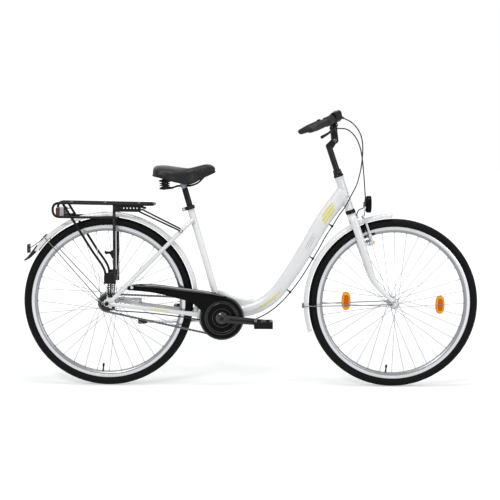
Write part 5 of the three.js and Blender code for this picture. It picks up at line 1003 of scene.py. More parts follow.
# Points of the cables: the gear cable from the shifter to the hub, and the brake cable to the front brake.
shift_route = [
    (357, -170, 1103), (369, -163, 1098), (386, -154, 1090), (409, -141, 1070), (429, -126, 1040),
    (439, -112, 1003), (441, -99, 965), (440, -86, 929), (435, -69, 886), (424, -50, 838),
    (404, -34, 793), (382, -27, 748), (358, -20, 713), (331, -9, 666), (306, 0, 625), (281, 0, 578),
    (254, 0, 531), (226, 0, 483), (196, 0, 436), (162, 0, 391), (121, 0, 345), (74, 0, 307),
    (22, 0, 279), (-36, 0, 262), (-90, -6, 255), (-150, -18, 262), (-205, -30, 277), (-262, -40, 288),
    (-340, -47, 299), (-430, -54, 310), (-505, -62, 316), (-552, -72, 322), (-578, -80, 338)]
brake_route = [
    (331, -177, 1063), (347, -166, 1063), (364, -156, 1062), (384, -142, 1054), (410, -122, 1029),
    (430, -102, 990), (441, -84, 948), (449, -66, 898), (457, -50, 830), (461, -44, 780),
    (461, -40, 745), (460, -36, 724), (460, -27, 714), (460, -12, 711.4), (460, 12, 711), (460, 34, 711)]


def cable_guides():
    """Posts under the main tube that hold the gear cable."""
    guides = Shape()
    for i in (13, 16, 19):
        held = V(*shift_route[i])
        nearest = min(main_path, key=lambda p: np.linalg.norm(p - held))
        along = unit(V(*shift_route[i + 1]) - V(*shift_route[i - 1]))
        towards = unit(held - nearest)
        guides.rod(nearest + towards * 20, held - towards * 2.7, 3, sides=20)
        guides.lathe(bush(2.55, 4.4, -5, 5, 0.3, 0.6), held, along, 32)
    piece("cable_guides", guides, powder, "frame")


cable_guides()


# ---------------------------------------------------------------- fork, crown and front end

BLADE_OUT, BOSS_UP = 40, 270


def blade_path(side):
    middle = on_fork(0, side * 48, 197)
    upper = rounded([on_fork(0, -side * 2, 394), on_fork(0, side * 45, 394), middle], 24, 12)
    lower = rounded([middle, on_fork(-2, side * 51, 105), on_fork(48, side * 52, 13)], 75, 20)
    return upper + lower[1:]


def blade_section(share):
    taper = min(1, max(0, share * 1.6 - 0.6))
    return oval(16 - 8 * taper, 11.5 - 3.5 * taper, 40, 2.1)


def fork_end(shape, side):
    """The slotted plate at a blade's foot, its eyelet, and the brake boss with its brass bolt."""
    low, high = side * 50, side * 54

    def at_axle(line):
        return [(FRONT[0] + x, FRONT[2] + z) for x, z in line]
    slotted = arc((0, 0), 13, -58, 238, 26) + [(-5.4, -3), (-5.4, 1)] + arc((0, 0), 5.4, 170, 10, 8) + [(5.4, -3)]
    shape.slab(at_axle(slotted), low, high, 0.8)
    shape.slab(at_axle(disc((-16, 0), 6, 24)), low, high, 0.8, holes=[at_axle(disc((-16.6, 0), 2.2, 14))])
    shape.slab(soften(at_axle([(-12, 6), (8, 6), (2, 24), (-10, 26)]), 4, 4), low, high, 0.8)
    shape.rod(on_fork(18, side * BLADE_OUT, BOSS_UP), on_fork(52, side * BLADE_OUT, BOSS_UP), 4.9, look=1)
    shape.screw(on_fork(50, side * BLADE_OUT, BOSS_UP), AHEAD, 5.4, 3.4, 2)


def fork_pieces():
    """The fork in one skin, and the plates and bosses on it."""
    fork = Shape()
    ends = Shape()
    for side in (-1, 1):
        fork.sweep(even_path(blade_path(side), 5), blade_section, AHEAD)
        fork.rod(on_fork(0, side * BLADE_OUT, BOSS_UP), on_fork(20, side * BLADE_OUT, BOSS_UP), 7.2)
        fork_end(ends, side)
    fork.lathe([(0, 388), (18.2, 388), (19, 396), (19.7, 400), (19.7, 407.4), (19.2, 408), (0, 408)], FOOT, UP, 56)
    piece("fork_smooth", fork, white, "front_fork", "fork", sharp=0, weld=1.5, smooth=6)
    piece("fork_ends", ends, [white, steel, brass], "front_fork", "fork")


fork_pieces()


def axle_set(centre, half_spacing, hub_right, hub_left, tip):
    """An axle with its nuts outside the 4 mm plates, and its cones and locknuts inside them."""
    shape = Shape().rod(centre - Y * tip, centre + Y * tip, 4.9, bevel=1)
    for sign, hub in ((-1, hub_right), (1, hub_left)):
        shape.nut(centre + Y * sign * (half_spacing + 4.1), Y * sign, 9.5, 9)
        length = half_spacing - hub
        shape.lathe([(5, 0), (8.4, 0), (9, 0.6), (9, 3), (7.4, 3.6), (7.4, length - 1), (5, length - 0.6)],
                    centre + Y * sign * (hub + 0.4), Y * sign, 36)
    return shape


def brake_strap(shape):
    """The back-pedal brake's arm, and the clip that ties it to the left chain stay."""
    arm_outline = soften([(-605, 352), (-600, 340), (-576, 338), (-566, 345), (-459, 346.4), (-456, 349), (-456, 355),
                          (-459, 358), (-566, 359.6), (-576, 366), (-600, 364)], 5, 5)
    bolt = V(-464, 48.4, 352.2)
    shape.slab(arm_outline, 45.6, 48.6, 0.8, holes=[disc((bolt[0], bolt[2]), 3, 16), disc((REAR[0], REAR[2]), 5.2, 24)])
    front, back = V(-216, 34.7, 300), V(STAY_X, 62, 345)
    clip = lerp(front, back, (-462 - front[0]) / (back[0] - front[0]))
    along = unit(back - front)
    rings = []
    for y, z in oval(8.6, 11.8, 40):
        out = V(0, y, z)
        rings.append([clip + out * (1 + thick / np.linalg.norm(out)) + along * w
                      for thick, w in ((0, -5.5), (1.3, -5.5), (1.3, 5.5), (0, 5.5))])
    shape.loft(rings, closed=True)
    shape.block(clip + V(-6, -13, 8), clip + V(6, -9.6, 24.5), 1)
    shape.screw(bolt, Y, 5, 3.6)
    shape.nut(bolt - Y * 2.6, -Y, 5, 4)


piece("front_axle_set", axle_set(FRONT, 50, 42, 42, 66.5), steel, "front_fork", "front_axle")
rear_axle = axle_set(REAR, 60, 33, 42, 76)
rear_axle.lathe([(0, 0), (8, 0), (8, 12), (7.2, 14.6), (5, 16), (0, 16)], REAR - Y * 73, -Y, 40, 1)
brake_strap(rear_axle)
piece("rear_axle_set", rear_axle, [steel, plastic], "frame", "rear_axle")


# ---------------------------------------------------------------- mudguards, stays and flap

GUARD_WIDE = 26


def guard_profile():
    """The mudguard's section, with edges rolled inwards."""
    half = flat_spline([(355, GUARD_WIDE), (359.4, 25.8), (364.4, 24.9), (368.6, 20.6), (371, 12), (372, 0)], 14)
    outer = mirrored(half)
    inner = [(r - 1.2, y * 0.955) for r, y in outer]
    inner[0], inner[-1] = (355.4, 24.4), (355.4, -24.4)
    roll = [(354.9, 25.6), (354.3, 25.0), (354.6, 24.3)]
    return outer + [(r, -y) for r, y in reversed(roll)] + inner[::-1] + roll[::-1]


def mudguard(axle, start, end, steps):
    """A length of mudguard whose ends are rounded a little at the edges."""
    rings = []
    for i in range(steps + 1):
        ring = []
        for r, y in guard_profile():
            off = 1.5 * abs(y / GUARD_WIDE) ** 4
            ring.append(polar(axle, r, lerp(start + off, end - off, i / steps), y))
        rings.append(ring)
    return Shape().loft(rings)


def mudguards():
    """Both mudguards with their bolts."""
    front_guard = mudguard(FRONT, 91, 200, 96)
    front_guard.rod(on_fork(0, 0, 368), on_fork(0, 0, 382.2), 4.8, look=1)
    front_guard.nut(on_fork(0, 0, 367.4), UP, 8, 4, 1)
    piece("front_mudguard_rolled", front_guard, [white, steel], "front_fork", "front_mudguard", sharp=45)
    rear_guard = mudguard(REAR, -8, 146, 132)
    for angle in (44.4, -4):
        p = polar(REAR, 370.9, angle)
        rear_guard.screw(p, REAR - p, 4.6, 2.6, 1)
    piece("rear_mudguard_rolled", rear_guard, [white, steel], "frame", "rear_mudguard", sharp=45)


mudguards()


def wire_stay(name, axle, eyelet, angle, spread_out, body, replaced):
    """A mudguard's wire from the eyelets over the guard, with its clips and screws."""
    outer = polar(axle, 374.3, angle)
    right, left = V(eyelet[0], -spread_out, eyelet[1]), V(eyelet[0], spread_out, eyelet[1])
    path = rounded([right, outer - Y * 33, outer + Y * 33, left], 9, 10)
    shape = Shape().tube(even_path(path, 4), 2, 14)
    d = unit(outer - axle)
    tangent = np.cross(Y, d)
    for side, foot in ((-1, right), (1, left)):
        shape.lathe(bush(2.4, 5, -1.9, 1.9, 0.4, 0.5), foot, Y, 24)
        shape.screw(foot + Y * side * 1.2, Y * side, 4.3, 3.2)
        shape.rod(foot - Y * side * 6, foot + Y * side * 1.6, 2.2, sides=16)
        clip = outer + Y * side * 12
        shape.bar(clip - tangent * 9 + d * 0.4, clip + tangent * 9 + d * 0.4, 5, 2.6, Y, 1)
        shape.screw(clip - tangent * 6 + d * 2.4, d, 2.6, 1.6)
    return piece(name, shape, stay_wire, body, replaced)


wire_stay("front_wire_stay", FRONT, (572, 349), 182, 56.9, "front_fork", "front_mudguard_stay")
wire_stay("rear_wire_stay", REAR, (-606, 349), 134, 66.9, "frame", "rear_mudguard_stay")


def mud_flap():
    """A ribbed rubber strip that follows the guard's curve at its top and flattens below."""
    steps, half, columns = 26, 24, 12
    path = spline([polar(REAR, 373.8, 142), polar(REAR, 373.8, 144), polar(REAR, 374.1, 146), V(-920, 0, 531),
                   V(-934, 0, 518)], steps)
    rings = []
    for i, p in enumerate(path):
        n = np.cross(unit(path[min(i + 1, steps)] - path[max(i - 1, 0)]), Y)
        share = i / steps
        wide = half - 3 * max(0, share - 0.86) / 0.14 * (1 + 2 * max(0, share - 0.94) / 0.06) * 0.6
        curl = 3 + 12 * (1 - share) ** 0.6
        ring = []
        for k in range(2 * columns + 1):
            y = wide * (k / columns - 1)
            ring.append(p + Y * y + n * (curl * (y / half) ** 6 - 1.5))
        for k in range(2 * columns + 1):
            y = wide * 0.93 * (1 - k / columns)
            rib = 0.5 if k % 6 == 3 and share > 0.25 else 0
            ring.append(p + Y * y + n * (curl * (y / 22.3) ** 6 * 0.94 + 1.0 - rib))
        rings.append(ring)
    return Shape().loft(rings)


def facing(u, v, w):
    """Places an outline square to the bicycle's length."""
    return V(w, u, v)


piece("mud_flap_ribbed", mud_flap(), rubber, "frame", "mud_flap", sharp=50)


def rear_reflector():
    """A red block on a bent strap over the mudguard's end."""
    reflector = Shape()
    plan = tile(-20, 20, 548, 585, 6, 6)
    reflector.slab(plan, -914.5, -912, 1, 1, place=facing)
    reflector.slab(inset(plan, 0.6), -920.8, -913.6, 2.2, 0, place=facing, steps=4)
    reflector.slab(inset(plan, 4.5), -921, -920, 0.4, 0, place=facing)
    bracket_path = spline([V(-913, 0, 566.5), polar(REAR, 375.2, 139), polar(REAR, 373.7, 136)], 12)
    reflector.sweep(bracket_path, lambda s: strip(10, 1.4, 0.9, 2), Y, 2)
    reflector.screw(polar(REAR, 375.4, 137), polar(V(0, 0, 0), 1, 137), 4, 2.6, 3)
    piece("rear_reflector_lens", reflector, [red, plastic, powder, steel], "frame", "rear_reflector")


rear_reflector()


# ---------------------------------------------------------------- drive

CRANK_XZ, REAR_XZ = (CRANK[0], CRANK[2]), (REAR[0], REAR[2])
CRANK_LENGTH, CRANK_DROP = 170, math.radians(5)
PITCH, RING_TEETH, COG_TEETH = 12.7, 38, 18
TEETH_IN, TEETH_OUT, CHAIN_Y = -44, -46, -45
TOOTH = [(-0.5, -4), (-0.4, -3.7), (-0.3, -2.2), (-0.2, 0.2), (-0.12, 2.4), (-0.05, 3.3), (0.05, 3.3), (0.12, 2.4),
         (0.2, 0.2), (0.3, -2.2), (0.4, -3.7)]


def toothed(shape, centre, teeth, holes, look):
    pitch_radius = PITCH / (2 * math.sin(math.pi / teeth))
    outline = []
    for i in range(teeth):
        for turn, out in TOOTH:
            outline.append(tuple(polar(centre, pitch_radius + out, 360 * (i + turn) / teeth)[[0, 2]]))
    shape.slab(outline, TEETH_OUT, TEETH_IN, 0.35, look, holes, steps=1)


def chainring():
    ring = Shape()
    windows = []
    for a in range(18, 378, 72):
        window = [(58, a - 24 + 6 * k) for k in range(9)] + [(34, a + 16 - 8 * k) for k in range(5)]
        windows.append([tuple(polar(CRANK, r, t)[[0, 2]]) for r, t in window])
    toothed(ring, CRANK, RING_TEETH, [disc(CRANK_XZ, 9, 32)] + windows, 1)
    ring.lathe([(9, 44.4), (23, 44.4), (24, 45.4), (24, 55.2), (9, 55.2)], CRANK, -Y, 64, 1)
    cover = [(9, 55), (60.5, 55), (63.2, 54.4), (64, 55), (64, 56.2), (63.2, 57.3), (61.4, 57.5), (59.8, 57.1),
             (58.6, 56.3), (55, 56.2), (54, 56.9), (52.6, 57.2), (51.2, 56.9), (50, 56.2), (40, 56.1), (39, 56.8),
             (37.8, 57.1), (36.4, 56.8), (35.4, 56.1), (27, 56.1), (25.4, 57), (23.4, 57.5), (20, 57.6), (17, 58.8),
             (15.4, 61), (15, 65.6), (9, 65.6)]
    ring.lathe(cover, CRANK, -Y, 128, 0)
    # The raised rings are in the guard's highlight copy: a painted highlight.
    for band in ([(58.4, 56.4), (58.9, 57.5), (59.8, 58.0), (60.8, 57.9), (61.6, 57.4), (61.8, 56.6)],
                 [(36.4, 56.6), (36.9, 57.4), (37.8, 57.7), (38.7, 57.4), (39.2, 56.6)],
                 [(15.6, 60.6), (17.2, 59.2), (19.6, 58.2), (22.6, 57.9), (24.8, 57.6), (25.4, 56.8)]):
        (r0, y0), (r1, y1) = band[0], band[-1]
        ring.lathe(band + [(r1 - 1, y1 - 0.6), (r0 + 1, y0 - 0.6)], CRANK, -Y, 128, 3)
    return ring


def crank_spindle():
    spindle = Shape().rod(CRANK - Y * 76, CRANK + Y * 76, 8.4, bevel=1)
    for side in (-1, 1):
        spindle.lathe([(0, 0), (8.3, 0), (8.3, 3.2), (6.4, 4), (4, 3.4), (3.4, 2.4), (0, 2.4)],
                      CRANK + Y * side * 74, Y * side, 36)
    return spindle


piece("chainring_covered", chainring(), [guard_black, dark_steel, steel, guard_highlight_copy], "crankset", "chainring")
piece("crank_spindle_set", crank_spindle(), steel, "crankset", "crank_spindle")


def crank_tip(side):
    return CRANK + V(-side * CRANK_LENGTH * math.cos(CRANK_DROP), 0, side * CRANK_LENGTH * math.sin(CRANK_DROP))


def crank_arm(side, tag):
    tip, out = crank_tip(side), Y * side
    near, far = side * 66, side * 80
    d = unit(tip - CRANK)
    turn = math.degrees(math.atan2(d[2], d[0]))
    outline = arc(CRANK_XZ, 17, turn + 72, turn + 288, 30) + arc((tip[0], tip[2]), 12, turn - 86, turn + 86, 22)
    shape = Shape().slab(outline, near, far, 3.2, steps=4, holes=[disc(CRANK_XZ, 8.9, 32)])
    middle = CRANK + d * 86
    shape.slab(slot_outline((middle[0], middle[2]), 52, 3.6, turn, 10), far - 0.8, far, 0.3, 1)
    shape.lathe([(9, 0), (15.4, 0), (16, 0.4), (15.2, 1.2), (9, 1.2)], CRANK + out * 79, out, 40)
    shape.lathe([(0, 0), (10.6, 0), (10.6, 1.4), (9.4, 2.2), (3.4, 2.6), (3.2, 1.6), (0, 1.6)],
                CRANK + out * 77.8, out, 40, 1)
    shape.rod(tip + out * 70, tip + out * 147, 5.6, end=4.6, look=2)
    shape.nut(tip + out * 80.2, out, 8.2, 3.4, 1)
    shape.screw(tip + out * 66.2, -out, 6.4, 1.0, 2)
    return piece("crank_arm_%s_forged" % tag, shape, [forged_black, powder, steel], "crankset", "crank_arm_" + tag)


def pedal(side, tag):
    tip, out = crank_tip(side), Y * side
    y0, y1 = 84, 152

    def flat(u, v, w):
        return V(tip[0] + u, side * v, tip[2] + w)
    outline = [(-38, y0 + 3), (-31, y0), (31, y0), (38, y0 + 3), (38, y1 - 4), (30, y1), (-30, y1), (-38, y1 - 4)]
    holes = [tile(11.4 * s, 25.2 * s, y0 + 6.6, y1 - 6.6, 3) for s in (-1, 1)]
    shape = Shape().slab(soften(outline, 4, 4), -14.2, 14.2, 2.2, holes=holes, place=flat, steps=3)
    for s in (-1, 1):
        rail = soften([(26.2 * s, y0 + 4), (36.6 * s, y0 + 5), (36.6 * s, y1 - 6), (26.2 * s, y1 - 4)], 2.4, 3)
        for w in (-1, 1):
            shape.slab(rail, 13.6 * w, 15.0 * w, 0.5, 1, place=flat)
            for y in range(y0 + 10, y0 + 66, 8):
                stud = tile(28 * s, 34.8 * s, y - 1.6, y + 1.6, 0.8, 2)
                shape.slab(stud, 14.2 * w, 15.0 * w, 0.3, 0, place=flat, steps=1)
        x = sorted((s * 36.6, s * 38))
        y = sorted((side * (y0 + 16), side * (y1 - 16)))
        shape.block((tip[0] + x[0], y[0], tip[2] - 6), (tip[0] + x[1], y[1], tip[2] + 6), 0.6, 2)
    for y in (y0 + 0.6, y1 - 5.6):
        shape.lathe([(6.4, 0), (10.4, 0), (10.9, 0.6), (10.9, 4.6), (10.4, 5), (6.4, 5)], tip + out * y, out, 40, 1)
    shape.lathe([(6.4, 0), (9.4, 0), (10.2, 6), (8.8, 16), (8.8, 48), (10.2, 58), (9.4, 66), (6.4, 66)],
                tip + out * (y0 + 1), out, 40)
    shape.lathe([(0, 0), (8.4, 0), (8.4, 0.8), (7.4, 1.4), (0, 1.6)], tip + out * (y1 - 1.2), out, 32, 0)
    name = "pedal_" + tag
    return piece(name + "_treaded", shape, [plastic, grey_plastic, amber], tag + "_pedal", name)


for side, tag in SIDES:
    crank_arm(side, tag)
    pedal(side, tag)


def rear_cog():
    """The rear sprocket on its ring."""
    cog = Shape()
    toothed(cog, REAR, COG_TEETH, [disc(REAR_XZ, 9.4, 32)], 0)
    cog.lathe([(9.4, 33.4), (17.2, 33.4), (18, 34.2), (18, 47.4), (17.2, 48.3), (14, 48.3), (13.6, 47), (9.4, 47)],
              REAR, -Y, 56, 0)
    cog.lathe([(17.6, 42.9), (23, 43.2), (23.6, 43.8), (17.6, 43.8)], REAR, -Y, 56, 0)
    piece("rear_cog", cog, black_steel, "sprocket", "rear_sprocket")


rear_cog()


def chain_joints():
    """The places of the chain's pins: in even steps round both sprockets, in step with the chainring's teeth."""
    big, small = 76.9, 36.57
    between = REAR - CRANK
    direction = math.degrees(math.atan2(between[2], between[0]))
    lean = math.degrees(math.acos((big - small) / np.linalg.norm(between)))
    loop = [polar(CRANK, big, direction - lean + (2 * lean - 360) * i / 400, CHAIN_Y) for i in range(401)]
    loop += [polar(REAR, small, direction + lean - 2 * lean * i / 200, CHAIN_Y) for i in range(201)]
    pts = np.array(loop + loop[:1])
    lengths = travelled(pts)
    links = int(round(lengths[-1] / PITCH / 2)) * 2
    step = lengths[-1] / links
    offset = step * (math.radians(direction - lean) * RING_TEETH / (2 * math.pi) % 1.0 - 0.25)
    places = [(offset + k * step) % lengths[-1] for k in range(links)]
    return list(np.stack([np.interp(places, lengths, column) for column in pts.T], 1))


def link_outline(a, b):
    """A side plate of a link: round ends and a waist."""
    d = unit(b - a)
    turn = math.degrees(math.atan2(d[2], d[0]))
    middle, end, waist = (a + b) / 2, 4.3, 3.0
    across = (waist * math.sin(math.radians(turn)), waist * math.cos(math.radians(turn)))
    return arc((a[0], a[2]), end, turn + 60, turn + 300, 8) + [(middle[0] + across[0], middle[2] - across[1])] \
        + arc((b[0], b[2]), end, turn - 120, turn + 120, 8) + [(middle[0] - across[0], middle[2] + across[1])]


def chain():
    """Inner and outer links in turn. On the cog, whose teeth pass through, pins keep only their ends."""
    joints = chain_joints()
    clear_of_cog, plate = 44.5, 0.95
    shape = Shape()
    for k, a in enumerate(joints):
        outline = link_outline(a, joints[(k + 1) % len(joints)])
        inner = 2.95 if k % 2 else 1.75
        for sign in (-1, 1):
            shape.slab(outline, CHAIN_Y + sign * inner, CHAIN_Y + sign * (inner + plate), 0.25, 0, steps=1)
        free = math.hypot(a[0] - REAR[0], a[2] - REAR[2]) > clear_of_cog
        spans = [(-4.4, 4.4, 1.8, 10, 0.3), (-1.7, 1.7, 3.6, 14, 0.2)] if free \
            else [(-4.4, -1.9, 1.8, 10, 0.3), (1.9, 4.4, 1.8, 10, 0.3)]
        for low, high, radius, sides, bevel in spans:
            shape.rod(a + Y * low, a + Y * high, radius, sides=sides, bevel=bevel)
    return piece("roller_chain", shape, dark_steel, "frame", "chain")


chain()


def guard_points(*pairs):
    """Points of the chain guard from shares of its length and height."""
    return [(CRANK[0] + along * 387, CRANK[2] + up * 125) for along, up in pairs]


def guard_outline():
    line = arc(CRANK_XZ, 91, 78, -199, 110)
    low = guard_points((-0.32, 0.49), (-0.519, 0.672), (-0.721, 0.816), (-0.985, 0.897))
    line += flat_spline([line[-1], *low], 30)[1:]
    line += soften(guard_points((-0.985, 0.897), (-1, 0.904), (-1, 1), (-0.985, 1.02)), 3, 3)[4:-4]
    back = guard_points((-0.985, 1.02), (-0.943, 1.08), (-0.721, 1.064), (-0.419, 0.952), (-0.119, 0.832))
    return line + flat_spline(back + line[:1], 34)[:-1]


def guard_flange():
    """Sections of the lip along the guard's top, which fades out towards its ends."""
    top = spline(guard_points((-0.93, 1.075), (-0.721, 1.064), (-0.419, 0.952), (-0.119, 0.832), (0.02, 0.727)), 60)
    last = len(top) - 1
    section = [(-2.2, -51.0), (-4.4, -51.2), (-4.9, -52.6), (-4.6, -53.6), (-4.0, -54.4), (-0.6, -57.8), (2.6, -60.6),
               (5.4, -62.5), (6.4, -62.8), (7.1, -62.4), (7.4, -60.2), (4.0, -58.4), (-0.6, -54.4)]
    rings = []
    for i, (x, z) in enumerate(top):
        before, after = top[max(i - 1, 0)], top[min(i + 1, last)]
        slope = unit(V(after[0] - before[0], 0, after[1] - before[1]))
        down = V(slope[2], 0, -slope[0])
        deep = 0.25 + 0.75 * min(1, i / 5, (last - i) / 14)
        rings.append([V(x, 0, z) + down * d * deep + Y * y for d, y in section])
    return rings


def chain_guard():
    outline = guard_outline()
    guard = Shape().slab(inset(outline, 4.6), -60.5, -58, 0.3, holes=[disc(CRANK_XZ, 66, 96)])
    edge = [(4.7, -60.45), (3.6, -60.25), (2.5, -59.7), (1.5, -58.7), (0.7, -57.2), (0.2, -55.2), (0, -52), (0, -51),
            (1.8, -51), (2.1, -55), (3, -57), (4.7, -58)]
    guard.loft([[V(u, y, w) for u, w in (inset(outline, d) if d else outline)] for d, y in edge], closed=True)
    # The ring round the hole, the rolled rim and the top lip are in the guard's highlight copy: a painted highlight.
    guard.lathe([(66.2, 58.2), (69, 58.2), (69.4, 60.6), (68.4, 61.0), (67, 61.0), (66.2, 60.2)], CRANK, -Y, 128, 3)
    rolled = [(84.6, -60.2), (85.0, -60.9), (86.2, -61.3), (87.6, -61.2), (89.0, -60.5), (90.3, -59.2), (91.2, -57.4),
              (91.5, -55.6), (90.6, -55.4), (89.6, -57.6), (87.4, -59.6)]
    guard.loft([[polar(CRANK, r, a, y) for r, y in rolled] for a in range(-196, 78, 3)], 3)
    rib = spline(guard_points((-0.24, 0.62), (-0.45, 0.78), (-0.70, 0.925), (-0.90, 0.975)), 30)
    guard.sweep([V(x, -60.4, z) for x, z in rib], lambda s: oval(0.55, 2.4 * (1 - abs(2 * s - 1) ** 6) + 0.2, 12), Y)
    guard.loft(guard_flange(), 3)
    guard.screw(V(-486.9, -60.4, 414), -Y, 6, 2.6, 1)
    guard.block((-153.5, -53, 387.2), (-143.5, -13, 391.6), 0.8, 2)
    return guard


piece("chain_guard_moulded", chain_guard(), [guard_black, steel, powder, guard_highlight_copy], "frame", "chain_guard",
      sharp=40)


# ---------------------------------------------------------------- rack, lights and stand

RACK_FRONT, RACK_REAR, RACK_HALF = -400, -806, 62
STRUT_X = -557.3


def rack_top(x):
    return 752 + (RACK_FRONT - x) * 5.5 / (RACK_FRONT - RACK_REAR)


def rack_point(x, y):
    return V(x, y, rack_top(x))


def rack_side(rack, side):
    """One side's strut, diagonal, leg, side plate and light-plate rods."""
    y = side * RACK_HALF
    rack.bar(V(STRUT_X, y, 753), V(STRUT_X, y, 429), 3.2, 6.1, Y, 2.2)
    diagonal = spline([V(-578 + a * -228, y, 429 + u * 327.5) for a, u in
                       [(0.824, 1), (0.526, 0.66), (0.307, 0.414), (0.083, 0.165), (0.075, 0)]], 60)
    rack.tube(even_path(diagonal, 6), 5, 20)
    rack.slab(tile(-585.5, -570.5, 373, 474, 6, 5), side * 64.3, side * 67.3, 0.6,
              holes=[disc((-580, 381), 2.8, 18)] + [disc((-578, z), 2.7, 16) for z in range(391, 429, 9)])
    foot = soften([(-600, 430), (-588, 429), (-559, 429), (-559, 474), (-594, 474), (-600, 462)], 5, 4)
    rack.slab(foot, side * 59.5, side * 67.0, 1.2)
    rack.bead(V(STRUT_X, y, 748.6), Z, 5.4, 1.2, seed=side)
    slots = [disc((-545 + 13.4 * k, 738), 2.7, 18) for k in range(7)] if side < 0 \
        else [slot_outline((-491, 732.6), 48, 4.2, 0, 8)]
    plate = soften([(-557, 723.5), (-452, 722.5), (-449.6, 728), (-449.6, 752.5), (-557, 754)], 3, 3)
    rack.slab(plate, side * 60.5, side * 63.5, 0.7, holes=slots)
    for x, z in ((-749.5, 730), (-736, 707)):
        rack.rod(V(-763, side * 36, z), V(x, y, z), 2.2, sides=18)


def rack_frame():
    """The bent tube, its cross bars, both sides, the light plate and the pump hook."""
    rack = Shape()
    rack_half = [V(-545, -RACK_HALF, 699), V(RACK_REAR, -RACK_HALF, 700.5), rack_point(RACK_REAR, -RACK_HALF),
                 rack_point(RACK_FRONT, -RACK_HALF)]
    rack_corners = rack_half + [p * V(1, -1, 1) for p in reversed(rack_half)]
    rack.tube(even_path(rounded(rack_corners, 28.5, 14), 4), 5, 20)
    for share in (0.16, 0.5, 0.84):
        x = lerp(RACK_FRONT, RACK_REAR, share)
        rack.rod(rack_point(x, -RACK_HALF), rack_point(x, RACK_HALF), 4, sides=20)
        for s in (-1, 1):
            rack.bead(rack_point(x, s * 57.2), Y, 4.3, 1.1, seed=x)
    for side in (-1, 1):
        rack_side(rack, side)
    rack.slab(tile(-41, 41, 693, 738, 5, 4), -764.7, -761.7, 0.7, place=facing,
              holes=[disc((s * 33, 718), 3, 18) for s in (-1, 1)])
    hook = soften([(-559, 533), (-559, 568), (-566, 568), (-573, 562), (-588, 562), (-597, 566), (-597, 553),
                   (-589, 549), (-581, 553), (-574, 549), (-570, 540), (-566, 533)], 2.5, 3)
    rack.slab(hook, -63.5, -60.5, 0.7)
    piece("rack_tubes", rack, powder, "frame", "rack_frame", sharp=40)


rack_frame()


def rack_stay():
    """The wire from the rack's front to the seat stays."""
    stay = Shape()
    meet = lerp(*seat_stay_corners(1)[:2], 0.6)
    feet = [V(meet[0], side * (meet[1] + 12.3), meet[2]) for side in (-1, 1)]
    stay_corners = [feet[0], V(-457, -70.8, 725.5), V(-457, 70.8, 725.5), feet[1]]
    stay.tube(even_path(rounded(stay_corners, 6, 8), 4), 3.4, 18)
    for side, foot in zip((-1, 1), feet):
        stay.lathe(bush(3, 7, -3.4, 3.4, 0.6), foot, Y, 28)
        stay.screw(foot + Y * side * 2.6, Y * side, 5, 3.2, 1)
        stay.rod(foot - Y * side * 4, foot + Y * side * 3, 3, sides=18, look=1)
    piece("rack_stay_bent", stay, [powder, steel], "frame", "rack_stay")


rack_stay()


def rear_light():
    """A red lens with round edges on a pale housing."""
    tail = Shape()
    plan = tile(-38, 38, 700, 738, 8, 6)
    tail.slab(plan, -782, -765, 1.6, 1, place=facing, steps=3)
    tail.slab(inset(plan, 0.8), -799.5, -781, 6, 0, place=facing, steps=6)
    tail.slab(tile(-15, 15, 705, 733, 4, 4), -799.8, -789, 4, 0, place=facing, steps=4)
    for z in (707, 731):
        tail.slab(tile(-36, 36, z - 1, z + 1, 0.9, 2), -782.8, -779, 0.5, 2, place=facing)
    piece("rear_light_lens", tail, [red, pale_plastic, plastic], "frame", "rear_light")


rear_light()


def headlight():
    """A shallow bowl with a bright reflector and a ribbed lens, on a bent strap from the fork's crown."""
    base = V(462.5, 0, 757)
    shape = Shape()
    shell = [(0, 0), (16, 0), (22, 1.4), (28, 4.6), (33, 9), (34.6, 12), (35, 16), (35, 29.6), (34.4, 30.8), (33.2, 31),
             (32.3, 30.4), (31.4, 28), (31.4, 24), (0, 20)]
    bowl = [(0, 21), (12, 21.6), (22, 23.4), (31, 26.8), (31, 27.2), (22, 24.2), (12, 22.4), (0, 21.8)]
    ribs = [(k, 29.4 - 1.2 * (k / 31) ** 2 + (0.35 if k % 3 == 0 else 0)) for k in range(1, 31)]
    lens = [(0, 29.4), *ribs, (31.4, 27.6), (31, 26.9), (0, 26.9)]
    for look, profile in enumerate((shell, bowl, lens)):
        shape.lathe([(r, a * 0.86) for r, a in profile], base, X, 72, look)
    # The bulb is in the glowing amber: a painted glow.
    shape.rod(base + X * 21, base + X * 26, 5, look=3)
    strap = [on_fork(17.8, 0, 382.5), on_fork(17.8, 0, 394.3), on_fork(24, 0, 399.75), on_fork(33, 0, 412),
             V(468, 0, 746), V(468, 0, 757)]
    shape.sweep(even_path(rounded(strap, 9, 6), 3), lambda s: strip(9, 1.5, 1.2), Y, 4)
    shape.nut(on_fork(19, 0, 388), AHEAD, 7, 5.6, 5)
    shape.block((458, -7, 745), (468, 7, 766), 3, 4)
    shape.rod(V(461, -8.6, 757), V(461, 8.6, 757), 3, look=5)
    return shape


piece("headlight_lens", headlight(), [guard_black, mirror, clear, amber_edge, powder, steel], "front_fork", "headlight")


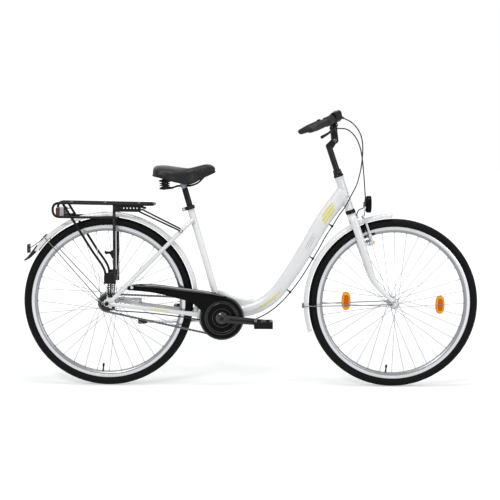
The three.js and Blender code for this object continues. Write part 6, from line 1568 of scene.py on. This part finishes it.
def kickstand():
    """The folded leg with its rubber foot, and the bracket it turns in."""
    pivot = V(-205, 52, 262)
    stand_axis = V(0, math.cos(math.radians(16.5)), math.sin(math.radians(16.5)))
    stand = Shape().lathe(bush(5.2, 13, -7.5, 7.5), pivot, stand_axis, 48)
    foot_end = pivot + (V(-466.9, 52, 256.1) - pivot) * 1.026
    foot_start = foot_end + (pivot - foot_end) * 34 / 262
    stand.tube([lerp(pivot, foot_start, k / 20) + V(0, 0, -1.2 * math.sin(math.pi * k / 20)) for k in range(21)],
               lambda s: 7 - 0.6 * s, 28)
    piece("kickstand_leg", stand, steel, "side_stand", "kickstand")
    turned("kickstand_foot", rubber, "side_stand", "kickstand", "black_rubber", foot_start, unit(foot_end - foot_start),
           ([(6.4, -4), (7.6, -4), (8.2, -3.2), (8.2, -1.6), (8.8, 0), (8.8, 6), (9.4, 8), (9.4, 16), (9.9, 18),
             (9.9, 28), (9.4, 31), (7.6, 33.6), (0, 34)], 36))

    holder = Shape()
    holder.slab(tile(-225, -185, 269.4, 291, 4, 4), 28.2, 30.6, 0.7)
    holder.slab(tile(-225, -185, 271.5, 289, 4, 4), 41.8, 44.2, 0.7)
    holder.block((-225, 28.4, 270), (-185, 44, 276.5), 1.4)
    for x in (-216, -194):
        holder.screw(V(x, 36, 270.2), -Z, 5, 3.6)
    holder.lathe([(0, -19.6), (12.2, -19.6), (13, -18.8), (13, -8.6), (12.2, -7.9), (0, -7.9)], pivot, stand_axis, 48)
    holder.rod(pivot - stand_axis * 8, pivot + stand_axis * 8.4, 4.9, look=0)
    holder.screw(pivot + stand_axis * 7.4, stand_axis, 7.2, 1.9)
    piece("kickstand_mount", holder, cast, "frame", "kickstand_bracket")


kickstand()


# ---------------------------------------------------------------- front brake

def brake_arm(side, tag):
    """An arm on its boss, with the spring, the pad and the bolts."""
    boss, end = on_fork(44, side * BLADE_OUT, BOSS_UP), on_fork(44, side * 38, 381)
    out = Y * side
    path = [lerp(boss, end, k / 16) + out * 1.2 * math.sin(math.pi * k / 16) for k in range(17)]
    shape = Shape()
    shape.sweep(path, lambda s: strip(6.5 - 3 * s + 0.8 * math.exp(-((s - 0.3) / 0.12) ** 2), 4.4, 1.8), Y, 0)
    shape.lathe([(5.2, 0), (7.4, 0), (8, 0.6), (8, 8), (7.2, 9), (7.2, 14), (8, 15), (8, 24.2), (7.4, 24.8),
                 (5.2, 24.8)], on_fork(24, side * BLADE_OUT, BOSS_UP), AHEAD, 36)
    coil = []
    for k in range(73):
        a = 2 * math.pi * k / 18
        coil.append(on_fork(33 - k * 0.055, side * BLADE_OUT + 8.9 * math.cos(a), BOSS_UP + 8.9 * math.sin(a)))
    shape.tube(coil + [on_fork(29, side * 47.8, 290), on_fork(31, side * 45.5, 330)], 0.8, 8, 3)

    def pad_section(s):
        k = 1 - abs(2 * s - 1) ** 5 * 0.35
        return tile(-5.0 * k, 5.2 * k, -4.9, 4.9, 1.6)
    shape.sweep([on_fork(21 + 46 * k / 14, side * 18.8, 300) for k in range(15)], pad_section, Y, 1)
    shape.lathe([(0, 0), (6.6, 0), (7.4, 1), (6.4, 3), (4.2, 4), (4, 19), (0, 19)],
                on_fork(44, side * 22.8, 300), out, 28, 0)
    shape.nut(on_fork(44, side * 43.4, 300), out, 6.4, 5, 2)
    shape.lathe([(4, 0), (7, 0), (7, 1.4), (5.6, 3), (4, 3)], on_fork(44, side * 35, 300), out, 28, 0)
    shape.screw(on_fork(48.4, side * 38.4, 372), AHEAD, 3.8, 3, 2)
    shape.screw(on_fork(48.3, side * BLADE_OUT, BOSS_UP), AHEAD, 6.4, 1.6, 2)
    return piece("brake_arm_%s_set" % tag, shape, [cast, rubber, steel, chrome], tag + "_brake",
                 "brake_arm_" + tag)


for side, tag in SIDES:
    brake_arm(side, tag)


# ---------------------------------------------------------------- stem and handlebar

stem_pivot = on_fork(30, 0, 713)
bar_centre = V(328, 0, 1100)
stem_way = unit(bar_centre - stem_pivot)
stem_cross = V(stem_way[2], 0, -stem_way[0])
stem_reach = np.linalg.norm(bar_centre - stem_pivot)


def in_side_view(points):
    return [(p[0], p[2]) for p in points]


def stem_quill():
    quill = Shape().rod(on_fork(0, 0, 528), on_fork(0, 0, 698), 12.6, sides=48)
    head = in_side_view(on_fork(a, 0, u) for a, u in [(-12.6, 684), (12.6, 684), (30, 699), (43, 708), (43, 719),
                                                      (30, 727), (-8, 709), (-12.6, 704)])
    quill.slab(soften(head, 8, 6), -10, 10, 2.4, steps=4)
    quill.lathe(bush(4, 14, -10, 10), stem_pivot, Y, 48)
    quill.rod(stem_pivot - Y * 18.6, stem_pivot + Y * 18.6, 4, look=1)
    for side in (-1, 1):
        quill.lathe([(0, 0), (7.2, 0), (7.2, 0.8), (6.2, 1.2), (6, 3.4), (5.2, 4), (3, 4), (2.8, 2.2), (0, 2.2)],
                    stem_pivot + Y * side * 18.6, Y * side, 36, 1)
    return quill


def stem_arm():
    arm = Shape()
    arm.sweep([stem_pivot + stem_way * (16 + (stem_reach - 16) * k / 12) for k in range(13)],
              lambda s: oval(15 - 1.6 * math.sin(math.pi * s), 15, 44, 2.3), Y)
    neck = stem_pivot + stem_way * 32
    cheek = in_side_view([stem_pivot + stem_cross * -14, stem_pivot + stem_cross * 14, neck + stem_cross * 13.4,
                          neck - stem_cross * 13.4])
    for side in (-1, 1):
        arm.slab(disc((stem_pivot[0], stem_pivot[2]), 14, 40), side * 10.3, side * 18.3, 1.6)
        arm.slab(cheek, side * 10.3, side * 18.3, 1.2)
    return arm.lathe(bush(13.3, 19, -21, 21), bar_centre, Y, 56)


piece("stem_quill_forged", stem_quill(), [black_gloss, dark_steel], "quill", "stem_quill")
piece("stem_arm_forged", stem_arm(), black_gloss, "stem", "stem_arm", sharp=0, weld=1.2, smooth=3)


def stem_screws():
    """Two screws above and two below the bar."""
    fittings = Shape()
    for side in (-1, 1):
        for way in (stem_cross, -stem_cross):
            fittings.screw(bar_centre + way * 16.5 + Y * side * 13, way, 4.4, 3, 0)
    piece("stem_clamp_screws", fittings, steel, "stem")


stem_screws()

SWEEP, DROP = math.radians(38), math.radians(16)
GRIP_RUN = 215


def inward(side):
    return V(math.cos(DROP) * math.sin(SWEEP), -side * math.cos(DROP) * math.cos(SWEEP), math.sin(DROP))


def on_grip(side, t):
    return V(216, side * 322, 1055) + inward(side) * t


def grip_axes(side):
    """The grip's way inwards, its way down, and the level way across it."""
    inn = inward(side)
    down = unit(-Z + inn * inn[2])
    return inn, down, np.cross(inn, down) * -side


bar_bends = {side: V(328, side * 62, 1100) for side in (-1, 1)}


def handlebar():
    """The bent tube, thicker in the stem."""
    bar_corners = [on_grip(-1, 0), on_grip(-1, GRIP_RUN), bar_bends[-1],
                   bar_bends[1], on_grip(1, GRIP_RUN), on_grip(1, 0)]
    bar_shape = Shape()
    bar_shape.tube(even_path(rounded(bar_corners, 36, 16), 5), 11, 32)
    bar_shape.rod(bar_centre - Y * 30, bar_centre + Y * 30, 12.7, sides=48, bevel=1.2)
    piece("handlebar_tube", bar_shape, black_gloss, "bar", "handlebar")


handlebar()

bar_in, bar_down, bar_level = grip_axes(-1)


def grip_stations(length):
    """Distances along a grip and its radius there: a round end, ribs and a flange."""
    stations = [(-5.2, 6), (-5.3, 12), (-4.6, 14.4), (-3, 15.6), (-1, 16)]
    t = 0.0
    while t < length - 7:
        wave = 0.55 if int(t / 2.4) % 2 and 10 < t < length - 12 else 0
        stations.append((t, 16 - wave))
        t += 1.2
    return stations + [(length - 5, 16), (length - 4, 18.4), (length - 3.4, 19), (length - 0.8, 19), (length, 18.4),
                       (length, 11.4)]


def grip(side, tag, length):
    """A ribbed grip with a palm rest that fades out along it."""
    _, down, level = grip_axes(side)
    rings = []
    for t, r in grip_stations(length):
        wing = 4.2 * max(0, 1 - max(t, 0) / (length * 0.62)) ** 1.3
        tall = r * (0.74 + 0.26 * min(1, max(t, 0) / 46))
        ring = []
        for c, s in circle(1, 48):
            flat = r + wing * max(0, c) ** 1.4 - wing * 0.25 * abs(s)
            ring.append(on_grip(side, t) - level * flat * c + down * tall * s)
        rings.append(ring)
    return piece("grip_%s_ribbed" % tag, Shape().loft(rings), rubber, "bar", "grip_" + tag, sharp=50)


grip(-1, "right", 116)
grip(1, "left", 128)


def twist_grip():
    twist = Shape()
    start, length, steps, sides = 116.6, 39.4, 40, 120
    rings = []
    for k in range(steps + 1):
        knurled = 3 < k < 34
        ring = []
        for j, (c, s) in enumerate(circle(1, sides)):
            valley = 0.81 if knurled and j % 6 >= 3 else 0
            r = (17.6 if k in (0, steps) else 18) - valley
            ring.append(on_grip(-1, start + length * k / steps) + bar_level * r * c + bar_down * r * s)
        rings.append(ring)
    twist.loft(rings)
    collar = [(17, 33), (18, 33.6), (18, 38.6), (17.4, 39.4), (17, 39.4)]
    return twist.lathe(collar, on_grip(-1, start), bar_in, 60, 1)


piece("twist_grip_knurled", twist_grip(), [rubber, grey_plastic], "shifter", "twist_grip", sharp=35)

lever_out = bar_down * math.cos(math.radians(10)) - bar_level * math.sin(math.radians(10))
lever_hinge = np.cross(bar_in, lever_out)
LEVER_AT, LEVER_OUT = 165, 26


def by_grip(t, out, across=0):
    return on_grip(-1, t) + lever_out * out + lever_hinge * across


house_start, house_rise = on_grip(-1, 156.7), bar_down * -12 + bar_level * -6


def shift_housing():
    house = Shape()
    house.lathe([(12, 0), (18.8, 0), (20, 1.4), (20, 42), (18.6, 45.8), (12, 45.8)], house_start, bar_in, 56)
    house.lathe([(0, 0), (12.6, 0), (14, 1.4), (14, 42), (12.4, 45.8), (0, 45.8)], house_start + house_rise, bar_in, 40)
    for side in (-1, 1):
        a = side * 6.8
        house.rod(by_grip(LEVER_AT, 0, a), by_grip(LEVER_AT, 22, a), 3)
        house.rod(by_grip(LEVER_AT, LEVER_OUT, side * 5.3), by_grip(LEVER_AT, LEVER_OUT, side * 8.3), 9, sides=32)
        house.bar(by_grip(LEVER_AT, 8, a), by_grip(LEVER_AT, LEVER_OUT, a), 1.5, 7.5, lever_hinge, 0.6)
    return house


def housing_fittings():
    """The lever's hinge pin, a ribbed boot on each cable, and a round cap."""
    detail = Shape().rod(by_grip(LEVER_AT, LEVER_OUT, -8.9), by_grip(LEVER_AT, LEVER_OUT, 8.9), 2.5, look=1)
    boot = [(2.6, -0.4), (3.8, 0), (4, 2)]
    for k in range(9):
        r, t = 4.2 + 0.16 * k, 4 + 3 * k
        boot += [(r + 0.55, t), (r + 0.55, t + 1.6), (r, t + 2), (r, t + 2.8)]
    boot += [(6, 31.5), (6, 34), (2.6, 34)]
    for route in (shift_route, brake_route):
        detail.lathe(boot, V(*route[0]), V(*route[0]) - V(*route[1]), 28, 0)
    top = house_start + bar_in * 23 + house_rise + bar_down * -13.2
    return detail.lathe([(0, 0), (8.6, 0), (8.6, 0.9), (7.8, 1.3), (0, 1.5)], top, -bar_down, 40, 2)


def brake_lever():
    lever = Shape()
    points = spline([by_grip(LEVER_AT - back * 108, LEVER_OUT + out * 20) for back, out in
                     [(0, 0), (0.2, 0.55), (0.5, 0.85), (0.8, 0.95), (1, 1)]], 44)

    def blade(s):
        return oval(5 - 0.8 * math.sin(math.pi * s), 6 - 1.4 * math.sin(math.pi * min(1, s * 1.1)), 28, 2.4)
    lever.sweep(points, blade, lever_hinge)
    lever.lathe(bush(2.7, 9, -5, 5), by_grip(LEVER_AT, LEVER_OUT), lever_hinge, 40)
    way = unit(points[-1] - points[-3])
    return lever.lathe([(0, -6), (3.4, -5.4), (5.2, -3), (5.8, 0), (5.2, 3), (3.4, 5), (0, 5.8)],
                       points[-1] - way * 5.6, way, 32)


piece("shift_housing_moulded", shift_housing(), plastic, "bar", "shift_brake_housing", sharp=0,
      weld=1.1, smooth=4)
piece("shift_housing_fittings", housing_fittings(), [rubber, steel, grey_plastic], "bar", "shift_brake_housing")
piece("brake_lever_blade", brake_lever(), plastic, "lever", "brake_lever")


def bell():
    inner, outer = bar_bends[1], on_grip(1, GRIP_RUN)
    seat = lerp(inner, outer, (112 - inner[1]) / (outer[1] - inner[1]))
    along = unit(outer - inner)
    hang = V(-math.sin(math.radians(15)), 0, -math.cos(math.radians(15)))
    shape = Shape().lathe(bush(11.4, 14.3, -5, 5, 0.7, 0.8), seat, along, 48, 1)
    shape.rod(seat + hang * 12.5, seat + hang * 24.5, 3, look=1)
    dome = [(19 * r, 16 + 17 * t) for r, t in
            [(0, 1), (0.3, 0.975), (0.55, 0.9), (0.75, 0.77), (0.88, 0.6), (0.96, 0.38), (1, 0.12), (0.995, 0.02),
             (0.95, 0), (0.88, 0.34), (0.7, 0.62), (0.4, 0.82), (0, 0.88)]]
    shape.lathe(dome, seat, hang, 72, 0)
    shape.lathe([(0, 0), (2.6, 0), (2.6, 1.2), (1.6, 1.8), (0, 1.9)], seat + hang * 32.2, hang, 24, 0)
    shape.bar(seat + hang * 15 + along * 4, seat + hang * 17 - along * 20, 3, 1.1, np.cross(hang, along), 0.6, 1)
    return shape.rod(seat + hang * 15 - along * 20, seat + hang * 22 - along * 20, 3.4, sides=20, look=1)


piece("bell_dome", bell(), [chrome, powder], "bar", "bell")


# ---------------------------------------------------------------- seat post and saddle

turned("seat_post_tube", black_gloss, "seat_pillar", "seatpost", "black_paint", CRANK, SEAT_UP,
       ([(0, 335), (12.2, 335), (12.7, 336), (12.7, 546), (12, 548.6), (11, 550), (11, 564), (0, 564)], 48))


def saddle_clamp():
    """A turned clamp with a toothed ring and two nuts."""
    clamp_centre = V(-279.24, 0, 831)
    clamp = Shape()
    clamp_half = [(0, -29), (6, -29), (6, -27), (9, -27), (9, -25), (13.2, -25), (14, -24.2), (14, -18.6),
                  (13.2, -17.8), (13.2, -13), (14, -12.2)]
    clamp.lathe(mirrored(clamp_half), clamp_centre, Y, 56)
    for c, s in circle(13.6, 36):
        rib = clamp_centre + V(c, 0, s)
        clamp.rod(rib - Y * 17.2, rib - Y * 13.6, 0.7, sides=6, bevel=0.1)
    for side in (-1, 1):
        clamp.nut(clamp_centre + Y * side * 24.4, Y * side, 7, 4.4, 1)
    piece("saddle_clamp_set", clamp, [blue_steel, steel], "saddle", "saddle_clamp")


saddle_clamp()

SPRING_X, SPRING_Y = -357, 56


def saddle_rails():
    """Two bent wires, with a cup under each spring."""
    rails = Shape()
    for side in (-1, 1):
        spring_foot = V(SPRING_X, side * SPRING_Y, 0)
        wire = [V(x, side * y, z) for x, y, z in [(-173, 5.5, 888), (-221.2, 22, 838), (-251.2, 22, 827.5),
                                                  (-307.2, 22, 827.5), (-325, 37.3, 818), (SPRING_X, SPRING_Y, 818)]]
        rails.tube(even_path(rounded(wire, 14, 8), 3), 3.5, 18)
        rails.lathe([(0, 814.5), (17, 814.5), (18, 815.4), (18, 817), (16.6, 818.2), (16.6, 819.4), (18, 820.4),
                     (18, 822.4), (17.4, 822.7), (15.4, 822.7), (14.6, 820.6), (0, 820.6)], spring_foot, Z, 48)
        rails.nut(spring_foot + Z * 815, -Z, 6, 2.4)
    rails.slab(tile(-180, -169.6, 884.6, 889.6, 1.4), -11, 11, 1)
    rails.rod(V(-176.5, 0, 888), V(-176.5, 0, 893), 3.4)
    piece("saddle_rails_bent", rails, powder, "saddle", "saddle_rails")


saddle_rails()


def saddle_spring(side, tag):
    """A coil of two turns between two flat part-turns, under a round plate."""
    def on_coil(k, z):
        a = 2 * math.pi * k / 60
        return V(SPRING_X + 16 * math.cos(a), side * SPRING_Y + 16 * math.sin(a), z)
    path = [on_coil(-k, 827 - k / 10) for k in range(20, 0, -1)] + [on_coil(k, 827 + k / 8) for k in range(121)] \
        + [on_coil(k, 842 + k / 10) for k in range(1, 21)]
    spring = Shape().tube(path, 2, 12)
    spring.lathe([(0, 0), (17.2, 0), (18, 0.6), (18, 1.6), (0, 1.6)], V(SPRING_X, side * SPRING_Y, 844.6), Z, 40)
    piece("saddle_spring_%s_coil" % tag, spring, powder, "saddle", "saddle_spring_" + tag)


for side, tag in SIDES:
    saddle_spring(side, tag)

# Shares of the saddle's length, half width and height: where a section is, how wide, its top, and its lower edge.
saddle_shares = [(0, .5, .72, .45), (.03, .78, .87, .39), (.1, .95, .93, .35), (.22, 1, .92, .26), (.34, .93, .87, .15),
                 (.46, .7, .82, .06), (.56, .47, .81, 0), (.66, .34, .87, .08), (.76, .28, .95, .25),
                 (.85, .25, 1, .38), (.93, .22, .96, .49), (.98, .15, .85, .57), (1, .07, .72, .62)]
SADDLE_LENGTH, SADDLE_HALF, SADDLE_HEIGHT = 258, 106, 86
SADDLE_BACK, SADDLE_BASE = -405, 833
saddle_sections = spline([(s * SADDLE_LENGTH, h * SADDLE_HALF, t * SADDLE_HEIGHT, e * SADDLE_HEIGHT)
                          for s, h, t, e in saddle_shares], 72)


def short_of_ends(x):
    return min(max(x, 3), SADDLE_LENGTH - 3)


def saddle_ring(section, shrink=0.0, under=False, thick=20):
    """One cross-section of the saddle; the underside is the same arch, pulled in by the padding."""
    x, half, top, edge = section
    half, top = half - shrink, top - shrink
    if under:
        half, top = half - min(9, half * 0.4), top - min(thick, (top - edge) * 0.5)
    ring = []
    for i in range(41):
        a = math.pi * (i / 40 - 0.5)
        across = math.copysign(abs(math.sin(a)) ** 0.8, math.sin(a)) if i != 20 else 0
        rise = (top - edge) * max(math.cos(a), 0) ** 0.62
        ring.append(V(SADDLE_BACK + x, half * across, SADDLE_BASE + edge + rise))
    return ring


def blow_up(obj):
    """Puffs the padding out a little in a short cloth simulation, while its underside and edge stay put."""
    before = np.array([v.co[:] for v in obj.data.vertices])
    x, half_width, height, low_edge = np.array(saddle_sections).T * MM
    base = SADDLE_BASE * MM
    pinned = []
    for v in obj.data.vertices:
        half, top, edge = (np.interp(v.co.x, SADDLE_BACK * MM + x, values)
                           for values in (half_width, base + height, base + low_edge))
        across = abs(v.co.y) / max(half - 0.008, 0.002)
        up = max(v.co.z - edge, 0) / max(top - edge - 0.012, 0.002)
        if across ** 2.4 + up ** 2.4 < 1 or v.co.z < edge + 0.007:
            pinned.append(v.index)
    obj.vertex_groups.new(name="pins").add(pinned, 1.0, "REPLACE")
    cloth = obj.modifiers.new("cloth", "CLOTH")
    c = cloth.settings
    c.quality, c.mass, c.tension_stiffness, c.compression_stiffness, c.bending_stiffness = 6, 0.3, 40, 40, 4
    c.use_pressure, c.uniform_pressure_force, c.effector_weights.gravity = True, 4.0, 0.0
    c.vertex_group_mass = "pins"
    frames = 20
    cloth.point_cache.frame_start, cloth.point_cache.frame_end = 1, frames
    for f in range(1, frames + 1):
        scene.frame_set(f)
    moved = bpy.data.meshes.new_from_object(obj.evaluated_get(bpy.context.evaluated_depsgraph_get()))
    after = np.array([v.co[:] for v in moved.vertices])
    obj.modifiers.clear()
    step, furthest = after - before, 0.005
    step *= np.minimum(1, furthest / np.maximum(np.linalg.norm(step, axis=1), 1e-9))[:, None]
    obj.data.vertices.foreach_set("co", (before + step).ravel())
    obj.data.update()
    scene.frame_set(1)


def saddle_cover():
    rings = []
    for section in saddle_sections:
        section = (short_of_ends(section[0]), *section[1:])
        rings.append(saddle_ring(section, 2.2) + saddle_ring(section, 2.2, True)[::-1])
    obj = piece("saddle_cover_padded", Shape().loft(rings), vinyl, None, sharp=0, weld=4.2, smooth=4)
    blow_up(obj)
    fine = obj.modifiers.new("fine", "SUBSURF")
    fine.levels = fine.render_levels = 1
    apply_modifiers(obj)
    obj.vertex_groups.clear()
    obj.data.polygons.foreach_set("use_smooth", np.ones(len(obj.data.polygons), bool))
    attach(obj, "saddle")
    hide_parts("saddle_cover")


def saddle_base():
    """The stiff shell under the padding, with its cross plate and the springs' posts."""
    base = Shape().loft([saddle_ring(section, 3.5, True, 17) + saddle_ring(section, 6.5, True, 21)[::-1]
                         for section in saddle_sections[3:-3]])
    base.block((-376.5, -75.4, 846.6), (-325, 75.4, 851.2), 2)
    for side in (-1, 1):
        base.rod(V(SPRING_X, side * 28, 848), V(SPRING_X, side * 28, 892), 8)
        base.rod(V(SPRING_X, side * SPRING_Y, 846.5), V(SPRING_X, side * SPRING_Y, 853), 12)
    return base


def saddle_welt():
    left = [V(SADDLE_BACK + short_of_ends(x), half - 2.2, SADDLE_BASE + edge + 1.8)
            for x, half, top, edge in saddle_sections]
    right = [p * V(1, -1, 1) for p in reversed(left)]
    return Shape().tube(even_path(left + right + left[:1], 2.5)[:-1], 1.5, 10, closed=True, side=Z)


saddle_cover()
piece("saddle_base_shell", saddle_base(), plastic, "saddle", "saddle_cover", sharp=45)
piece("saddle_welt", saddle_welt(), vinyl, "saddle")


# ---------------------------------------------------------------- cables

def cable(name, route, first, last, bodies, replaced, radius=2.4, look=None):
    """A stretch of a cable: it rides on one body, and one that runs between two bodies rides on neither."""
    curve = spline(route, 16 * (len(route) - 1))
    marks = [min(range(len(curve)), key=lambda k: np.linalg.norm(curve[k] - V(*route[i]))) for i in (first, last)]
    path = even_path(curve[marks[0]:marks[1] + 1], 3.5)
    shape = Shape().tube(path, radius, 14, side=X if first < 12 else Y)
    single = len(bodies) == 1
    obj = piece(name, shape, look or housing_black, bodies[0] if single else None, replaced)
    if not single:
        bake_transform(obj)


def cable_front(name, route):
    """The stretches from the handlebar down to the fork, whose ends are the route's 1st, 5th, 9th and 11th point."""
    cable(name + "_bar", route, 0, 4, ("bar", "stem"), name)
    cable(name + "_stem", route, 4, 8, ("stem", "quill"), name)
    cable(name + "_quill", route, 8, 10, ("quill", "front_fork"), name)


def ferrule(name, route, at, body, profile):
    """A turned sleeve at a point of a route, which it follows."""
    tip = V(*route[at])
    turned(name, steel, body, (), None, tip, tip - V(*route[at - 1]), (profile, 24))


cable_front("brake_cable", brake_route)
cable("brake_noodle", brake_route, 10, 15, ("front_fork",), "brake_cable", 2.3, chrome)
cable_front("shift_cable", shift_route)
cable("shift_cable_fork", shift_route, 10, 14, ("front_fork", "frame"), "shift_cable")
cable("shift_cable_frame", shift_route, 14, 32, ("frame",), "shift_cable")
ferrule("shift_cable_end", shift_route, 32, "frame", [(2.5, -12), (3.4, -12), (3.6, -11), (3.6, 0), (2.5, 0.6)])
ferrule("brake_cable_ferrule", brake_route, 10, "front_fork", [(2.3, -5), (3.4, -5), (3.4, 5), (2.3, 5)])
